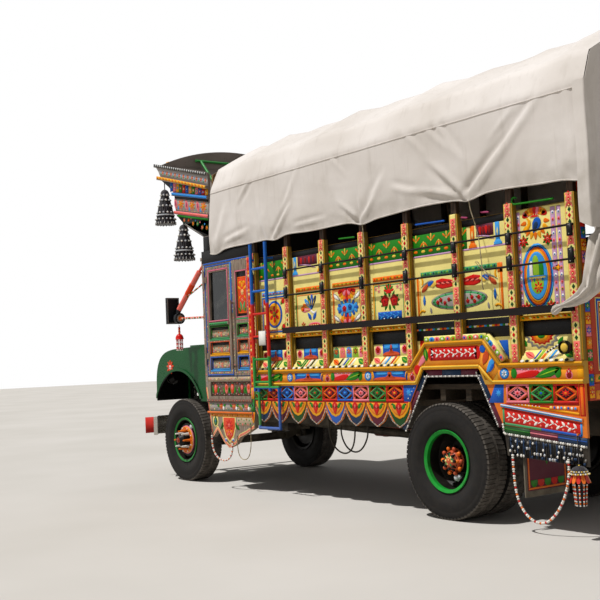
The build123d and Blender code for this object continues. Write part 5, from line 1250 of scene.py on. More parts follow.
def roof_place(x, share, side, wrinkle):
    """Y and Z of the roof of the cover, a share of the way from its seam to the ridge."""
    y, z = section_point(share)
    dip = float(np.interp(x, *zip(*ROOF_RISE))) * min(1.0, share * 3.0)
    rise = wrinkle * 0.55 * (fold(x, z + y, 5.0 * side) - 0.5) * min(1.0, 2.2 * (1 - share) + 0.3)
    normal = Vector((0.0, 0.55 + 0.4 * (y > 1.1), 0.85)).normalized()
    return y + normal.y * (dip + rise) * (share < 0.985), z + normal.z * (dip + rise)


def cover_rows(wrinkle):
    """Rows of points of the long sheet, from the left hem over the ridge to the right hem."""
    columns = [COVER_FRONT_X - k * COVER_LONG / COVER_COLUMNS for k in range(COVER_COLUMNS + 1)]
    steps = [(side_place, k / SIDE_ROWS) for k in range(SIDE_ROWS)]
    steps += [(roof_place, k / ROOF_ROWS) for k in range(ROOF_ROWS + 1)]
    halves = []
    for side in (1, -1):
        half = []
        for place_of, share in steps:
            line = []
            for x in columns:
                y, z = place_of(x, share, side, wrinkle)
                front = max(0.0, (x - 0.9) / 0.84) ** 3
                line.append((x - front_lean(z) * front, side * y, z))
            half.append(line)
        halves.append(half)
    left, right = halves
    return left + right[::-1][1:]


def flap_plan():
    """X and Y along the top of the rear flap, and whether the place is on the wrap round a corner."""
    corner = [(-3.655 - 0.093 * k / (CORNER_COLUMNS - 1), 1.286, True) for k in range(CORNER_COLUMNS)]
    for k in range(CORNER_TURNS):
        turn = math.radians(90 * (k + 1) / (CORNER_TURNS + 1))
        corner.append((-3.748 - 0.012 * math.sin(turn), FLAP_HALF + 0.012 * math.cos(turn), True))
    back = [(FLAP_X, FLAP_HALF * (1 - 2 * (k + 0.5) / FLAP_COLUMNS), False) for k in range(FLAP_COLUMNS)]
    return corner + back + [(x, -y, wrapped) for x, y, wrapped in corner[::-1]]


def flap_rows(wrinkle):
    """Rows of the rear flap, from the roof's edge down to its gathered hem, wrapped round both corners."""
    rows = []
    for step in range(FLAP_ROWS):
        share = step / (FLAP_ROWS - 1)
        line = []
        for x, y, wrapped in flap_plan():
            corner = min(1.0, max(0.0, (abs(y) - 0.50) / 0.65))
            top = SHOULDER_Z if wrapped else roof_height(y) - 0.002
            wrap = abs(x - FLAP_X) / 0.10 if wrapped else 0.0
            low = 2.05 + 0.03 * math.sin(3.1 * y + 0.6) + 0.35 * corner ** 2 + 0.05 * wrap
            z = top + (low - top) * share
            loose = min(1.0, max(0.0, (3.3 - z) / 0.8))
            wave = 0.9 * math.sin(13.0 * y + 2.0 * math.sin(2.1 * z)) + 0.5 * math.sin(29.0 * y + 1.7 * z)
            wave += 1.3 * noise.noise(Vector((2.4 * y, 1.0 * z, 7.0)))
            out = 0.011 * wave * loose + wrinkle * 0.5 * fold(y, z, 8.0)
            if wrap > 0.0:
                reach = abs(y) + 0.004 + 0.35 * abs(out)
                line.append((x - 0.004 * math.sin(9.0 * z), math.copysign(reach, y), z))
            else:
                line.append((x + 0.006 - 0.010 + min(0.03, max(-0.004, -out + 0.004)), y, z))
        rows.append(line)
    return rows


def gable_rows(wrinkle):
    """Rows of the front gable, from the roof's edge down to the top rails."""
    rows = []
    for step in range(GABLE_ROWS):
        share = step / (GABLE_ROWS - 1)
        line = []
        for number in range(GABLE_COLUMNS):
            y = GABLE_HALF * (1 - 2 * number / (GABLE_COLUMNS - 1))
            top = roof_height(y) - 0.004
            z = top + (GABLE_FOOT_Z - top) * share
            slack = math.sin(math.pi * min(1.0, share + 0.1))
            x = GABLE_X - front_lean(z) - wrinkle * 0.9 * (fold(y, z, 12.0) + 0.3) * slack
            line.append((x, -y, z))
        rows.append(line)
    return rows


def canvas_piece(piece, name, finish="canvas", smooth=60):
    """Names and finishes one piece of the cover."""
    return finish_piece(piece, name, "chassis", MATERIALS[finish], smooth)


class TRUCK_OT_canvas(bpy.types.Operator):
    """Canvas cover with its seam, rolled hem, front gable, rear flap and tie ropes"""
    bl_idname = "truck.canvas"
    bl_label = "Canvas cover"

    def execute(self, context):
        wrinkle = context.scene.truck_sizes.wrinkle
        rows = cover_rows(wrinkle)
        cover = canvas_piece(cloth_grid("canvas_cover", rows, CANVAS_THICK), "canvas_cover")
        for side, row in (("left", rows[0]), ("right", rows[-1])):
            name = f"canvas_hem_{side}"
            canvas_piece(tube_along(name, row[::3], 0.0075), name)
        for side, row in (("left", rows[SEAM_ROW]), ("right", rows[-SEAM_ROW - 1])):
            name = f"canvas_seam_{side}"
            line = [(x, y + math.copysign(0.0015, y), z) for x, y, z in row[::3]]
            canvas_piece(tube_along(name, line, 0.0042, 6), name)
        for side, side_name in SIDES:
            for number, line in enumerate(TIE_ROPES):
                name = f"canvas_tie_{side_name}_{number}"
                rope = tube_along(name, [(x, side * y, z) for x, y, z in line], 0.0045, 6)
                canvas_piece(rope, name, "rope_fibre", 50)
        # black cut-out on the canvas: painted shade seen through the tear
        tear = Painted("canvas_tear", "chassis", "canvas")
        face = side_face(tear, 1, 1.2655)
        face.put("leaf", 0.160, 3.140, 0.034, 0.036, "black", 0.15)
        tear.make()
        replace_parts(cover, "cover")
        flap = cloth_grid("canvas_rear_flap", flap_rows(wrinkle), CANVAS_THICK)
        canvas_piece(flap, "canvas_rear_flap")
        for side, side_name in SIDES:
            name = f"canvas_tail_{side_name}"
            line = [(x, side * y, z) for x, y, z, _ in TAIL]
            canvas_piece(tube_along(name, line, tuple(r for *_, r in TAIL), 48, 0.26), name)
        gable = cloth_grid("canvas_front_gable", gable_rows(wrinkle), CANVAS_THICK)
        canvas_piece(gable, "canvas_front_gable")
        return {"FINISHED"}


# Tyres

LUGS = 74
FRONT_TYRE_Y = 0.920
REAR_TYRES_Y = (1.070, 0.780)


def model_carcass():
    """Tyre body turned about the Y axis: beads, ribbed side walls and a crowned tread base."""
    wall = [(0.092, 0.262), (0.098, 0.276), (0.108, 0.300), (0.112, 0.305), (0.1175, 0.345), (0.1215, 0.350),
            (0.125, 0.392), (0.1245, 0.440), (0.1225, 0.446), (0.1225, 0.452), (0.1235, 0.457),
            (0.120, 0.486), (0.112, 0.502), (0.100, 0.5075), (0.055, 0.5095)]
    profile = wall + [(0.0, 0.510)] + [(-y, r) for y, r in wall[::-1]]
    deselect()
    bpy.ops.mesh.primitive_circle_add(vertices=len(profile), radius=1.0)
    tyre = bpy.context.object
    for vertex, (y, r) in zip(tyre.data.vertices, profile):
        vertex.co = (0.0, y, r)
    bpy.ops.object.mode_set(mode="EDIT")
    bpy.ops.mesh.select_all(action="SELECT")
    bpy.ops.mesh.spin(steps=80, angle=2 * math.pi, center=(0.0, 0.0, 0.0), axis=(0.0, 1.0, 0.0))
    bpy.ops.mesh.select_all(action="SELECT")
    bpy.ops.mesh.remove_doubles(threshold=0.0002)
    bpy.ops.mesh.normals_make_consistent(inside=False)
    bpy.ops.object.mode_set(mode="OBJECT")
    return take_shape(tyre)


def model_lug():
    """One tread lug at the top of the tyre, from near the middle out over the shoulder."""
    highest = 0.5148
    deselect()
    bpy.ops.mesh.primitive_cube_add(size=1.0, location=(0.0, 0.064, 0.508))
    lug = bpy.context.object
    lug.scale = (0.0335, 0.096, 0.0136)
    settle(lug)
    bpy.ops.object.mode_set(mode="EDIT")
    pick_faces(lug, lambda centre, normal: normal.y > 0.9)
    bpy.ops.mesh.extrude_region_move(TRANSFORM_OT_translate={"value": (0.0, 0.0085, -0.012)})
    bpy.ops.transform.resize(value=(0.95, 1.0, 1.0))
    pick_faces(lug, lambda centre, normal: normal.z > 0.9)
    bpy.ops.mesh.inset(thickness=0.004)
    bpy.ops.transform.translate(value=(0.0, 0.0, -0.0008))
    bpy.ops.object.mode_set(mode="OBJECT")
    for vertex in lug.data.vertices:
        vertex.co.x += 0.20 * max(0.0, 0.06 - vertex.co.y)
        over = math.hypot(vertex.co.x, vertex.co.z) - highest
        if over > 0:
            vertex.co.z -= over
    return take_shape(lug)


def turned_about_axle(angle, mirror_side=1):
    """Array that turns about the Y axis, after a flip across the tyre's middle if asked."""
    c, s = math.cos(angle), math.sin(angle)
    return np.array(((c, 0.0, s), (0.0, 1.0, 0.0), (-s, 0.0, c))) @ np.diag([1.0, mirror_side, 1.0])


class TRUCK_OT_tyres(bpy.types.Operator):
    """Six tyres with lugged treads and ribbed side walls"""
    bl_idname = "truck.tyres"
    bl_label = "Tyres"

    def execute(self, context):
        carcass, lug = model_carcass(), model_lug()
        rear, rear_right = REAR_TYRES_Y, tuple(-y for y in REAR_TYRES_Y)
        places = (("front_left_tyre", "front_left_wheel", FRONT_AXLE_X, (FRONT_TYRE_Y,)),
                  ("front_right_tyre", "front_right_wheel", FRONT_AXLE_X, (-FRONT_TYRE_Y,)),
                  ("rear_left_tyres", "rear_left_wheel", REAR_AXLE_X, rear),
                  ("rear_right_tyres", "rear_right_wheel", REAR_AXLE_X, rear_right))
        for node, body, x, middles in places:
            tyres = Painted(node + "_lugged", body, "tyre_rubber", "tyre_rubber")
            for y in middles:
                tyres.add(carcass, np.eye(3), (x, y, AXLE_Z), "black")
                for number in range(LUGS):
                    for side in (1, -1):
                        turn = 2 * math.pi * (number + 0.25 * (1 - side)) / LUGS
                        tyres.add(lug, turned_about_axle(turn, side), (x, y, AXLE_Z), "black")
            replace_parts(tyres.make(35), node)
        return {"FINISHED"}


# Tassels

STRANDS = 44
SMALL_BEAD = 0.0072


def model_skirt():
    """Bundle of threads, one unit long and one wide at its foot, its edge combed into strands."""
    deselect()
    bpy.ops.mesh.primitive_cone_add(vertices=STRANDS, radius1=1.0, radius2=0.30, depth=1.0,
                                    location=(0.0, 0.0, -0.5), end_fill_type="NGON")
    skirt = bpy.context.object
    settle(skirt)
    bpy.ops.object.mode_set(mode="EDIT")
    for height, swell in ((-0.12, 1.10), (-0.45, 1.06), (-0.8, 0.97)):
        bpy.ops.mesh.select_all(action="SELECT")
        bpy.ops.mesh.bisect(plane_co=(0.0, 0.0, height), plane_no=(0.0, 0.0, 1.0))
        bpy.ops.transform.resize(value=(swell, swell, 1.0))
    bpy.ops.object.mode_set(mode="OBJECT")
    for vertex in skirt.data.vertices:
        reach = math.hypot(vertex.co.x, vertex.co.y)
        strand = round(math.atan2(vertex.co.y, vertex.co.x) / (2 * math.pi) * STRANDS) % 2
        if strand and reach > 0.2:
            share = min(1.0, -vertex.co.z + 0.25)
            vertex.co.x *= 1 - 0.12 * share
            vertex.co.y *= 1 - 0.12 * share
            if vertex.co.z < -0.99:
                vertex.co.z += 0.03
    return take_shape(skirt)


def model_cap():
    """Domed cap with a rolled rim, one unit in radius and high."""
    deselect()
    bpy.ops.mesh.primitive_uv_sphere_add(segments=20, ring_count=10, radius=1.0)
    cap = bpy.context.object
    bpy.ops.object.mode_set(mode="EDIT")
    bpy.ops.mesh.select_all(action="SELECT")
    bpy.ops.mesh.bisect(plane_co=(0.0, 0.0, 0.0), plane_no=(0.0, 0.0, 1.0), clear_inner=True, use_fill=True)
    pick_faces(cap, lambda centre, normal: normal.z < -0.9)
    bpy.ops.mesh.extrude_region_move(TRANSFORM_OT_translate={"value": (0.0, 0.0, -0.14)})
    bpy.ops.transform.resize(value=(1.12, 1.12, 1.0))
    bpy.ops.object.mode_set(mode="OBJECT")
    return take_shape(cap)


def around(place, radius, turn, z):
    """Point at a turn round an upright line."""
    return place[0] + radius * math.cos(turn), place[1] + radius * math.sin(turn), z


def bead_ring(piece, place, z, radius, bead, count, paint, alternate):
    """Beads of two paints round an upright line."""
    for number in range(count):
        turn = 2 * math.pi * number / count
        now = (paint, alternate)[number % 2]
        piece.add(SHAPES["bead"], np.eye(3) * bead, around(place, radius, turn, z), now)


def crown_tassel(thread, trim, place, top, seat):
    """Tassel on a thin rod from its seat, with rings of silver beads and short strings at its foot."""
    half_rod = (seat - top) / 2
    thread.add(SHAPES["skirt"], np.diag([0.134, 0.134, 0.40]), (*place, top - 0.055), "black")
    thread.add(SHAPES["cap"], np.diag([0.056, 0.056, 0.062]), (*place, top - 0.062), "black")
    thread.add(SHAPES["post_rod"], np.diag([0.006, 0.006, half_rod]), (*place, top + half_rod), "black")
    for drop, count in ((0.075, 8), (0.14, 9), (0.215, 11), (0.30, 13), (0.385, 16)):
        share = (drop - 0.055) / 0.40
        radius = 0.134 * (0.30 + 0.70 * share) * 1.045 + 0.004
        bead = 0.0150 - 0.010 * (drop - 0.075)
        bead_ring(trim, place, top - drop, radius, bead, count, "white", "steel")
    trim.add(SHAPES["ring"], np.diag([0.115, 0.115, 0.018]), (*place, top - 0.335), "steel")
    for number in range(18):
        turn = 2 * math.pi * (number + random.random() * 0.4) / 18
        for step, paint in enumerate(("steel", "white", "grey")):
            where = around(place, 0.128, turn, top - 0.425 - 0.012 * step)
            trim.add(SHAPES["bead"], np.eye(3) * SMALL_BEAD, where, paint)


def corner_tassel(thread, trim, place):
    """Capped tassel under a rear corner, with a collar of petals and strings of beads."""
    thread.add(SHAPES["post_rod"], np.diag([0.005, 0.005, 0.122]), (*place, 0.678), "black")
    thread.add(SHAPES["cap"], np.diag([0.066, 0.066, 0.050]), (*place, 0.520), "black")
    thread.add(SHAPES["skirt"], np.diag([0.046, 0.046, 0.18]), (*place, 0.440), "black")
    flat = np.array(((0.0, 0.0, 1.0), (1.0, 0.0, 0.0), (0.0, 1.0, 0.0)))
    petal = np.diag([0.020, 0.046, 0.010])
    for number in range(12):
        turn = 2 * math.pi * number / 12
        lean = np.array(Matrix.Rotation(turn, 3, "Z") @ Matrix.Rotation(math.radians(158), 3, "Y"))
        where = around(place, 0.066, turn, 0.482)
        trim.add(SHAPES["petal"], lean @ flat @ petal, where, ("red", "orange")[number % 2])
    for z, radius, count in ((0.572, 0.0, 1), (0.572 - 0.045, 0.060, 20), (0.572 - 0.062, 0.074, 24)):
        bead_ring(trim, place, z, radius, 0.008, count, "gold", "white")
    for number in range(9):
        turn = 2 * math.pi * number / 9
        for step in range(11):
            where = around(place, 0.052 - 0.0012 * step, turn, 0.425 - 0.0155 * step)
            paint = ("white", "orange", "white", "red")[step % 4]
            trim.add(SHAPES["bead"], np.eye(3) * SMALL_BEAD, where, paint)


class TRUCK_OT_tassels(bpy.types.Operator):
    """Black thread tassels with silver beads at the crown, and capped ones under the rear corners"""
    bl_idname = "truck.tassels"
    bl_label = "Tassels"

    def execute(self, context):
        SHAPES["skirt"] = model_skirt()
        SHAPES["cap"] = model_cap()
        thread = Painted("tassel_bundles", "chassis", "tassel_thread", "tassel_thread")
        trim = Painted("tassel_beads", "chassis", "tassel_thread", "bright_ornament")
        random.seed(11)
        for side in (1, -1):
            crown_tassel(thread, trim, (2.815, side * 1.230), 3.700, 3.808)
            crown_tassel(thread, trim, (2.495, side * 1.160), 3.215, 3.290)
            corner_tassel(thread, trim, (-3.475, side * 1.240))
        trim.make(40)
        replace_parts(thread.make(50), "tassels")
        return {"FINISHED"}

# Seat

def cushion(name, low, high, crown, channels, axis):
    """Padded block with sewn channels across it, crowned between its seams."""
    deselect()
    bpy.ops.mesh.primitive_cube_add(size=1.0)
    pad = bpy.context.object
    bpy.ops.object.mode_set(mode="EDIT")
    bpy.ops.mesh.select_all(action="SELECT")
    bpy.ops.mesh.subdivide(number_cuts=3)
    bpy.ops.mesh.subdivide(number_cuts=7)
    bpy.ops.object.mode_set(mode="OBJECT")
    size = [b - a for a, b in zip(low, high)]
    for vertex in pad.data.vertices:
        u = [2 * part for part in vertex.co]
        swell = [1 - 0.5 * crown * (1 - abs(u[(k + 1) % 3]) ** 3) - 0.06 for k in range(3)]
        near = [max(0.0, abs(part) - 0.82) / 0.18 for part in u]
        round_off = [1 - 0.10 * near[(k + 1) % 3] ** 2 - 0.10 * near[(k + 2) % 3] ** 2 for k in range(3)]
        seam = abs(math.sin(math.pi * channels * (u[1] + 1) / 2))
        dent = 0.05 * (1 - min(1.0, seam * 3.0))
        place = []
        for k in range(3):
            reach = u[k] * round_off[k] * (1 - (dent if k == axis else 0.0))
            puff = 1.0 - 0.08 * swell[k] * 0.2 if k == axis else 1.0
            place.append((low[k] + high[k]) / 2 + reach * size[k] / 2 * puff)
        vertex.co = place
    activate(pad)
    bpy.ops.object.modifier_add(type="SUBSURF")
    pad.modifiers[-1].levels = 1
    pad.modifiers[-1].render_levels = 1
    bpy.ops.object.modifier_apply(modifier=pad.modifiers[-1].name)
    finish_piece(pad, name, "chassis", MATERIALS["seat_cover"], 60)
    return pad


class TRUCK_OT_seat(bpy.types.Operator):
    """Bench cushion and back with sewn channels, on a boarded base"""
    bl_idname = "truck.seat"
    bl_label = "Seat"

    def execute(self, context):
        half, boards = 1.120, 6
        bench = cushion("seat_cushion", (1.000, -half, 1.510), (1.525, half, 1.638), 0.2, 9, 2)
        cushion("seat_back", (0.996, -half, 1.640), (1.104, half, 2.148), 0.2, 9, 0)
        deselect()
        bpy.ops.mesh.primitive_cube_add(size=1.0, location=(1.255, 0.0, 1.375))
        base = bpy.context.object
        base.scale = (0.478, 2 * half, 0.268)
        settle(base)
        bpy.ops.object.mode_set(mode="EDIT")
        for cut in range(1, boards):
            bpy.ops.mesh.select_all(action="SELECT")
            seam = -half + cut * 2 * half / boards
            bpy.ops.mesh.bisect(plane_co=(0.0, seam, 0.0), plane_no=(0.0, 1.0, 0.0))
        pick_faces(base, lambda centre, normal: normal.x > 0.9)
        bpy.ops.mesh.inset(thickness=0.030, use_individual=True)
        bpy.ops.transform.translate(value=(-0.014, 0.0, 0.0))
        bpy.ops.object.mode_set(mode="OBJECT")
        finish_piece(base, "seat_base", "chassis", MATERIALS["dash_paint"])
        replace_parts(bench, "seat")
        return {"FINISHED"}


# Painted sides of the cargo body

PICTURE_LOW, PICTURE_HIGH = 1.772, 2.168
LABEL_LOW, LABEL_HIGH = 2.180, 2.224
HEAD_LOW, HEAD_HIGH = 2.366, 2.556
NICHE_LOW, NICHE_HIGH = 1.468, 1.580
BAY_HALF = 0.270
BAY_LOW, BAY_HIGH, RAIL_LOW = 1.375, 2.618, 2.350


def side_face(piece, side, y=PANEL_Y):
    """Upright face of one side of the truck, measured in X and Z."""
    return Face(piece, (0.0, side * y, 0.0), (1, 0, 0), (0, 0, 1), (0, side, 0))


def front_face(piece, x):
    """Upright face that looks forwards, measured in Y and Z."""
    return Face(piece, (x, 0.0, 0.0), (0, 1, 0), (0, 0, 1), (1, 0, 0))


def rear_face(piece, x, y=0.0, z=0.0):
    """Upright face that looks back, measured in -Y and Z."""
    return Face(piece, (x, y, z), (0, -1, 0), (0, 0, 1), (-1, 0, 0))


def bay_ground(face, mid, label, label_paints, frames):
    """Cream ground of a bay with a black top that paints the shade under the cover's hem, label strip and
    nested frames.
    """
    face.board(mid - BAY_HALF, BAY_LOW, mid + BAY_HALF, HEAD_HIGH, "cream")
    # black band above the head panel: painted shade of the cover's overhang
    face.board(mid - BAY_HALF, HEAD_HIGH, mid + BAY_HALF, BAY_HIGH, "black")
    face.board(mid - BAY_HALF, RAIL_LOW, mid + BAY_HALF, HEAD_LOW, "lilac", 2)
    face.board(mid - 0.225, LABEL_LOW, mid + 0.225, LABEL_HIGH, label, 2)
    face.row("diamond", (mid - 0.21, 2.202), (mid + 0.21, 2.202), 13, 0.012, 0.013, label_paints, 3)
    inset = 0.0
    for paint, wide in frames:
        face.border(mid - 0.228 + inset, PICTURE_LOW + inset, mid + 0.228 - inset, PICTURE_HIGH - inset, wide,
                    paint, 2)
        inset += wide + 0.006
    face.row("disc", (mid + 0.245, PICTURE_LOW), (mid + 0.245, PICTURE_HIGH), 11, 0.005, 0.006,
             ("green", "yellow", "red"), 2)
    face.row("disc", (mid - 0.245, PICTURE_LOW), (mid - 0.245, PICTURE_HIGH), 11, 0.005, 0.006,
             ("orange", "lime"), 2)


def scroll_head(face, u0, u1):
    """Green head panel with gilt scrolls."""
    face.board(u0, HEAD_LOW, u1, HEAD_HIGH, "green", 2)
    count = max(2, round((u1 - u0) / 0.105))
    for k in range(count):
        u = u0 + (u1 - u0) * (k + 0.5) / count
        for turn in (-0.85, 0.0, 0.85):
            v = 2.490 + 0.040 * math.cos(turn) * (1, -1)[k % 2]
            face.put("petal", u + 0.036 * math.sin(turn), v, 0.012, 0.030, ("orange", "gold")[turn == 0.0],
                     -turn * (1, -1)[k % 2], 3)
        face.put("disc", u, 2.490 + 0.006 * (-1) ** k, 0.010, 0.010, "gold", 0.0, 4)
        face.put("oval", u + 0.010, 2.402, 0.026, 0.013, ("orange", "gold")[k % 2], 0.0, 3)


def vase_head(face, u0, u1, left, right):
    """Maroon head panel between two vases: painted shade of the dark opening under the cover, with ornament
    on it.
    """
    # maroon board: painted shade where the opening under the cover is dark
    face.board(u0 + 0.10, 2.452, u1 - 0.10, HEAD_HIGH, "maroon", 2)
    face.row("petal", (u0 + 0.13, 2.505), (u1 - 0.13, 2.505), 4, 0.022, 0.036, ("deep_red", "red"), 3, 0.0)
    face.put("crescent", (u0 + u1) / 2, 2.440, (u1 - u0) * 0.28, 0.020, "lilac", 0.1, 3)
    for u, paint in ((u0 + 0.055, left), (u1 - 0.055, right)):
        face.board(u - 0.024, 2.395, u + 0.024, HEAD_HIGH, paint, 3)
        face.put("half_sun", u, 2.390, 0.052, 0.024, paint, 0.0, 4)
        face.put("diamond", u, 2.475, 0.010, 0.040, "cream", 0.0, 4)


def bay_sun(face, mid):
    """Bay with a sun of petals in a ring."""
    face.medallion(mid, 1.972, 0.15, 0.150, "blue", "yellow", "red", "green", 2)
    for v in (1.835, 2.108):
        face.pair("rose", mid, 0.168, v, 0.032, 0.032, "red", 0.0, 3)
        face.pair("leaf", mid, 0.160, v, 0.055, 0.050, "green", 0.7, 2)
    scroll_head(face, mid - BAY_HALF, mid + BAY_HALF)


def bay_plume(face, mid):
    """Bay with a fan of long plumes over a pink cartouche."""
    for k, paint in enumerate(("navy", "blue", "dark_green", "sky", "orange", "pink")):
        turn = math.radians(118 - 24 * k)
        heart = (mid - 0.045 + 0.085 * math.cos(turn), 1.985 + 0.080 * math.sin(turn))
        face.put("petal", *heart, 0.028, 0.080, paint, turn - math.pi / 2, 2 + k % 2)
        face.put("drop", heart[0], heart[1], 0.009, 0.036, "gold", turn + math.pi / 2, 4)
    face.put("crescent", mid - 0.075, 1.975, 0.052, 0.044, "white", 2.7, 3)
    face.put("disc", mid + 0.110, 2.000, 0.030, 0.028, "orange", 0.0, 4)
    face.put("disc", mid + 0.094, 1.990, 0.016, 0.016, "red", 0.0, 5)
    face.pair("leaf", mid - 0.05, 0.044, 1.915, 0.050, 0.048, "blue", 0.9, 3)
    face.put("oval", mid - 0.085, 1.822, 0.105, 0.030, "pink", 0.0, 2)
    face.put("oval", mid - 0.085, 1.822, 0.088, 0.018, "red", 0.0, 3)
    face.row("diamond", (mid - 0.16, 1.822), (mid - 0.01, 1.822), 4, 0.014, 0.009, ("cream",), 4)
    face.flower(mid + 0.105, 1.825, 0.038, "red", "lime", 3, 6)
    vase_head(face, mid - BAY_HALF, mid + BAY_HALF, "yellow", "sky")


def bay_ring(face, mid):
    """Bay with palmettes above and below a blue ring of petals, between grey wings."""
    for way, v in ((-1, 2.150), (1, 1.788)):
        face.palmette(mid, v, 0.175, 0.095, ("red", "orange", "yellow", "orange"), way, 2, 9)
        face.palmette(mid, v, 0.090, 0.058, ("red", "pink"), way, 4, 5)
        for side in (-1, 1):
            face.put("wing", mid + side * 0.155, v + way * 0.072, 0.056 * side, 0.052, "grey", 0.0, 3)
            face.put("wing", mid + side * 0.163, v + way * 0.072, 0.040 * side, 0.036, "white", 0.0, 4)
    for k in range(14):
        turn = 2 * math.pi * k / 14
        face.put("petal", mid - 0.01 + 0.132 * math.cos(turn), 1.962 + 0.056 * math.sin(turn), 0.024, 0.036,
                 ("sky", "blue")[k % 2], turn - math.pi / 2, 4)
    face.put("oval", mid - 0.01, 1.962, 0.112, 0.050, "sky", 0.0, 5)
    face.rose(mid - 0.050, 1.968, 0.034, "blue", "navy", 6)
    face.rose(mid + 0.038, 1.956, 0.036, "red", "deep_red", 6)
    scroll_head(face, mid - BAY_HALF, mid + BAY_HALF)


def bay_roses(face, mid):
    """Bay with two roses in leaves over a blue cartouche, and blossoms in the corners."""
    face.palmette(mid, 2.075, 0.075, 0.062, ("red", "green", "red", "green"), 1, 2, 7)
    face.put("half_sun", mid, 2.082, 0.042, 0.022, "red", 0.0, 4)
    for side in (-1, 1):
        for k in range(3):
            turn = 2 * math.pi * k / 3
            face.flower(mid + side * 0.155 + 0.030 * math.cos(turn), 2.112 + 0.026 * math.sin(turn), 0.022,
                        "pink", "salmon", 2, 5)
        face.rose(mid - 0.008 + side * 0.066, 1.990, 0.060, "red", "deep_red", 4)
    for k in range(12):
        turn = 2 * math.pi * k / 12
        face.leaf(mid - 0.008 + 0.072 * math.cos(turn), 1.990 + 0.030 * math.sin(turn), 0.078, turn, "green",
                  "dark_green", 2)
    face.board(mid - 0.172, 1.806, mid + 0.165, 1.888, "blue", 3)
    face.pair("scallop", mid, 0.150, 1.796, 0.030, 0.018, "blue", 0.0, 3)
    face.vine((mid - 0.150, 1.848), (mid + 0.145, 1.848), 6, "sky", "white", 4)
    scroll_head(face, mid - BAY_HALF, mid + BAY_HALF)


def long_panel(face):
    """Double bay: a red garland with blue and brown tips over a long shell of roses."""
    mid, shell_z = -2.215, 1.932
    for number in (1, 2):
        bay = bay_mid(number)
        face.board(bay - BAY_HALF, 1.400, bay + BAY_HALF, HEAD_HIGH, "cream")
        # black band above the head panels: painted shade of the cover's overhang
        face.board(bay - BAY_HALF, HEAD_HIGH, bay + BAY_HALF, BAY_HIGH, "black")
        face.board(bay - BAY_HALF, RAIL_LOW, bay + BAY_HALF, HEAD_LOW, "lilac", 2)
    face.board(-2.680, 2.174, -1.748, 2.212, "mint", 2)
    face.row("diamond", (-2.67, 2.193), (-1.76, 2.193), 26, 0.012, 0.013, ("navy", "lime", "green"), 3)
    face.board(-2.742, 2.130, -2.684, 2.212, "orange", 2)
    for way in (-1, 1):
        face.board(mid + way * 0.495, 1.800, mid + way * 0.522, 2.160, "orange", 2)
        face.board(mid + way * 0.478, 1.825, mid + way * 0.486, 2.140, "yellow", 2)
        for v, turn in ((1.842, -0.8), (2.128, 0.8)):
            face.put("crescent", mid + way * 0.462, v, 0.044 * way, 0.036, "yellow", turn * way, 3)
        face.put("petal", mid + way * 0.135, 2.088, 0.058, 0.150, "red", -way * 1.52, 3)
        for k in range(4):
            u = mid + way * (0.035 + 0.060 * k)
            face.put("crescent", u, 2.086, 0.030 * way, 0.036, "deep_red", -way * 0.9, 4)
            face.put("drop", u + way * 0.02, 2.092, 0.010, 0.026, "salmon", -way * 1.35, 5)
        face.put("petal", mid + way * 0.300, 2.094, 0.034, 0.040, "gold", -way * 1.7, 5)
        face.put("petal", mid + way * 0.335, 2.104, 0.026, 0.040, "blue", -way * 1.9, 6)
        face.put("drop", mid + way * 0.405, 2.070, 0.030, 0.062, "salmon_brown", -way * 2.2, 5)
        face.put("crescent", mid + way * 0.385, 2.098, 0.090 * way, 0.026, "grey", -way * 0.45, 3)
        face.put("leaf", mid + way * 0.430, 1.955, 0.052, 0.036, "blue", math.pi / 2, 3)
        face.put("leaf", mid + way * 0.430, 1.960, 0.026, 0.012, "sky", math.pi / 2, 4)
        face.put("leaf", mid + way * 0.350, 1.860, 0.034, 0.030, "grey", 1.35, 2)
    for reach, tall, paint, level in ((0.345, 0.084, "grey", 2), (0.325, 0.072, "mint", 3),
                                      (0.285, 0.055, "grey_wood", 4)):
        face.put("oval", mid, shell_z, reach, tall, paint, 0.0, level)
    for k in range(18):
        turn = 2 * math.pi * k / 18
        face.put("drop", mid + 0.305 * math.cos(turn), shell_z + 0.064 * math.sin(turn), 0.008, 0.013,
                 "green", turn - 1.57, 4)
    for du, dv in ((-0.245, 0.008), (-0.165, 0.012), (-0.195, -0.025), (-0.115, -0.018), (0.115, 0.012),
                   (0.165, -0.016), (0.215, 0.014), (0.255, -0.006)):
        face.leaf(mid + du, shell_z + dv, 0.044, 2.4 + du * 9, "green", "dark_green", 5)
        face.rose(mid + du, shell_z + dv, 0.022, "red", "deep_red", 6)
    scroll_head(face, -2.350, -1.662)
    vase_head(face, -2.762, -2.362, "sky", "orange")


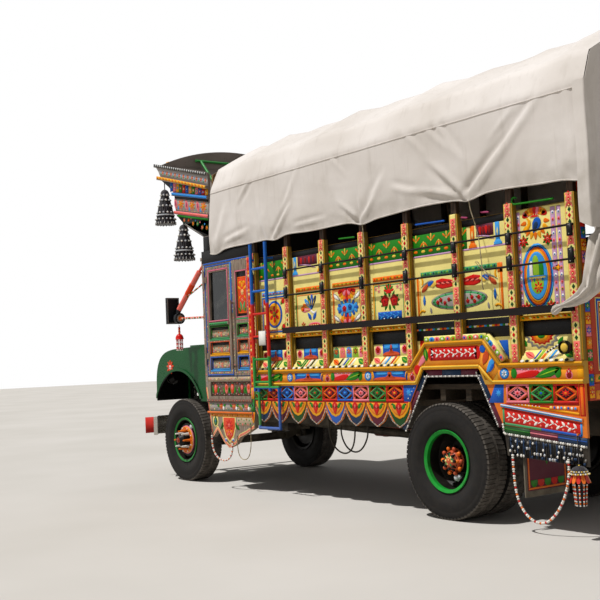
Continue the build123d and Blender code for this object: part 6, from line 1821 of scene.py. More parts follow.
def bay_shield(face, bay):
    """Rear bay: a tall oval of blue, green and gold under a red and gold arch."""
    mid = -3.112
    face.board(bay - BAY_HALF, BAY_LOW, bay + BAY_HALF, BAY_HIGH, "cream")
    for u0, u1 in ((-2.956, -2.922), (-3.320, -3.272), (-3.375, -3.335)):
        face.board(u0, PICTURE_LOW, u1, 2.600, "lilac", 2)
        face.row("rosette", ((u0 + u1) / 2, 1.80), ((u0 + u1) / 2, 2.58), 14, 0.015, 0.020,
                 ("pink", "white", "salmon"), 3, 0.0)
        face.row("disc", ((u0 + u1) / 2, 1.80), ((u0 + u1) / 2, 2.58), 14, 0.007, 0.007,
                 ("red", "blue", "green"), 4)
    face.palmette(mid, 2.548, 0.190, 0.056, ("red", "orange", "yellow", "orange", "pink"), 1, 3, 11)
    for k in range(9):
        turn = math.pi * (k + 0.5) / 9 + math.pi
        face.put("petal", mid + 0.120 * math.cos(turn), 2.520 + 0.135 * math.sin(turn), 0.024, 0.030,
                 ("orange", "yellow")[k % 2], turn + math.pi / 2, 3)
    face.put("drop", mid - 0.010, 2.470, 0.058, 0.068, "blue", 0.5, 4)
    face.put("drop", mid - 0.004, 2.462, 0.030, 0.042, "navy", 0.5, 5)
    face.put("crescent", mid + 0.095, 2.480, 0.055, 0.060, "yellow", 1.2, 4)
    for u in (mid - 0.122, mid + 0.128):
        for v in (2.350, 1.812):
            face.spray(u, v, 0.050, "red", "salmon", 2)
    for reach_u, reach_v, paint, level in ((0.168, 0.266, "sky", 2), (0.150, 0.250, "blue", 3),
                                           (0.140, 0.238, "orange", 4), (0.122, 0.216, "yellow", 5),
                                           (0.108, 0.198, "sky", 6)):
        face.put("oval", mid, 2.060, reach_u, reach_v, paint, 0.0, level)
    face.pair("petal", mid, 0.192, 2.108, 0.036, 0.048, "orange", -math.pi / 2, 2)
    face.pair("petal", mid, 0.198, 2.108, 0.018, 0.030, "yellow", -math.pi / 2, 3)
    face.put("arch", mid + 0.010, 2.148, 0.034, 0.082, "lime", 0.0, 7)
    face.put("arch", mid + 0.056, 2.125, 0.020, 0.060, "white", 0.0, 7)
    face.put("arch", mid - 0.046, 2.115, 0.024, 0.052, "green", 0.0, 7)
    face.board(mid - 0.085, 2.040, mid + 0.085, 2.056, "cream", 8)
    face.put("scallop", mid, 1.975, 0.066, 0.062, "lime", 0.0, 7)
    face.flower(mid - 0.01, 1.970, 0.046, "red", "yellow", 8, 7)
    face.row("drop", (mid - 0.07, 2.028), (mid + 0.07, 2.028), 5, 0.010, 0.018,
             ("blue", "pink", "orange"), 8, 0.0)


def striped_sill(piece, mid, number, side):
    """Sloping sill of a niche, with slanted strokes and a row of bumps at its foot."""
    slope = Face(piece, (0.0, side * 1.217, 1.371), (1, 0, 0), (0, -side * 0.051, 0.095),
                 (0, side * 0.095, 0.051))
    slope.board(mid - 0.268, 0.0, mid + 0.268, 0.106, "cream")
    strokes = ("green", "yellow", "red", "white", "sky", "white", "orange", "lime", "blue", "white", "black",
               "white", "salmon", "green")
    slope.leaf(mid - 0.262, 0.036, 0.130, 0.45, "green", "lime", 2)
    slope.leaf(mid + 0.130, 0.036, 0.130, 0.45, ("salmon", "orange", "green")[number % 3], "red", 2)
    for k in range(3, 9):
        u = mid - 0.225 + 0.0405 * k
        wide = (0.030, 0.028, 0.018)[(k + number) % 3]
        stroke = [(u + 0.020, 0.024), (u + 0.020 + wide, 0.024), (u - 0.026 + wide, 0.103),
                  (u - 0.026, 0.103)]
        slope.quad(stroke, strokes[(k + 4 * number) % 14], 2)
    for k in range(11):
        slope.put("disc", mid - 0.25 + 0.05 * k, 0.010, 0.021, 0.013, ("white", "black")[k % 2], 0.0, 3)


def niche(piece, face, mid, number, side):
    """Niche under a bay: gilt frame, a black board at its top that paints the rail's shadow, painted back and
    a sill.
    """
    u0, u1 = mid - 0.272, mid + 0.272
    face.board(u0, 1.706, u1, 1.748, "yellow", 2, 0.030)
    raised = side_face(piece, side, PANEL_Y + 0.032)
    raised.row("leaf", (u0 + 0.02, 1.727), (u1 - 0.02, 1.727), 13, 0.017, 0.016,
               ("green", "red", "cream", "orange"), 1, 0.3)
    for edge in (u0, u1 - 0.020):
        face.board(edge, 1.40, edge + 0.020, 1.706, "ochre", 2, 0.024)
    inner0, inner1 = u0 + 0.020, u1 - 0.020
    # black board: painted shadow of the rail over the niche
    face.board(inner0, NICHE_HIGH, inner1, 1.706, "black", 2)
    face.board(inner0, 1.455, inner1, NICHE_HIGH, "cream", 2)
    if number == 0:
        for reach, paint, level in ((0.180, "grey", 3), (0.146, "cream", 4), (0.124, "red", 5),
                                    (0.100, "orange", 6), (0.070, "yellow", 7), (0.040, "green", 8)):
            face.put("half_sun", mid + 0.07, 1.580 - reach * 0.31, reach, reach * 0.31, paint, math.pi, level)
        face.pair("leaf", mid + 0.07, 0.185, 1.530, 0.045, 0.046, "green", 0.9, 3)
        face.pair("oval", mid + 0.07, 0.200, 1.490, 0.022, 0.018, "salmon", 0.0, 4)
    elif number in (6, 5, 3):
        face.scenery(mid - 0.125, NICHE_LOW, mid + 0.120, NICHE_HIGH, 3)
        for edge in (inner0 + 0.062, inner1 - 0.062):
            face.put("oval", edge, 1.525, 0.046, 0.044, "pink", 0.0, 3)
            face.rose(edge, 1.528, 0.034, "red", "deep_red", 4)
    else:
        for k in range(5):
            u = inner0 + (inner1 - inner0) * (k + 0.5) / 5
            face.put("arch", u, 1.522, 0.042, 0.054, ("pink", "lime", "sky", "salmon", "mint")[k], 0.0, 3)
            face.flower(u, 1.530, 0.034, ("red", "deep_red", "red", "pink", "red")[k], "yellow", 4, 6)
    striped_sill(piece, mid, number, side)


def post_work(piece, number, side, low):
    """Blocks, diamonds and dots on one post, with its black straps."""
    face = side_face(piece, side, POST_Y)
    u = post_x(number)
    face.board(u - 0.042, low, u + 0.042, POST_TOP + 0.002, "cream")
    face.board(u - 0.042, low, u - 0.030, POST_TOP + 0.002, "ochre", 2)
    face.board(u + 0.037, low, u + 0.042, POST_TOP + 0.002, "gold", 2)
    u += 0.003
    v, count = low, 0
    while v < 2.62:
        top = min(v + 0.150, POST_TOP)
        mid = (v + top) / 2
        if count % 2 == 0:
            face.board(u - 0.030, v, u + 0.030, top, "salmon", 2)
            for dv in (-0.045, 0.0, 0.045):
                face.put("drop", u, mid + dv, 0.015, 0.019, "red", 0.0, 3)
                face.put("disc", u, mid + dv, 0.006, 0.006, "cream", 0.0, 4)
            face.pair("diamond", u, 0.024, mid - 0.022, 0.006, 0.010, "cream", 0.0, 3)
            face.pair("diamond", u, 0.024, mid + 0.022, 0.006, 0.010, "cream", 0.0, 3)
        else:
            for k, paint in ((-1, "dark_green"), (0, "red"), (1, "dark_green")):
                face.put("diamond", u, mid + 0.048 * k, 0.017, 0.022, paint, 0.0, 3)
                face.pair("triangle", u, 0.026, mid + 0.048 * k + 0.024, 0.010, 0.007, "pink", math.pi / 2, 3)
        v, count = top, count + 1
    for v0, v1 in ((2.337, 2.437), (2.125, 2.245)):
        face.put("board", u, (v0 + v1) / 2, 0.023, (v1 - v0) / 2, "black", 0.0, 1, 0.023)
        for v in (v0 + 0.016, v1 - 0.016):
            face.put("disc", u, v, 0.006, 0.006, "grey", 0.0, 1, 0.026)
    reveal = Face(piece, (post_x(number) - POST_HALF, side * PANEL_Y, 0.0), (0, side, 0), (0, 0, 1),
                  (-1, 0, 0))
    reveal.board(0.046, low, 0.054, POST_TOP, "yellow")
    reveal.board(0.010, low, 0.016, POST_TOP, "brown")


def follow(face, line, half, paint, level):
    """Boards that follow a line of points."""
    for a, b in zip(line, line[1:]):
        face.strip(a, b, half, paint, level)


def band_work(piece, side):
    """Amber band with its ovals, landscapes, leaves and drops, and its yellow mouldings."""
    face = side_face(piece, side, POST_Y)
    gilt = side_face(piece, side, 1.234)
    arch_x, low, mid_z, high, steep = REAR_AXLE_X, 1.231, 1.283, 1.334, 0.0024
    face.board(arch_x + 0.33, low, BODY_FRONT_X - 0.002, high, "amber")
    face.board(BODY_REAR_X + 0.002, low, arch_x - 0.70, high, "amber")
    face.board(arch_x - 0.55, 1.366, arch_x + 0.17, 1.542, "amber")
    face.quad([(arch_x + 0.285, low), (arch_x + 0.35, high), (arch_x + 0.15, 1.542),
               (arch_x + 0.19, 1.366)], "amber", 1, steep)
    face.quad([(arch_x - 0.64, low), (arch_x - 0.50, 1.366), (arch_x - 0.56, 1.542),
               (arch_x - 0.73, high)], "amber", 1, steep)
    for mid, half in ((0.640, 0.235), (-0.678, 0.246), (-3.082, 0.258)):
        face.board(mid - half + 0.03, 1.242, mid + half - 0.03, 1.324, "pink", 2)
        face.put("petal", mid + half * 0.42, 1.268, 0.036, half * 0.60, "red", 1.45, 3)
        face.put("leaf", mid - half * 0.50, 1.284, half * 0.56, 0.080, "green", -0.25, 4)
        face.put("leaf", mid - half * 0.50, 1.284, half * 0.42, 0.012, "lime", -0.25, 5)
        face.pair("oval", mid, half - 0.032, mid_z, 0.032, 0.043, "green", 0.0, 4)
        face.row("disc", (mid - half * 0.6, 1.314), (mid + half * 0.6, 1.314), 9, 0.006, 0.005,
                 ("white", "yellow"), 4)
    for mid, half in ((-0.054, 0.240), (-1.326, 0.240)):
        face.scenery(mid - half, 1.240, mid + half, 1.326, 2)
        face.pair("crescent", mid, half - 0.004, mid_z, 0.020, 0.040, "yellow", 0.0, 7)
    for u in (0.270, -1.010, -2.750):
        face.medallion(u, mid_z, 0.052, 0.047, "blue", "sky", "white", "navy", 2)
    for u in (-0.374, -1.632, -3.415, 0.900):
        face.put("drop", u, 1.274, 0.048, 0.046, "pink", math.pi, 2)
        face.put("drop", u, 1.270, 0.034, 0.034, "deep_red", math.pi, 3)
        face.flower(u, 1.290, 0.024, "red", "white", 4, 5)
    face.board(-3.550, 1.234, -3.494, 1.332, "yellow", 2)
    red0, red1 = arch_x - 0.480, arch_x + 0.085
    face.board(red0, 1.408, red1, 1.528, "red", 2)
    for end in (red0, red1):
        face.put("oval", end, 1.468, 0.038, 0.060, "red", 0.0, 2)
    face.vine((red0, 1.468), (red1, 1.468), 11, "white", "pink", 3)
    face.put("leaf", arch_x + 0.150, 1.470, 0.066, 0.062, "green", 1.45, 4)
    face.put("leaf", arch_x + 0.150, 1.470, 0.046, 0.014, "lime", 1.45, 5)
    face.put("petal", arch_x + 0.205, 1.405, 0.036, 0.076, "pink", 0.80, 4)
    face.put("disc", arch_x + 0.262, 1.330, 0.046, 0.046, "red", 0.0, 5)
    face.put("disc", arch_x - 0.545, 1.495, 0.034, 0.034, "blue", 0.0, 4)
    face.put("leaf", arch_x - 0.575, 1.420, 0.072, 0.070, "salmon_brown", -1.1, 4)
    face.put("petal", arch_x - 0.625, 1.350, 0.036, 0.072, "sky", 0.65, 5)
    face.put("drop", arch_x - 0.640, 1.330, 0.022, 0.046, "blue", 0.65, 6)
    top_line = [(BODY_FRONT_X, 1.352), (arch_x + 0.35, 1.352), (arch_x + 0.15, 1.560), (arch_x - 0.56, 1.560),
                (arch_x - 0.73, 1.352), (BODY_REAR_X, 1.352)]
    low_line = [(BODY_FRONT_X, 1.213), (arch_x + 0.285, 1.213), (arch_x + 0.20, 1.348),
                (arch_x - 0.50, 1.348), (arch_x - 0.6445, 1.213), (BODY_REAR_X, 1.213)]
    for line, paint in ((top_line, "ochre_orange"), (low_line, "yellow")):
        follow(gilt, line, 0.0165, paint, 1)
        follow(gilt, [(u, v + 0.005) for u, v in line], 0.006, "yellow" if line is top_line else "gold", 2)


def arch_border(piece, side):
    """Cream and lime border over the wheel arch, in front of the panels."""
    face = side_face(piece, side, PANEL_Y)
    over = side_face(piece, side, PANEL_Y + 0.053)
    for start, end, count in (((REAR_AXLE_X + 0.17, 1.598), (REAR_AXLE_X - 0.57, 1.598), 11),
                              ((REAR_AXLE_X - 0.58, 1.600), (REAR_AXLE_X - 0.762, 1.398), 5)):
        face.strip(start, end, 0.030, "cream", 1, 0.052)
        over.row("oval", start, end, count, 0.034, 0.022, ("lime", "sky", "pink", "lime", "salmon"), 1)
        over.row("rosette", start, end, count, 0.014, 0.014, ("white", "blue", "red"), 2)


class TRUCK_OT_side_panels(bpy.types.Operator):
    """Painted bays, head panels and niches of both sides"""
    bl_idname = "truck.side_panels"
    bl_label = "Side panels"

    def execute(self, context):
        bays = (
            # bay from the rear, picture, label ground and marks, frames
            (6, bay_sun, "sky", ("red", "yellow"), (("blue", 0.018), ("red", 0.008))),
            (5, bay_plume, "orange", ("green", "lime", "red"), (("green", 0.016), ("orange", 0.008))),
            (4, bay_ring, "orange", ("green", "lime"), (("orange", 0.020), ("red", 0.006))),
            (3, bay_roses, "orange", ("red", "yellow", "green"), (("yellow", 0.018), ("mint", 0.008))),
        )
        for side, name in SIDES:
            piece = Painted(f"{name}_panels", "chassis", "body_paint")
            lower = Painted(f"{name}_niches", "chassis", "body_paint")
            face, low_face = side_face(piece, side), side_face(lower, side)
            for number, work, label, marks, frames in bays:
                mid = bay_mid(number)
                bay_ground(face, mid, label, marks, frames)
                work(face, mid)
                niche(lower, low_face, mid, number, side)
            long_panel(face)
            rear = bay_mid(0)
            bay_shield(face, rear)
            niche(lower, low_face, rear, 0, side)
            for mid in (bay_mid(1), bay_mid(2)):
                # black board: painted shade under the rail
                low_face.board(mid - 0.27, 1.590, mid + 0.27, 1.752, "black", 2)
                low_face.row("board", (mid - 0.27, 1.690), (mid + 0.27, 1.690), 18, 0.015, 0.008,
                             ("red", "yellow", "white", "green", "sky", "orange"), 3)
            low_face.quad([(-1.765, 1.60), (-1.700, 1.60), (-1.700, 1.40), (-1.765, 1.40)], "red", 2)
            low_face.quad([(-2.76, 1.40), (-2.66, 1.56), (-2.76, 1.56), (-2.765, 1.40)], "blue", 3)
            arch_border(lower, side)
            piece.make()
            lower.make()
        return {"FINISHED"}


class TRUCK_OT_posts_and_band(bpy.types.Operator):
    """Painted posts with their straps, and the band with its mouldings"""
    bl_idname = "truck.posts_and_band"
    bl_label = "Posts and band"

    def execute(self, context):
        for side, name in SIDES:
            posts = Painted(f"{name}_post_ornament", "chassis", "post_paint")
            for number in range(8):
                post_work(posts, number, side, 1.590 if number == 2 else 1.372)
            posts.make()
            band = Painted(f"{name}_band_ornament", "chassis", "body_paint")
            band_work(band, side)
            band.make()
        return {"FINISHED"}


# Lattice, pendants, arch cloth and rear skirt

SKIRT_PAINTS = ("green", "red", "blue", "pink")
LIGHTER = {"green": "mint", "red": "orange", "blue": "sky", "pink": "salmon"}
CLOTH_PAINTS = ("navy", "maroon", "dark_green", "maroon", "blue")
LATTICE_Z = 1.1215


def lattice_cell(face, u, paint, heart):
    """Carved cell: a lozenge round its opening, frame and bright foot."""
    face.put("diamond", u, LATTICE_Z, 0.118, 0.066, paint)
    face.put("diamond", u, LATTICE_Z, 0.078, 0.044, "black", 0.0, 2)
    face.put("star", u, LATTICE_Z, 0.056, 0.034, paint, 0.0, 3)
    face.put("disc", u, LATTICE_Z, 0.014, 0.010, heart, 0.0, 4)
    for du in (-1, 1):
        for dv in (-1, 1):
            face.strip((u + du * 0.104, LATTICE_Z), (u, LATTICE_Z + dv * 0.058), 0.0045,
                       LIGHTER[paint], 2, 0.002)
            face.put("disc", u + du * 0.055, LATTICE_Z + dv * 0.028, 0.007, 0.006, heart, 0.0, 2)
            face.put("disc", u + du * 0.098, LATTICE_Z + dv * 0.052, 0.010, 0.010, paint, 0.0, 2)
    face.board(u - 0.121, 1.181, u + 0.121, 1.195, paint, 2)
    face.pair("board", u, 0.114, LATTICE_Z, 0.007, 0.060, paint, 0.0, 2)
    face.board(u - 0.121, 1.041, u + 0.121, 1.0615, paint, 2, 0.006)


def pendant_work(face, u, cloth):
    """Painted leaf of the fringe with its cloth and bead edge."""
    for v, half_u, half_v, paint, level in ((0.928, 0.152, 0.116, cloth, 1),
                                            (0.960, 0.146, 0.080, "yellow", 2),
                                            (0.968, 0.122, 0.062, "orange", 3),
                                            (0.972, 0.110, 0.054, "amber", 4)):
        face.put("pendant", u, v, half_u, half_v, paint, 0.0, level)
    face.pair("leaf", u, 0.066, 0.998, 0.038, 0.042, "green", 0.95, 5)
    face.pair("disc", u, 0.096, 1.016, 0.009, 0.009, "dark_green", 0.0, 5)
    face.put("drop", u, 0.970, 0.056, 0.062, "red", 0.0, 6)
    face.pair("crescent", u, 0.022, 0.976, 0.018, 0.026, "deep_red", -0.5, 7)
    face.put("drop", u, 0.984, 0.010, 0.026, "salmon", 0.0, 7)
    face.beads([(u - 0.155, 0.965), (u - 0.150, 0.935), (u - 0.094, 0.856), (u, 0.803), (u + 0.094, 0.856),
                (u + 0.150, 0.935), (u + 0.155, 0.965)], 0.0062, ("pale_grey", "grey", "tan"))


def cloth_drop(du, dv):
    """Width of the cloth as a step square to a run along the arch."""
    run = math.hypot(du, dv)
    return -dv / run * 0.062, du / run * 0.062


def hanging_cloth(face, line, drop, paints):
    """Short cloth along a line, in pieces of colour, with beads on its free edge."""
    pieces = walk([Vector((u, v, 0.0)) for u, v in line], 0.001, 0.0)
    length = len(pieces)
    step = max(1, length // max(1, round(length / 230)))
    free = []
    for number, start in enumerate(range(0, length, step)):
        end = min(start + step, length - 1)
        if end <= start:
            break
        (a, _), (b, _) = pieces[start], pieces[end]
        quad = [(a.x, a.y), (b.x, b.y), (b.x + drop[0], b.y + drop[1]), (a.x + drop[0], a.y + drop[1])]
        turned = (b.x - a.x) * drop[1] - (b.y - a.y) * drop[0] < 0
        face.quad(quad[::-1] if turned else quad, paints[number % len(paints)], 1, 0.004)
        free += [(a.x + drop[0], a.y + drop[1])]
    free.append((pieces[-1][0].x + drop[0], pieces[-1][0].y + drop[1]))
    face.beads(free, 0.0085, ("white", "grey", "pale_grey"))


def rear_skirt(piece, side):
    """Slanted board behind the rear wheel, with its cloth and dark fringe."""
    face = side_face(piece, side, POST_Y)
    for u, paint, heart in ((-2.8825, "pink", "red"), (-3.1275, "green", "blue"), (-3.3725, "red", "orange")):
        lattice_cell(face, u, paint, heart)
    face.quad([(-2.725, 1.041), (-2.56, 1.041), (-2.64, 1.195), (-2.735, 1.195)], "blue", 1)
    face.put("star", -2.675, 1.120, 0.036, 0.036, "sky", 0.0, 2)
    face.board(-3.552, 0.945, -3.500, 1.195, "red", 1)
    face.board(-3.538, 0.955, -3.512, 1.185, "orange", 2)
    face.board(-3.495, 1.032, -2.74, 1.040, "red", 1, 0.005)
    face.quad([(-2.76, 1.040), (-2.78, 1.030), (-3.495, 1.030), (-3.495, 0.947)], "orange", 1)
    face.strip((-3.49, 0.962), (-2.76, 1.046), 0.009, "yellow", 2)
    face.strip((-3.48, 0.990), (-3.02, 1.024), 0.0045, "red", 2)
    face.row("disc", (-3.12, 1.014), (-2.80, 1.036), 9, 0.006, 0.006, ("white",), 3)
    face.board(-3.480, 0.990, -3.200, 1.020, "orange", 3)
    face.row("rosette", (-3.475, 1.004), (-3.205, 1.010), 8, 0.013, 0.013,
             ("sky", "white", "blue", "cream"), 4)
    rail = side_face(piece, side, 1.232)
    rail.strip((-3.522, 0.914), (-2.698, 1.023), 0.0115, "sky", 1)
    rail.strip((-3.522, 0.918), (-2.698, 1.027), 0.004, "white", 2)
    face.quad([(-3.508, 0.790), (-2.714, 0.868), (-2.714, 1.004), (-3.508, 0.895)], "red", 1)
    face.strip((-3.505, 0.795), (-3.11, 0.834), 0.010, "blue", 2)
    face.strip((-3.11, 0.834), (-2.712, 0.873), 0.010, "mint", 2)
    face.strip((-2.719, 0.870), (-2.719, 1.000), 0.010, "mint", 2)
    face.strip((-3.503, 0.795), (-3.503, 0.890), 0.009, "sky", 2)
    face.vine((-3.470, 0.848), (-2.750, 0.931), 13, "white", "salmon", 2)
    cloth = side_face(piece, side, 1.2145)
    long, fall = 0.280, 0.094
    for k, paint in enumerate(("dark_green", "maroon", "navy")):
        u0, u1 = -2.710 - long * k, -2.710 - long * (k + 1)
        v0, v1 = 0.856 - fall * long * k, 0.856 - fall * long * (k + 1)
        cloth.quad([(u1, v1 - 0.070), (u0, v0 - 0.070), (u0, v0), (u1, v1)], paint, 1, 0.005)
        cloth.quad([(u1 + 0.005, v1 - 0.030), (u0, v0 - 0.030), (u0, v0 - 0.022), (u1 + 0.005, v1 - 0.022)],
                   ("green", "pink", "blue")[k], 2, 0.005)
    cloth.beads([(-2.702, 0.872), (-2.712, 0.788), (-3.550, 0.709)], 0.0105, ("white", "white", "grey"))
    bright = Painted(piece.name + "_bits", "chassis", piece.slot, "bright_ornament")
    dark = side_face(bright, side, 1.2145)
    random_bits = random.Random(7)
    for k in range(44):
        u = -2.76 - 0.017 * k
        low = 0.612 + (u + 2.735) * 0.06
        dark.strip((u, 0.770 + (u + 2.71) * fall), (u + random_bits.uniform(-0.006, 0.006), low), 0.0055,
                   ("black", "navy", "black", "black")[k % 4], 1, 0.005)
    for k in range(60):
        u = -2.77 - 0.0128 * k
        v = 0.625 + (u + 2.735) * 0.06 + random_bits.choice((0.0, 0.028, 0.065, 0.11))
        dark.put(random_bits.choice(("disc", "drop", "diamond")), u, v, 0.010, 0.013,
                 random_bits.choice(("steel", "grey", "white", "navy")), 0.0, 1, 0.011)
    bright.make()


class TRUCK_OT_skirts(bpy.types.Operator):
    """Painted lattice and pendants, the cloth round the wheel arch and the rear skirt"""
    bl_idname = "truck.skirts"
    bl_label = "Skirts and fringes"

    def execute(self, context):
        pitch = 0.3175
        for side, name in SIDES:
            piece = Painted(f"{name}_skirt_ornament", "chassis", "frieze_paint")
            face = side_face(piece, side, POST_Y)
            for number in range(10):
                paint = SKIRT_PAINTS[number % 4]
                heart = ("red", "yellow", "sky", "red")[number % 4]
                lattice_cell(face, 0.8235 - 0.245 * number, paint, heart)
            face.quad([(-1.593, 1.041), (-1.505, 1.041), (-1.505, 1.195), (-1.688, 1.195)], "blue", 1)
            face.put("star", -1.575, 1.125, 0.040, 0.040, "sky", 0.3, 2)
            face.row("disc", (-1.55, 1.055), (-1.66, 1.185), 4, 0.006, 0.006, ("white",), 2)
            face.board(-1.58, 1.030, BODY_FRONT_X - 0.002, 1.0405, "red", 1, 0.004)
            for number in range(8):
                pendant_work(face, BODY_FRONT_X - pitch * (number + 0.5), CLOTH_PAINTS[number % 5])
            arch = side_face(piece, side, 1.206)
            for start, end, drop, paints in (
                    ((0.53, 0.80), (0.20, 1.33), cloth_drop(-0.33, 0.53), ("navy", "maroon")),
                    ((0.20, 1.332), (-0.50, 1.332), (0.0, -0.064), ("maroon", "navy")),
                    ((-0.50, 1.33), (-0.73, 0.86), cloth_drop(-0.23, -0.47), ("navy", "maroon"))):
                hanging_cloth(arch, [(REAR_AXLE_X + u, v) for u, v in (start, end)], drop, paints)
            rear_skirt(piece, side)
            piece.make()
        return {"FINISHED"}


# Painted cab doors and sides

def picked_field(face, u0, v0, u1, v1, ground, count, paints, level=1, half=0.011):
    """Ground strewn with small worn blossoms in rows."""
    face.board(u0, v0, u1, v1, ground, level)
    rows = max(1, round((v1 - v0) / 0.045))
    for r in range(rows):
        v = v0 + (v1 - v0) * (r + 0.5) / rows
        for k in range(count):
            u = u0 + (u1 - u0) * (k + 0.5 + 0.25 * (-1) ** r) / count
            face.put(("rosette", "leaf", "drop")[(k + r) % 3], u, v + 0.006 * (-1) ** k, half, half * 1.2,
                     paints[(k * 2 + r) % len(paints)], 0.7 * (k % 3), level + 1)


def tray(face, deep, u0, v0, u1, v1, paint, foot):
    """Recessed tray of the cab: coloured frame, brighter foot, a black strip at its top that paints the shade
    in the recess, and a strewn back.
    """
    face.board(u0 - 0.012, v1, u1 + 0.012, v1 + 0.012, paint)
    face.board(u0 - 0.012, v0 - 0.016, u1 + 0.012, v0, foot)
    for a, b in ((u0 - 0.012, u0), (u1, u1 + 0.012)):
        face.board(a, v0, b, v1, paint)
    deep.board(u0 + 0.002, v0 + 0.002, u1 - 0.002, v0 + 0.016, foot, 1, 0.010)
    for a in (u0 + 0.002, u1 - 0.014):
        deep.board(a, v0 + 0.016, a + 0.012, v1 - 0.002, paint, 1, 0.008)
    # black strip: painted shade at the top of the recess
    deep.board(u0 + 0.014, v1 - 0.034, u1 - 0.014, v1 - 0.002, "black", 1, 0.003)
    picked_field(deep, u0 + 0.014, v0 + 0.016, u1 - 0.014, v1 - 0.034, "tan",
                 max(3, round((u1 - u0) / 0.055)), ("salmon", "ochre", "lilac", "mint", "cream", "orange"))
    mid = (u0 + u1) / 2
    deep.flower(mid, (v0 + v1) / 2 - 0.010, 0.030, "salmon", "cream", 3, 6)


def three_trays(face, deep, u0, u1, heights):
    """Green, brown and blue trays, the green one on top."""
    paints = (("green", "mint"), ("salmon_brown", "yellow"), ("blue", "sky"))
    for (low, high), (paint, foot) in zip(heights, paints):
        tray(face, deep, u0, low, u1, high, paint, foot)


def worn_border(face, u0, v0, u1, v1):
    """Fine worn ornament round a flat board."""
    for v in (v0, v1):
        face.row("rosette", (u0, v), (u1, v), max(2, round((u1 - u0) / 0.036)), 0.0085, 0.0085,
                 ("tan", "salmon", "cream", "lilac", "mint"), 1, 0.0)
    for u in (u0, u1):
        face.row("drop", (u, v0), (u, v1), max(2, round((v1 - v0) / 0.036)), 0.0075, 0.0095,
                 ("cream", "tan", "salmon", "ochre", "mint"), 1, 0.0)


def door_work(side, name):
    """Ornament on one door, which swings with it."""
    piece = Painted(f"door_{name}_ornament", f"door_{name}", "cab_wood")
    face, deep, ledge = (side_face(piece, side, y) for y in (POST_Y, 1.194, 1.234))
    face.border(1.366, 1.324, 1.934, 2.626, 0.014, "blue")
    face.board(1.366, 2.040, 1.378, 2.626, "sky", 2)
    worn_border(face, 1.398, 1.352, 1.912, 2.598)
    face.border(1.428, 1.952, 1.872, 2.575, 0.020, "plum", 1)
    face.border(1.436, 1.960, 1.864, 2.567, 0.007, "pink", 2)
    ledge.board(1.446, 1.916, 1.854, 1.944, "mint", 1)
    ledge.row("leaf", (1.46, 1.930), (1.84, 1.930), 9, 0.018, 0.016, ("green",), 2, 0.2)
    face.board(1.443, 1.895, 1.857, 1.912, "green", 1)
    three_trays(face, deep, 1.443, 1.857, ((1.750, 1.890), (1.570, 1.710), (1.385, 1.530)))
    for v in (1.745, 1.560, 1.378):
        face.row("disc", (1.45, v - 0.022), (1.85, v - 0.022), 11, 0.005, 0.005,
                 ("ochre", "pink", "cream"), 1)
    face.strip((1.393, 1.40), (1.393, 2.04), 0.009, "orange", 1)
    face.strip((1.393, 1.40), (1.393, 2.04), 0.004, "red", 2)
    piece.make()


# Low edge of the cab side, from the rear
CAB_EDGE = [(0.985, 0.730), (1.155, 0.660), (1.285, 0.620), (1.385, 0.530), (1.515, 0.490), (1.615, 0.550),
            (1.755, 0.700), (1.865, 0.600), (1.935, 0.900), (1.995, 1.180)]


def cab_wall_work(piece, side):
    """Ornament of the cab side behind and over the door: a long panel over three trays."""
    face, shallow, deep = (side_face(piece, side, y) for y in (POST_Y, 1.202, 1.194))
    worn_border(face, 1.028, 1.350, 1.338, 2.640)
    face.board(1.345, 2.040, 1.360, 2.640, "blue", 1)
    face.board(1.030, 2.642, 1.960, 2.660, "blue", 1)
    # black board up to the cover's hem: painted shade under the cover and the crown
    face.board(0.960, 2.664, 1.990, 2.810, "black", 1)
    face.board(1.945, 1.200, 1.958, 2.640, "grey_wood", 1)
    face.row("rosette", (1.974, 1.220), (1.974, 2.620), 30, 0.010, 0.010, ("grey", "tan", "salmon"), 1, 0.0)
    face.border(1.034, 1.972, 1.276, 2.516, 0.015, "plum", 1)
    face.border(1.040, 1.978, 1.270, 2.510, 0.006, "pink", 2)
    face.board(1.040, 1.950, 1.270, 1.972, "mint", 1)
    face.board(1.040, 1.944, 1.270, 1.950, "pink", 1)
    # black board behind the red-orange panel, showing mostly at its top: painted shade in the recess
    shallow.board(1.052, 1.994, 1.258, 2.498, "black", 1)
    shallow.board(1.062, 2.020, 1.248, 2.440, "red_orange", 2)
    shallow.border(1.066, 2.026, 1.244, 2.434, 0.008, "orange", 3)
    mid = 1.155
    shallow.palmette(mid, 2.385, 0.070, 0.050, ("yellow", "orange"), -1, 3, 5)
    shallow.rose(mid, 2.262, 0.034, "cream", "salmon", 3)
    for flank in (-1, 1):
        shallow.put("wing", mid + flank * 0.052, 2.312, 0.034 * flank, 0.030, "yellow", 0.0, 3)
        shallow.put("leaf", mid + flank * 0.030, 2.110, 0.060, 0.042, "mint", math.pi / 2 - flank * 0.35, 3)
        shallow.put("leaf", mid + flank * 0.058, 2.065, 0.036, 0.036, "green", math.pi / 2 - flank * 0.8, 3)
        shallow.put("drop", mid + flank * 0.055, 2.200, 0.012, 0.022, "yellow", flank * 0.6, 3)
    shallow.flower(mid, 2.175, 0.028, "salmon", "cream", 4, 6)
    shallow.put("drop", mid, 2.080, 0.016, 0.040, "orange", 0.0, 3)
    three_trays(face, deep, 1.050, 1.260, ((1.770, 1.900), (1.580, 1.720), (1.390, 1.530)))
    face.board(0.960, 1.180, 1.020, 2.640, "red_orange", 1)
    face.row("rosette", (0.990, 1.20), (0.990, 2.62), 34, 0.016, 0.018,
             ("yellow", "red", "orange", "red", "cream"), 2, 0.0)
    face.strip((0.963, 1.18), (0.963, 2.64), 0.003, "gold", 2)
    face.strip((1.017, 1.18), (1.017, 2.64), 0.003, "pink", 2)


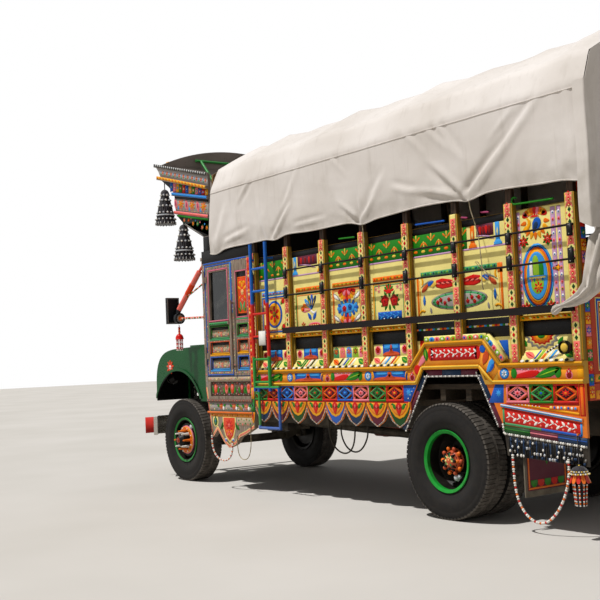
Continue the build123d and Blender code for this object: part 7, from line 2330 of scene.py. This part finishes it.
def cab_sill_work(piece, side):
    """Worn fields and blossoms under the door, between mouldings."""
    face, base, rail = (side_face(piece, side, y) for y in (POST_Y, 1.200, 1.236))
    face.board(1.028, 1.306, 1.940, 1.318, "navy", 1)
    picked_field(face, 1.028, 1.256, 1.938, 1.304, "tan", 20, ("cream", "salmon", "mint", "ochre", "lilac"),
                 1, 0.009)
    picked_field(base, 1.018, 1.084, 1.882, 1.247, "umber", 17,
                 ("salmon", "grey", "tan", "lilac", "mint"), 1, 0.010)
    for u, paint in ((1.800, "red_orange"), (1.565, "salmon"), (1.440, "red_orange"), (1.235, "deep_red"),
                     (1.100, "salmon")):
        base.put("oval", u, 1.168, 0.034, 0.058, paint, 0.0, 3)
        base.put("rose", u, 1.180, 0.026, 0.030, "red_orange" if paint == "salmon" else "salmon", 0.0, 4)
        for flank in (-1, 1):
            base.put("leaf", u + flank * 0.056, 1.150, 0.044, 0.044, "green", math.pi / 2 - flank * 0.25, 3)
    rail.board(0.997, 1.012, 1.953, 1.048, "umber", 1)
    rail.row("disc", (1.00, 1.030), (1.95, 1.030), 26, 0.006, 0.006, ("salmon", "tan"), 2)
    picked_field(face, 1.000, 0.908, 1.930, 1.008, "grey_wood", 18,
                 ("cream", "lilac", "salmon", "mint", "tan"), 1, 0.010)
    for u, paint in ((1.660, "red_orange"), (1.385, "red_orange"), (1.130, "salmon")):
        face.flower(u, 0.965, 0.042, paint, "yellow", 3, 7)
        face.put("rose", u - 0.050, 0.942, 0.024, 0.024, "white", 0.0, 4)
        for flank in (-1, 1):
            face.put("leaf", u + flank * 0.066, 0.972, 0.036, 0.036, "green", flank * 0.5, 3)
    face.put("leaf", 1.250, 0.950, 0.060, 0.040, "ochre", 0.5, 4)
    rail.board(0.997, 0.882, 1.953, 0.903, "orange", 1)


def cab_apron_work(piece, side):
    """Shield, leaves and small pendants along the low edge of the cab."""
    face, mid = side_face(piece, side, POST_Y), 1.505
    face.board(0.998, 0.842, 1.905, 0.880, "yellow", 1)
    face.row("rosette", (1.01, 0.861), (1.89, 0.861), 24, 0.012, 0.012, ("orange", "salmon", "red"), 2, 0.0)
    picked_field(face, 1.020, 0.745, 1.340, 0.838, "tan", 6, ("green", "ochre", "salmon", "mint"), 1, 0.013)
    face.put("shield", mid, 0.690, 0.140, 0.150, "cream", 0.0, 1)
    face.put("shield", mid, 0.700, 0.122, 0.135, "red_orange", 0.0, 2)
    face.flower(mid, 0.745, 0.075, "red", "salmon", 3, 8)
    face.flower(mid, 0.640, 0.045, "red_orange", "yellow", 5, 6)
    face.palmette(mid, 0.690, 0.080, 0.060, ("orange", "salmon"), -1, 3, 5)
    for u in (1.425, 1.580):
        face.put("disc", u, 0.575, 0.024, 0.024, "white", 0.0, 4)
        face.put("disc", u, 0.575, 0.017, 0.017, "blue", 0.0, 5)
    for u, turn in ((1.330, 1.1), (1.290, 0.6), (1.675, 2.0), (1.700, 2.6)):
        face.leaf(u, 0.700, 0.095, turn, "green", "dark_green", 3)
    face.put("oval", 1.800, 0.790, 0.062, 0.068, "cream", 0.0, 1)
    face.put("leaf", 1.800, 0.790, 0.060, 0.085, "dark_green", math.pi / 2, 2)
    face.put("leaf", 1.800, 0.790, 0.040, 0.040, "mint", math.pi / 2, 3)
    face.put("disc", 1.800, 0.790, 0.010, 0.010, "blue", 0.0, 4)
    face.board(0.962, 1.052, 1.020, 1.178, "yellow", 3)
    face.put("drop", 0.992, 1.112, 0.020, 0.044, "salmon", 0.0, 4)
    face.board(0.962, 0.912, 1.034, 1.046, "green", 3)
    face.put("diamond", 0.998, 0.980, 0.028, 0.048, "mint", 0.0, 4)
    face.put("diamond", 0.998, 0.980, 0.014, 0.026, "black", 0.0, 5)
    face.put("pendant", 1.000, 0.842, 0.040, 0.062, "yellow", 0.0, 3)
    face.put("pendant", 1.000, 0.850, 0.030, 0.048, "orange", 0.0, 4)
    face.put("drop", 1.000, 0.856, 0.016, 0.032, "red", 0.0, 5)
    inner = [(u, v + 0.016) for u, v in CAB_EDGE[:-2]] + [(1.922, 0.905), (1.980, 1.185)]
    follow(face, inner, 0.008, "salmon", 2)
    follow(face, [(u, v + 0.015) for u, v in inner[:-2]] + [(1.908, 0.908), (1.964, 1.185)], 0.004,
           "cream", 2)
    face.beads(CAB_EDGE[:-2], 0.006, ("cream", "pink"))


def cab_side_work(side, name):
    """Ornament of the cab side, all but what swings with the door."""
    piece = Painted(f"cab_{name}_ornament", "chassis", "cab_wood")
    cab_wall_work(piece, side)
    cab_sill_work(piece, side)
    cab_apron_work(piece, side)
    piece.make()


class TRUCK_OT_cab_work(bpy.types.Operator):
    """Painted doors and sides of the cab"""
    bl_idname = "truck.cab_work"
    bl_label = "Cab ornament"

    def execute(self, context):
        for side, name in SIDES:
            door_work(side, name)
            cab_side_work(side, name)
        return {"FINISHED"}


# Painted crown over the cab

CROWN_HALF = 1.205
CROWN_STEP_X = 1.805
CROWN_LINES = (
    # front end of the line, its height there, its height at the step, the moulding's overhang
    (2.385, 3.190, 2.985, 0.000),
    (2.595, 3.385, 3.225, 0.018),
    (2.620, 3.620, 3.450, 0.026),
    (2.955, 3.880, 3.575, 0.040),
    (3.070, 4.060, 3.735, 0.022),
)


def crown_z(number, u):
    """Height of one of the crown's lines at a place along it."""
    end, front_z, step_z, _ = CROWN_LINES[number]
    return step_z + (front_z - step_z) * (u - CROWN_STEP_X) / (end - CROWN_STEP_X)


def crown_field(face, number, low, high, ground):
    """Ground between two lines of the crown, as far as its leaning front edge."""
    low_end, high_end = CROWN_LINES[number][0], CROWN_LINES[number + 1][0]
    corners = [(CROWN_STEP_X + 0.003, crown_z(number, CROWN_STEP_X) + low),
               (low_end - 0.004, crown_z(number, low_end) + low),
               (high_end - 0.004, crown_z(number + 1, high_end) - high),
               (CROWN_STEP_X + 0.003, crown_z(number + 1, CROWN_STEP_X) - high)]
    face.quad(corners, ground)


def crown_line(number, lift, u):
    """Point on a line of the crown."""
    return u, crown_z(number, u) + lift


def crown_side(piece, bright, side):
    """Bands and blossoms on one side of the crown."""
    face = side_face(piece, side, CROWN_HALF)
    start = CROWN_STEP_X + 0.004
    # lowest, dark band
    face.quad([(1.96, 2.745), (1.96, 2.985), (1.81, 2.985), (1.81, 2.745)], "black", 1)
    face.quad([(1.81, 2.990), (1.95, 2.992), (2.380, 3.196), (1.81, 3.196)], "black", 1)
    crown_field(face, 0, 0.000, 0.036, "black")
    for k, paint in enumerate(("orange", "salmon", "mint", "orange", "red", "salmon")):
        u = 1.86 + 0.105 * k
        face.spray(u, crown_z(0, u) + 0.085 - 0.020 * (k % 2), 0.030, paint, "yellow", 2)
        face.put("oval", u + 0.052, crown_z(0, u) + 0.135, 0.012, 0.012, ("sky", "pink")[k % 2], 0.0, 2)
    face.strip((1.955, 3.004), (2.372, 3.203), 0.006, "grey", 3)
    face.strip(crown_line(1, -0.046, start), crown_line(1, -0.046, 2.545), 0.012, "green", 2, 0.014)
    # large panel
    crown_field(face, 1, 0.018, 0.034, "grey_wood")
    face.strip(crown_line(2, -0.045, start), crown_line(2, -0.045, 2.600), 0.014, "black", 2, 0.010)
    for k in range(3):
        u = 1.925 + 0.265 * k
        v = (crown_z(1, u) + crown_z(2, u)) / 2 - 0.008
        face.flower(u, v, 0.068, "orange", "yellow", 2, 8)
        face.flower(u, v, 0.034, "yellow", "orange", 4, 6)
        mid = u + 0.132
        v = (crown_z(1, mid) + crown_z(2, mid)) / 2 - 0.008
        face.put("leaf", mid, v, 0.085, 0.078, "pink", 1.35, 2)
        face.put("leaf", mid, v, 0.060, 0.040, "salmon", 1.35, 3)
        face.put("oval", mid, v, 0.012, 0.034, "plum", -0.2, 4)
        for way in (-1, 1):
            face.put("drop", u + 0.066, v + way * 0.066, 0.022, 0.024, "sky", 0.0 if way > 0 else math.pi, 2)
            face.put("disc", u - 0.060, v + way * 0.070, 0.010, 0.010, "mint", 0.0, 2)
    face.row("disc", crown_line(1, 0.030, start), crown_line(1, 0.030, 2.55), 22, 0.007, 0.007,
             ("pink", "cream"), 2)
    # band of coloured blocks
    crown_field(face, 2, 0.018, 0.034, "black")
    blocks = ("yellow", "red", "blue", "pink", "green", "yellow",
              "blue", "red", "green", "yellow", "pink", "blue")
    for k in range(12):
        u = start + 0.035 + 0.076 * k
        low, high = crown_z(2, u) + 0.022, crown_z(3, u) - 0.036
        top = min(high, low + 0.062 + 0.006 * k)
        face.put("board", u, (low + top) / 2, 0.034, (top - low) / 2, blocks[k], 0.0, 2)
        face.put("rosette", u, (low + top) / 2, 0.020, 0.020, blocks[(k + 5) % 12], 0.0, 3)
        face.put("disc", u, (low + top) / 2, 0.008, 0.008, "white", 0.0, 4)
    face.strip((start, crown_z(2, start) + 0.102), (2.86, crown_z(2, 2.86) + 0.172), 0.011,
               "yellow", 3, 0.008)
    # white band with red blossoms
    crown_field(face, 3, 0.020, 0.032, "pale_grey")
    for k in range(11):
        u = start + 0.05 + 0.103 * k
        v = (crown_z(3, u) + crown_z(4, u)) / 2 - 0.006
        face.flower(u, v, 0.026, "red_orange", "cream", 2, 6)
        face.put("leaf", u + 0.050, v - 0.010, 0.020, 0.020, "mint", 0.7, 2)
        face.put("leaf", u + 0.050, v + 0.016, 0.018, 0.016, "sky", -0.6, 2)
    # mouldings
    for number, paints in ((1, ("pink", "salmon")), (2, ("blue", "sky")), (3, ("yellow", "gold", "orange")),
                           (4, ("black", "black"))):
        end, _, _, over = CROWN_LINES[number]
        rail = side_face(piece, side, CROWN_HALF + over)
        a, b = crown_line(number, -0.006, start), crown_line(number, -0.006, end + over - 0.004)
        rail.strip(a, b, 0.018, paints[0], 1)
        count = 30
        for k in range(count):
            share = (k + 0.5) / count
            rail.put("leaf", a[0] + (b[0] - a[0]) * share, a[1] + (b[1] - a[1]) * share, 0.024, 0.020,
                     paints[1 + k % (len(paints) - 1)], 0.9, 2, 0.004)
    glint = side_face(bright, side, CROWN_HALF + 0.022)
    for k in range(24):
        u = start + 0.03 + 0.052 * k
        if u < 3.085:
            glint.put("disc", u, crown_z(4, u) - 0.004, 0.015, 0.015, "white", 0.0, 1, 0.006)
            glint.put("disc", u, crown_z(4, u) - 0.004, 0.008, 0.008, "steel", 0.0, 1, 0.010)


def crown_front(piece):
    """Bands on the leaning front of the crown, between its mouldings."""
    stops = [(line[0], line[1]) for line in CROWN_LINES]
    grounds = ("black", "grey_wood", "blue", "grey")
    for number, ((x0, z0), (x1, z1)) in enumerate(zip(stops, stops[1:])):
        run = math.hypot(x1 - x0, z1 - z0)
        up = ((x1 - x0) / run, 0.0, (z1 - z0) / run)
        face = Face(piece, (x0, 0.0, z0), (0, 1, 0), up, (up[2], 0.0, -up[0]))
        low, high = 0.030, run - 0.045
        face.board(-1.195, low, 1.195, high, grounds[number], 1)
        count = (20, 12, 22, 20)[number]
        mid = (low + high) / 2
        for k in range(count):
            u = -1.16 + 2.32 * (k + 0.5) / count
            reach = min(0.075, (high - low) * 0.42)
            if number == 1 and k % 2:
                face.put("leaf", u, mid, reach * 1.1, reach, "pink", math.pi / 2, 2)
                face.put("leaf", u, mid, reach * 0.7, reach * 0.4, "salmon", math.pi / 2, 3)
            else:
                face.flower(u, mid, reach, (("orange", "salmon"), ("orange", "orange"), ("yellow", "red"),
                                            ("red_orange", "sky"))[number][k % 2], "cream", 2, 6)
        face.row("board", (-1.19, low + 0.008), (1.19, low + 0.008), 40, 0.028, 0.006,
                 ("yellow", "red", "green", "sky", "pink"), 2, 0.0)


def crest_work(piece):
    """Rosettes along the arched crest over the crown's front."""
    face = front_face(piece, 3.066)
    for k in range(17):
        v = -1.0 + 2.0 * k / 16
        height = 4.095 + 0.165 * (1 - v * v) - 0.010
        face.put("rosette", v * 1.02, height, 0.046, 0.040, ("yellow", "sky", "pink", "orange")[k % 4], 0.0,
                 1, 0.004)
        face.put("disc", v * 1.02, height, 0.020, 0.018, "red", 0.0, 1, 0.007)


class TRUCK_OT_crown_work(bpy.types.Operator):
    """Painted bands, blossoms and mouldings of the crown"""
    bl_idname = "truck.crown_work"
    bl_label = "Crown ornament"

    def execute(self, context):
        piece = Painted("crown_ornament", "chassis", "crown_paint")
        bright = Painted("crown_studs", "chassis", "crown_paint", "bright_ornament")
        for side in (1, -1):
            crown_side(piece, bright, side)
        crown_front(piece)
        crest_work(piece)
        piece.make()
        bright.make()
        return {"FINISHED"}


# Painted hubs

HUBS = (
    # body, slot, axle, side of the truck, whether it is a rear one
    ("front_left_wheel", "front_rim_paint", FRONT_AXLE_X, 1, False),
    ("front_right_wheel", "front_rim_paint", FRONT_AXLE_X, -1, False),
    ("rear_left_wheel", "rim_paint", REAR_AXLE_X, 1, True),
    ("rear_right_wheel", "rim_paint", REAR_AXLE_X, -1, True),
)


def outward(side, radius, depth):
    """Array that lays a shape's own Z along the axle, out of the truck."""
    return np.array(((radius, 0.0, 0.0), (0.0, 0.0, side * depth), (0.0, radius, 0.0)))


def ring_of(piece, shape, axle, y, circle, count, radius, depth, side, paints, start=0.0):
    """Like pieces standing out on a circle round the axle."""
    for number in range(count):
        turn = 2 * math.pi * (number + start) / count
        place = (axle + circle * math.cos(turn), side * y, AXLE_Z + circle * math.sin(turn))
        piece.add(SHAPES[shape], outward(side, radius, depth), place, paints[number % len(paints)])


def rear_hub(piece, face, axle, side):
    """Copper hub with a painted blossom, orange stud balls and a bright bit below."""
    piece.add(SHAPES["cap"], outward(side, 0.100, 0.075), (axle, side * 1.080, AXLE_Z), "copper")
    ring_of(piece, "bead", axle, 1.108, 0.112, 10, 0.020, 0.022, side, ("orange", "copper"))
    ring_of(piece, "cap", axle, 1.118, 0.076, 5, 0.018, 0.018, side, ("black", "copper", "orange"), 0.5)
    face.flower(0.0, 0.012, 0.050, "cream", "red_orange", 1, 7)
    for k in range(5):
        turn = 0.5 + 2 * math.pi * k / 5
        face.leaf(0.020 * math.cos(turn), 0.012 + 0.020 * math.sin(turn), 0.046, turn, "mint", "green", 1)
    for shape, size, high, back, y, drop in (("cap", 0.030, 0.030, 0.030, 1.085, 0.150),
                                             ("bead", 0.020, 0.022, 0.070, 1.092, 0.138)):
        piece.add(SHAPES[shape], outward(side, size, high), (axle - back, side * y, AXLE_Z - drop), "steel")


def front_hub(piece, face, axle, side):
    """Ringed disc with a blossom, orange and white sleeves over the nuts, and a bright steel cap where the
    hub shows a reflection, partly a chrome part and partly painted highlight.
    """
    for radius, paint, y in ((0.170, "pink", 1.010), (0.160, "yellow", 1.016), (0.146, "orange", 1.022)):
        for k in range(3):
            hoop = outward(side, radius - 0.008 * k, 0.020)
            piece.add(SHAPES["ring"], hoop, (axle, side * y, AXLE_Z), paint)
    for k in range(16):
        turn = 2 * math.pi * k / 16
        face.put("drop", 0.152 * math.cos(turn), 0.152 * math.sin(turn), 0.010, 0.014,
                 ("red", "white", "green", "white")[k % 4], turn - math.pi / 2, 1)
    ring_of(piece, "cone", axle, 1.068, 0.109, 8, 0.0185, 0.056, side, ("orange", "white"))
    ring_of(piece, "bead", axle, 1.116, 0.109, 8, 0.011, 0.011, side, ("gold", "steel"))
    piece.add(SHAPES["cone"], outward(side, 0.062, 0.060), (axle, side * 1.075, AXLE_Z), "deep_red")
    end = side_face(piece, side, 1.137)
    end.flower(axle, AXLE_Z, 0.034, "orange", "yellow", 1, 6)
    # steel cap at the upper rear of the disc: partly a chrome part, partly painted highlight
    highlight_knob = outward(side, 0.030, 0.022)
    piece.add(SHAPES["cap"], highlight_knob, (axle - 0.110, side * 1.000, AXLE_Z + 0.165), "steel")


class TRUCK_OT_wheel_work(bpy.types.Operator):
    """Painted hubs, stud balls, nut sleeves and bright bits, which turn with their wheels"""
    bl_idname = "truck.wheel_work"
    bl_label = "Painted hubs"

    def execute(self, context):
        for body, slot, axle, side, rear in HUBS:
            piece = Painted(body.replace("_wheel", "_hub_work"), body, slot, "bright_ornament")
            if rear:
                rear_hub(piece, Face(piece, (axle, side * 1.150, AXLE_Z), out=(0, side, 0)), axle, side)
            else:
                front_hub(piece, Face(piece, (axle, side * 1.036, AXLE_Z), out=(0, side, 0)), axle, side)
            piece.make(40)
        return {"FINISHED"}


# Mirrors, ladder plate, lamps, front and tail

def rod(piece, start, end, radius, paint):
    """Round rod from one point to another."""
    start, end = Vector(start), Vector(end)
    way = end - start
    piece.add(SHAPES["post_rod"], turn_to(way.normalized()) @ np.diag([radius, radius, way.length / 2]),
              (start + end) / 2, paint)


def string_of(piece, start, end, count, radius, paints):
    """Beads in a straight row from one point to another."""
    for number in range(count):
        place = Vector(start).lerp(Vector(end), (number + 0.5) / count)
        piece.add(SHAPES["bead"], np.eye(3) * radius, place, paints[number % len(paints)])


def mirror_work(side, name):
    """Salmon wrapping on the stay, beads on the arm, bright edges and the red tassel under the mirror."""
    wrap = Painted(f"mirror_{name}_wrapping", "chassis", "mirror_stay")
    rod(wrap, (2.075, side * 1.206, 2.581), (2.452, side * 1.287, 2.146), 0.033, "salmon")
    rod(wrap, (2.20, side * 1.233, 2.437), (2.30, side * 1.254, 2.322), 0.036, "red_orange")
    wrap.make(40)
    x, y = 2.462, side * 1.290
    trim = Painted(f"mirror_{name}_trim", "chassis", "mirror_stay", "bright_ornament")
    string_of(trim, (2.440, side * 1.284, 2.032), (2.020, side * 1.196, 2.024), 22, 0.014,
              ("white", "orange", "white", "green", "red"))
    string_of(trim, (2.300, side * 1.262, 2.290), (2.020, side * 1.202, 2.425), 14, 0.012,
              ("green", "orange", "white", "red"))
    back = rear_face(trim, 2.426, y, 2.035)
    back.put("disc", 0.0, 0.0, 0.050, 0.050, "grey", 0.0, 1)
    back.put("rosette", 0.0, 0.0, 0.032, 0.032, "orange", 0.0, 2)
    glass = rear_face(trim, 2.5745, side * 1.300)
    glass.border(-0.082, 1.980, 0.082, 2.295, 0.009, "grey")
    rod(trim, (x, y, 1.955), (x, y, 1.800), 0.005, "red")
    string_of(trim, (x, y, 1.930), (x, y, 1.850), 4, 0.015, ("red", "orange"))
    trim.add(SHAPES["cap"], np.diag([0.050, 0.050, 0.060]), (x, y, 1.790), "red")
    for number in range(7):
        turn = 2 * math.pi * number / 7
        top, foot = around((x, y), 0.036, turn, 1.785), around((x, y), 0.036, turn, 1.640)
        string_of(trim, top, foot, 9, 0.009, ("red", "red_orange", "white"))
    trim.make(40)


BAR_Y = 1.200


def side_details(side, name):
    """Hook bars under the hem, the round lamp at the tail, and the wing's reflector and lamp."""
    bars = Painted(f"{name}_hook_bars", "chassis", "dark_rail")
    for x0, x1, z, paint in ((-2.935, -3.335, 2.665, "green"), (-1.750, -2.124, 2.652, "blue"),
                             (-0.629, -0.875, 2.658, "green"), (-2.330, -2.400, 2.640, "plum"),
                             (-2.560, -2.650, 2.655, "plum")):
        rod(bars, (x0, side * BAR_Y, z), (x1, side * BAR_Y, z - 0.012), 0.008, paint)
        for x in (x0 - 0.03, x1 + 0.03):
            rod(bars, (x, side * BAR_Y, z), (x, side * 1.165, z), 0.006, "black")
    bend = [(-2.935 + 0.030 * math.sin(turn), side * BAR_Y, 2.695 - 0.030 * math.cos(turn))
            for turn in (0.0, 0.8, 1.6, 2.4, 3.2, 4.0)]
    for start, end in zip(bend, bend[1:]):
        rod(bars, start, end, 0.008, "green")
    bars.make(40)
    lamp = Painted(f"{name}_tail_lamp", "chassis", "body_paint", "bright_ornament")
    rod(lamp, (-3.419, side * 1.165, 1.478), (-3.419, side * 1.262, 1.478), 0.030, "black")
    flat = outward(side, 0.052, 0.036)
    lamp.add(SHAPES["ring"], flat, (-3.419, side * 1.262, 1.478), "black")
    lamp.add(SHAPES["ring"], flat * 0.86, (-3.419, side * 1.266, 1.478), "black")
    lamp.add(SHAPES["cap"], outward(side, 0.038, 0.022), (-3.419, side * 1.262, 1.478), "gold")
    string_of(lamp, (-3.330, side * 1.225, 1.500), (-3.20, side * 1.225, 1.440), 9, 0.010, ("white", "black"))
    lamp.make(40)
    wing = Painted(f"{name}_wing_trim", "chassis", "green_paint", "bright_ornament")
    face = side_face(wing, side, 1.112)
    face.put("disc", 3.035, 1.440, 0.060, 0.060, "red", 0.0, 1)
    face.flower(3.035, 1.440, 0.090, "red_orange", "white", 2, 9)
    wing.add(SHAPES["cap"], outward(side, 0.034, 0.030), (2.105, side * 1.112, 1.300), "white")
    wing.make(40)


def front_work():
    """Painted bumper, and a star, blossom and fan on the grille inside a bright border."""
    piece = Painted("front_ornament", "chassis", "bright_metal")
    bumper = front_face(piece, 3.7555)
    bumper.board(-1.115, 0.575, 1.115, 0.785, "red")
    bumper.border(-1.105, 0.585, 1.105, 0.775, 0.014, "yellow", 2)
    bumper.row("diamond", (-1.06, 0.680), (1.06, 0.680), 13, 0.060, 0.060, ("cream", "green", "sky"), 2)
    bumper.row("rosette", (-1.06, 0.680), (1.06, 0.680), 13, 0.032, 0.032, ("red", "yellow", "white"), 3)
    bumper.row("disc", (-0.98, 0.680), (0.98, 0.680), 12, 0.012, 0.012, ("yellow",), 2)
    piece.make()
    nose = Painted("grille_ornament", "chassis", "bright_metal", "bright_ornament")
    face = front_face(nose, 3.446)
    face.border(-0.536, 1.012, 0.536, 1.498, 0.020, "steel")
    face.put("star", 0.0, 1.270, 0.150, 0.150, "gold", 0.0, 2)
    face.flower(0.0, 1.270, 0.085, "red", "white", 3, 8)
    face.palmette(0.0, 1.400, 0.200, 0.080, ("red", "gold", "green"), 1, 2, 7)
    nose.make()


def rear_column(face, u, low, high, paints):
    """Column of painted blocks with a blossom in each."""
    v, count = low, 0
    while v < high - 0.05:
        top = min(v + 0.095, high)
        face.board(u - 0.029, v, u + 0.029, top - 0.006, paints[count % len(paints)], 1)
        face.flower(u, (v + top) / 2, 0.030, paints[(count + 2) % len(paints)], "cream", 2, 6)
        v, count = top, count + 1


def rear_work():
    """Painted corner posts, sill and header of the rear frame, and the gate's three boards."""
    frame_piece = Painted("rear_frame_ornament", "chassis", "gate_paint")
    face = rear_face(frame_piece, BODY_REAR_X - 0.0005)
    for u in (-1.135, 1.135):
        rear_column(face, u, 1.080, 2.560, ("yellow", "blue", "red", "green", "orange", "pink"))
    face.board(-1.09, 1.070, 1.09, 1.135, "amber")
    face.row("rosette", (-1.07, 1.102), (1.07, 1.102), 27, 0.024, 0.024, ("red", "green", "blue", "white"), 2)
    frame_piece.make()
    gate = Painted("tailgate_ornament", "tailgate", "gate_paint")
    board = rear_face(gate, BODY_REAR_X + 0.0135)
    rim = rear_face(gate, BODY_REAR_X - 0.0005)
    for v in (1.232, 1.912):
        rim.board(-1.090, v - 0.028, 1.090, v + 0.028, "amber")
        rim.row("leaf", (-1.07, v), (1.07, v), 30, 0.026, 0.030, ("green", "red"), 2, 0.5)
    for mid, half in ((-0.7117, 0.320), (0.0, 0.340), (0.7117, 0.320)):
        board.board(mid - half + 0.006, 1.285, mid + half - 0.006, 1.860, "cream")
        board.border(mid - half + 0.018, 1.297, mid + half - 0.018, 1.848, 0.020, "blue", 2)
        board.border(mid - half + 0.046, 1.325, mid + half - 0.046, 1.820, 0.010, "red", 2)
        board.spray(mid, 1.572, 0.135, "red", "yellow", 2)
        for du in (-1, 1):
            for dv in (-1, 1):
                board.spray(mid + du * (half - 0.10), 1.572 + dv * 0.190, 0.042, "orange", "white", 2)
    gate.make()
    flaps = Painted("mudflap_ornament", "chassis", "flap_rubber")
    back = rear_face(flaps, -2.8815)
    for mid in (-0.9125, 0.9125):
        back.board(mid - 0.245, 0.320, mid + 0.245, 0.980, "maroon")
        back.border(mid - 0.235, 0.330, mid + 0.235, 0.970, 0.016, "orange", 2)
        back.spray(mid, 0.680, 0.130, "orange", "yellow", 2)
        back.row("scallop", (mid - 0.21, 0.375), (mid + 0.21, 0.375), 5, 0.040, 0.030, ("green", "red"), 3)
    flaps.make()


class TRUCK_OT_small_parts(bpy.types.Operator):
    """Mirror wrapping and tassels, ladder plate, hook bars, lamps, and the painted front and tail"""
    bl_idname = "truck.small_parts"
    bl_label = "Small parts, front and tail"

    def execute(self, context):
        for side, name in SIDES:
            mirror_work(side, name)
            side_details(side, name)
        plate = Painted("ladder_plate", "chassis", "ladder_paint")
        face = side_face(plate, 1, 1.278)
        face.board(0.612, 1.640, 0.745, 1.800, "pale_grey", 1, 0.004)
        face.board(0.618, 1.646, 0.739, 1.794, "white", 3)
        for x in (0.585, 0.875):
            face.board(x - 0.010, 1.650, x + 0.010, 1.790, "red", 1)
        rod(plate, (0.585, 1.270, 1.72), (0.875, 1.270, 1.72), 0.007, "black")
        plate.make()
        front_work()
        rear_work()
        return {"FINISHED"}


def place_camera(scene):
    """Camera at the view that was fitted to the photograph."""
    yaw, pitch, roll = (math.radians(angle) for angle in (-36.616, 3.343, -2.368))
    ahead = Vector((math.cos(yaw) * math.cos(pitch), math.sin(yaw) * math.cos(pitch), math.sin(pitch)))
    level = Vector((math.sin(yaw), -math.cos(yaw), 0.0))
    over = level.cross(ahead)
    right = level * math.cos(roll) + over * math.sin(roll)
    up = over * math.cos(roll) - level * math.sin(roll)
    lens = bpy.data.cameras.new("photo_view")
    lens.sensor_width = 36.0
    lens.lens = 61.63
    lens.clip_end = 200.0
    camera = bpy.data.objects.new("photo_view", lens)
    turned = Matrix((right, up, -ahead)).transposed().to_4x4()
    camera.matrix_world = Matrix.Translation((-8.590, 7.632, 1.464)) @ turned
    scene.collection.objects.link(camera)
    scene.camera = camera


def lay_floor():
    """Wide pale floor, faintly mottled."""
    deselect()
    bpy.ops.mesh.primitive_plane_add(size=160.0, location=(0.0, 0.0, 0.0))
    floor = bpy.context.object
    floor.name = "floor"
    settle(floor)
    stone = Finish("floor_paint")
    broad = stone.noise(0.4, 3.0)
    mottle = stone.spread(broad, 0.3, 0.7, 0.0, 1.0)
    stone.feed("Base Color", stone.mix(mottle, linear("C4BFB8"), linear("BBB6AE")))
    stone.set(roughness=0.9)
    floor.data.materials.append(stone.material)


def studio_world():
    """White to the eye, in glass and in reflections, and dim as a light."""
    world = bpy.data.worlds.new("studio")
    world.use_nodes = True
    tree = world.node_tree
    tree.nodes.clear()
    path = tree.nodes.new("ShaderNodeLightPath")
    seen = path.outputs["Is Camera Ray"]
    for ray in ("Is Transmission Ray", "Is Glossy Ray"):
        either = tree.nodes.new("ShaderNodeMath")
        either.operation = "MAXIMUM"
        tree.links.new(seen, either.inputs[0])
        tree.links.new(path.outputs[ray], either.inputs[1])
        seen = either.outputs[0]
    both = tree.nodes.new("ShaderNodeMixShader")
    tree.links.new(seen, both.inputs[0])
    for slot, shade, strength in ((1, (0.93, 0.96, 1.0, 1.0), 0.22), (2, (1.0, 1.0, 1.0, 1.0), 1.0)):
        sky = tree.nodes.new("ShaderNodeBackground")
        sky.inputs["Color"].default_value = shade
        sky.inputs["Strength"].default_value = strength
        tree.links.new(sky.outputs[0], both.inputs[slot])
    output = tree.nodes.new("ShaderNodeOutputWorld")
    tree.links.new(both.outputs[0], output.inputs["Surface"])
    return world


class TRUCK_OT_stage(bpy.types.Operator):
    """Pale floor, soft lights and the camera at the photograph's view"""
    bl_idname = "truck.stage"
    bl_label = "Floor, lights and camera"

    def execute(self, context):
        scene = context.scene
        scene.view_settings.view_transform = "Standard"
        place_camera(scene)
        lay_floor()
        scene.world = studio_world()
        for name, energy, spread, aim in (("sky_sun", 3.8, 1.5, (-0.15, -0.45, -1.0)),
                                          ("side_fill", 0.06, 60.0, (-0.1, -1.0, -0.3))):
            sun = bpy.data.lights.new(name, "SUN")
            sun.energy = energy
            sun.angle = math.radians(spread)
            lamp = bpy.data.objects.new(name, sun)
            lamp.rotation_euler = Vector(aim).to_track_quat("-Z", "Y").to_euler()
            scene.collection.objects.link(lamp)
        return {"FINISHED"}


PIECES = (TRUCK_OT_finishes, TRUCK_OT_shapes, TRUCK_OT_stage, TRUCK_OT_cords, TRUCK_OT_canvas, TRUCK_OT_tyres,
          TRUCK_OT_tassels, TRUCK_OT_seat, TRUCK_OT_side_panels, TRUCK_OT_posts_and_band, TRUCK_OT_skirts,
          TRUCK_OT_cab_work, TRUCK_OT_crown_work, TRUCK_OT_wheel_work, TRUCK_OT_small_parts)


class TRUCK_PT_panel(bpy.types.Panel):
    """Lists the truck's operators and their sizes and paints"""
    bl_idname = "TRUCK_PT_panel"
    bl_label = "Decorated truck"
    bl_space_type = "VIEW_3D"
    bl_region_type = "UI"
    bl_category = "Truck"

    def draw(self, context):
        layout = self.layout
        for group in (context.scene.truck_sizes, context.scene.truck_paints):
            column = layout.column(align=True)
            for name in group.__annotations__:
                column.prop(group, name)
        for operator in PIECES:
            layout.operator(operator.bl_idname)


def register():
    """Registers the properties, operators and panel."""
    for kind in (TruckPaints, TruckSizes, *PIECES, TRUCK_PT_panel):
        bpy.utils.register_class(kind)
    bpy.types.Scene.truck_paints = PointerProperty(type=TruckPaints)
    bpy.types.Scene.truck_sizes = PointerProperty(type=TruckSizes)


def unregister():
    """Takes them out again."""
    del bpy.types.Scene.truck_sizes
    del bpy.types.Scene.truck_paints
    for kind in (TRUCK_PT_panel, *PIECES[::-1], TruckSizes, TruckPaints):
        bpy.utils.unregister_class(kind)


def main():
    """Makes every piece."""
    register()
    for operator in PIECES:
        group, name = operator.bl_idname.split(".")
        done = getattr(getattr(bpy.ops, group), name)()
        if done != {"FINISHED"}:
            raise RuntimeError(f"{operator.bl_idname} did not finish")


if __name__ == "__main__":
    main()
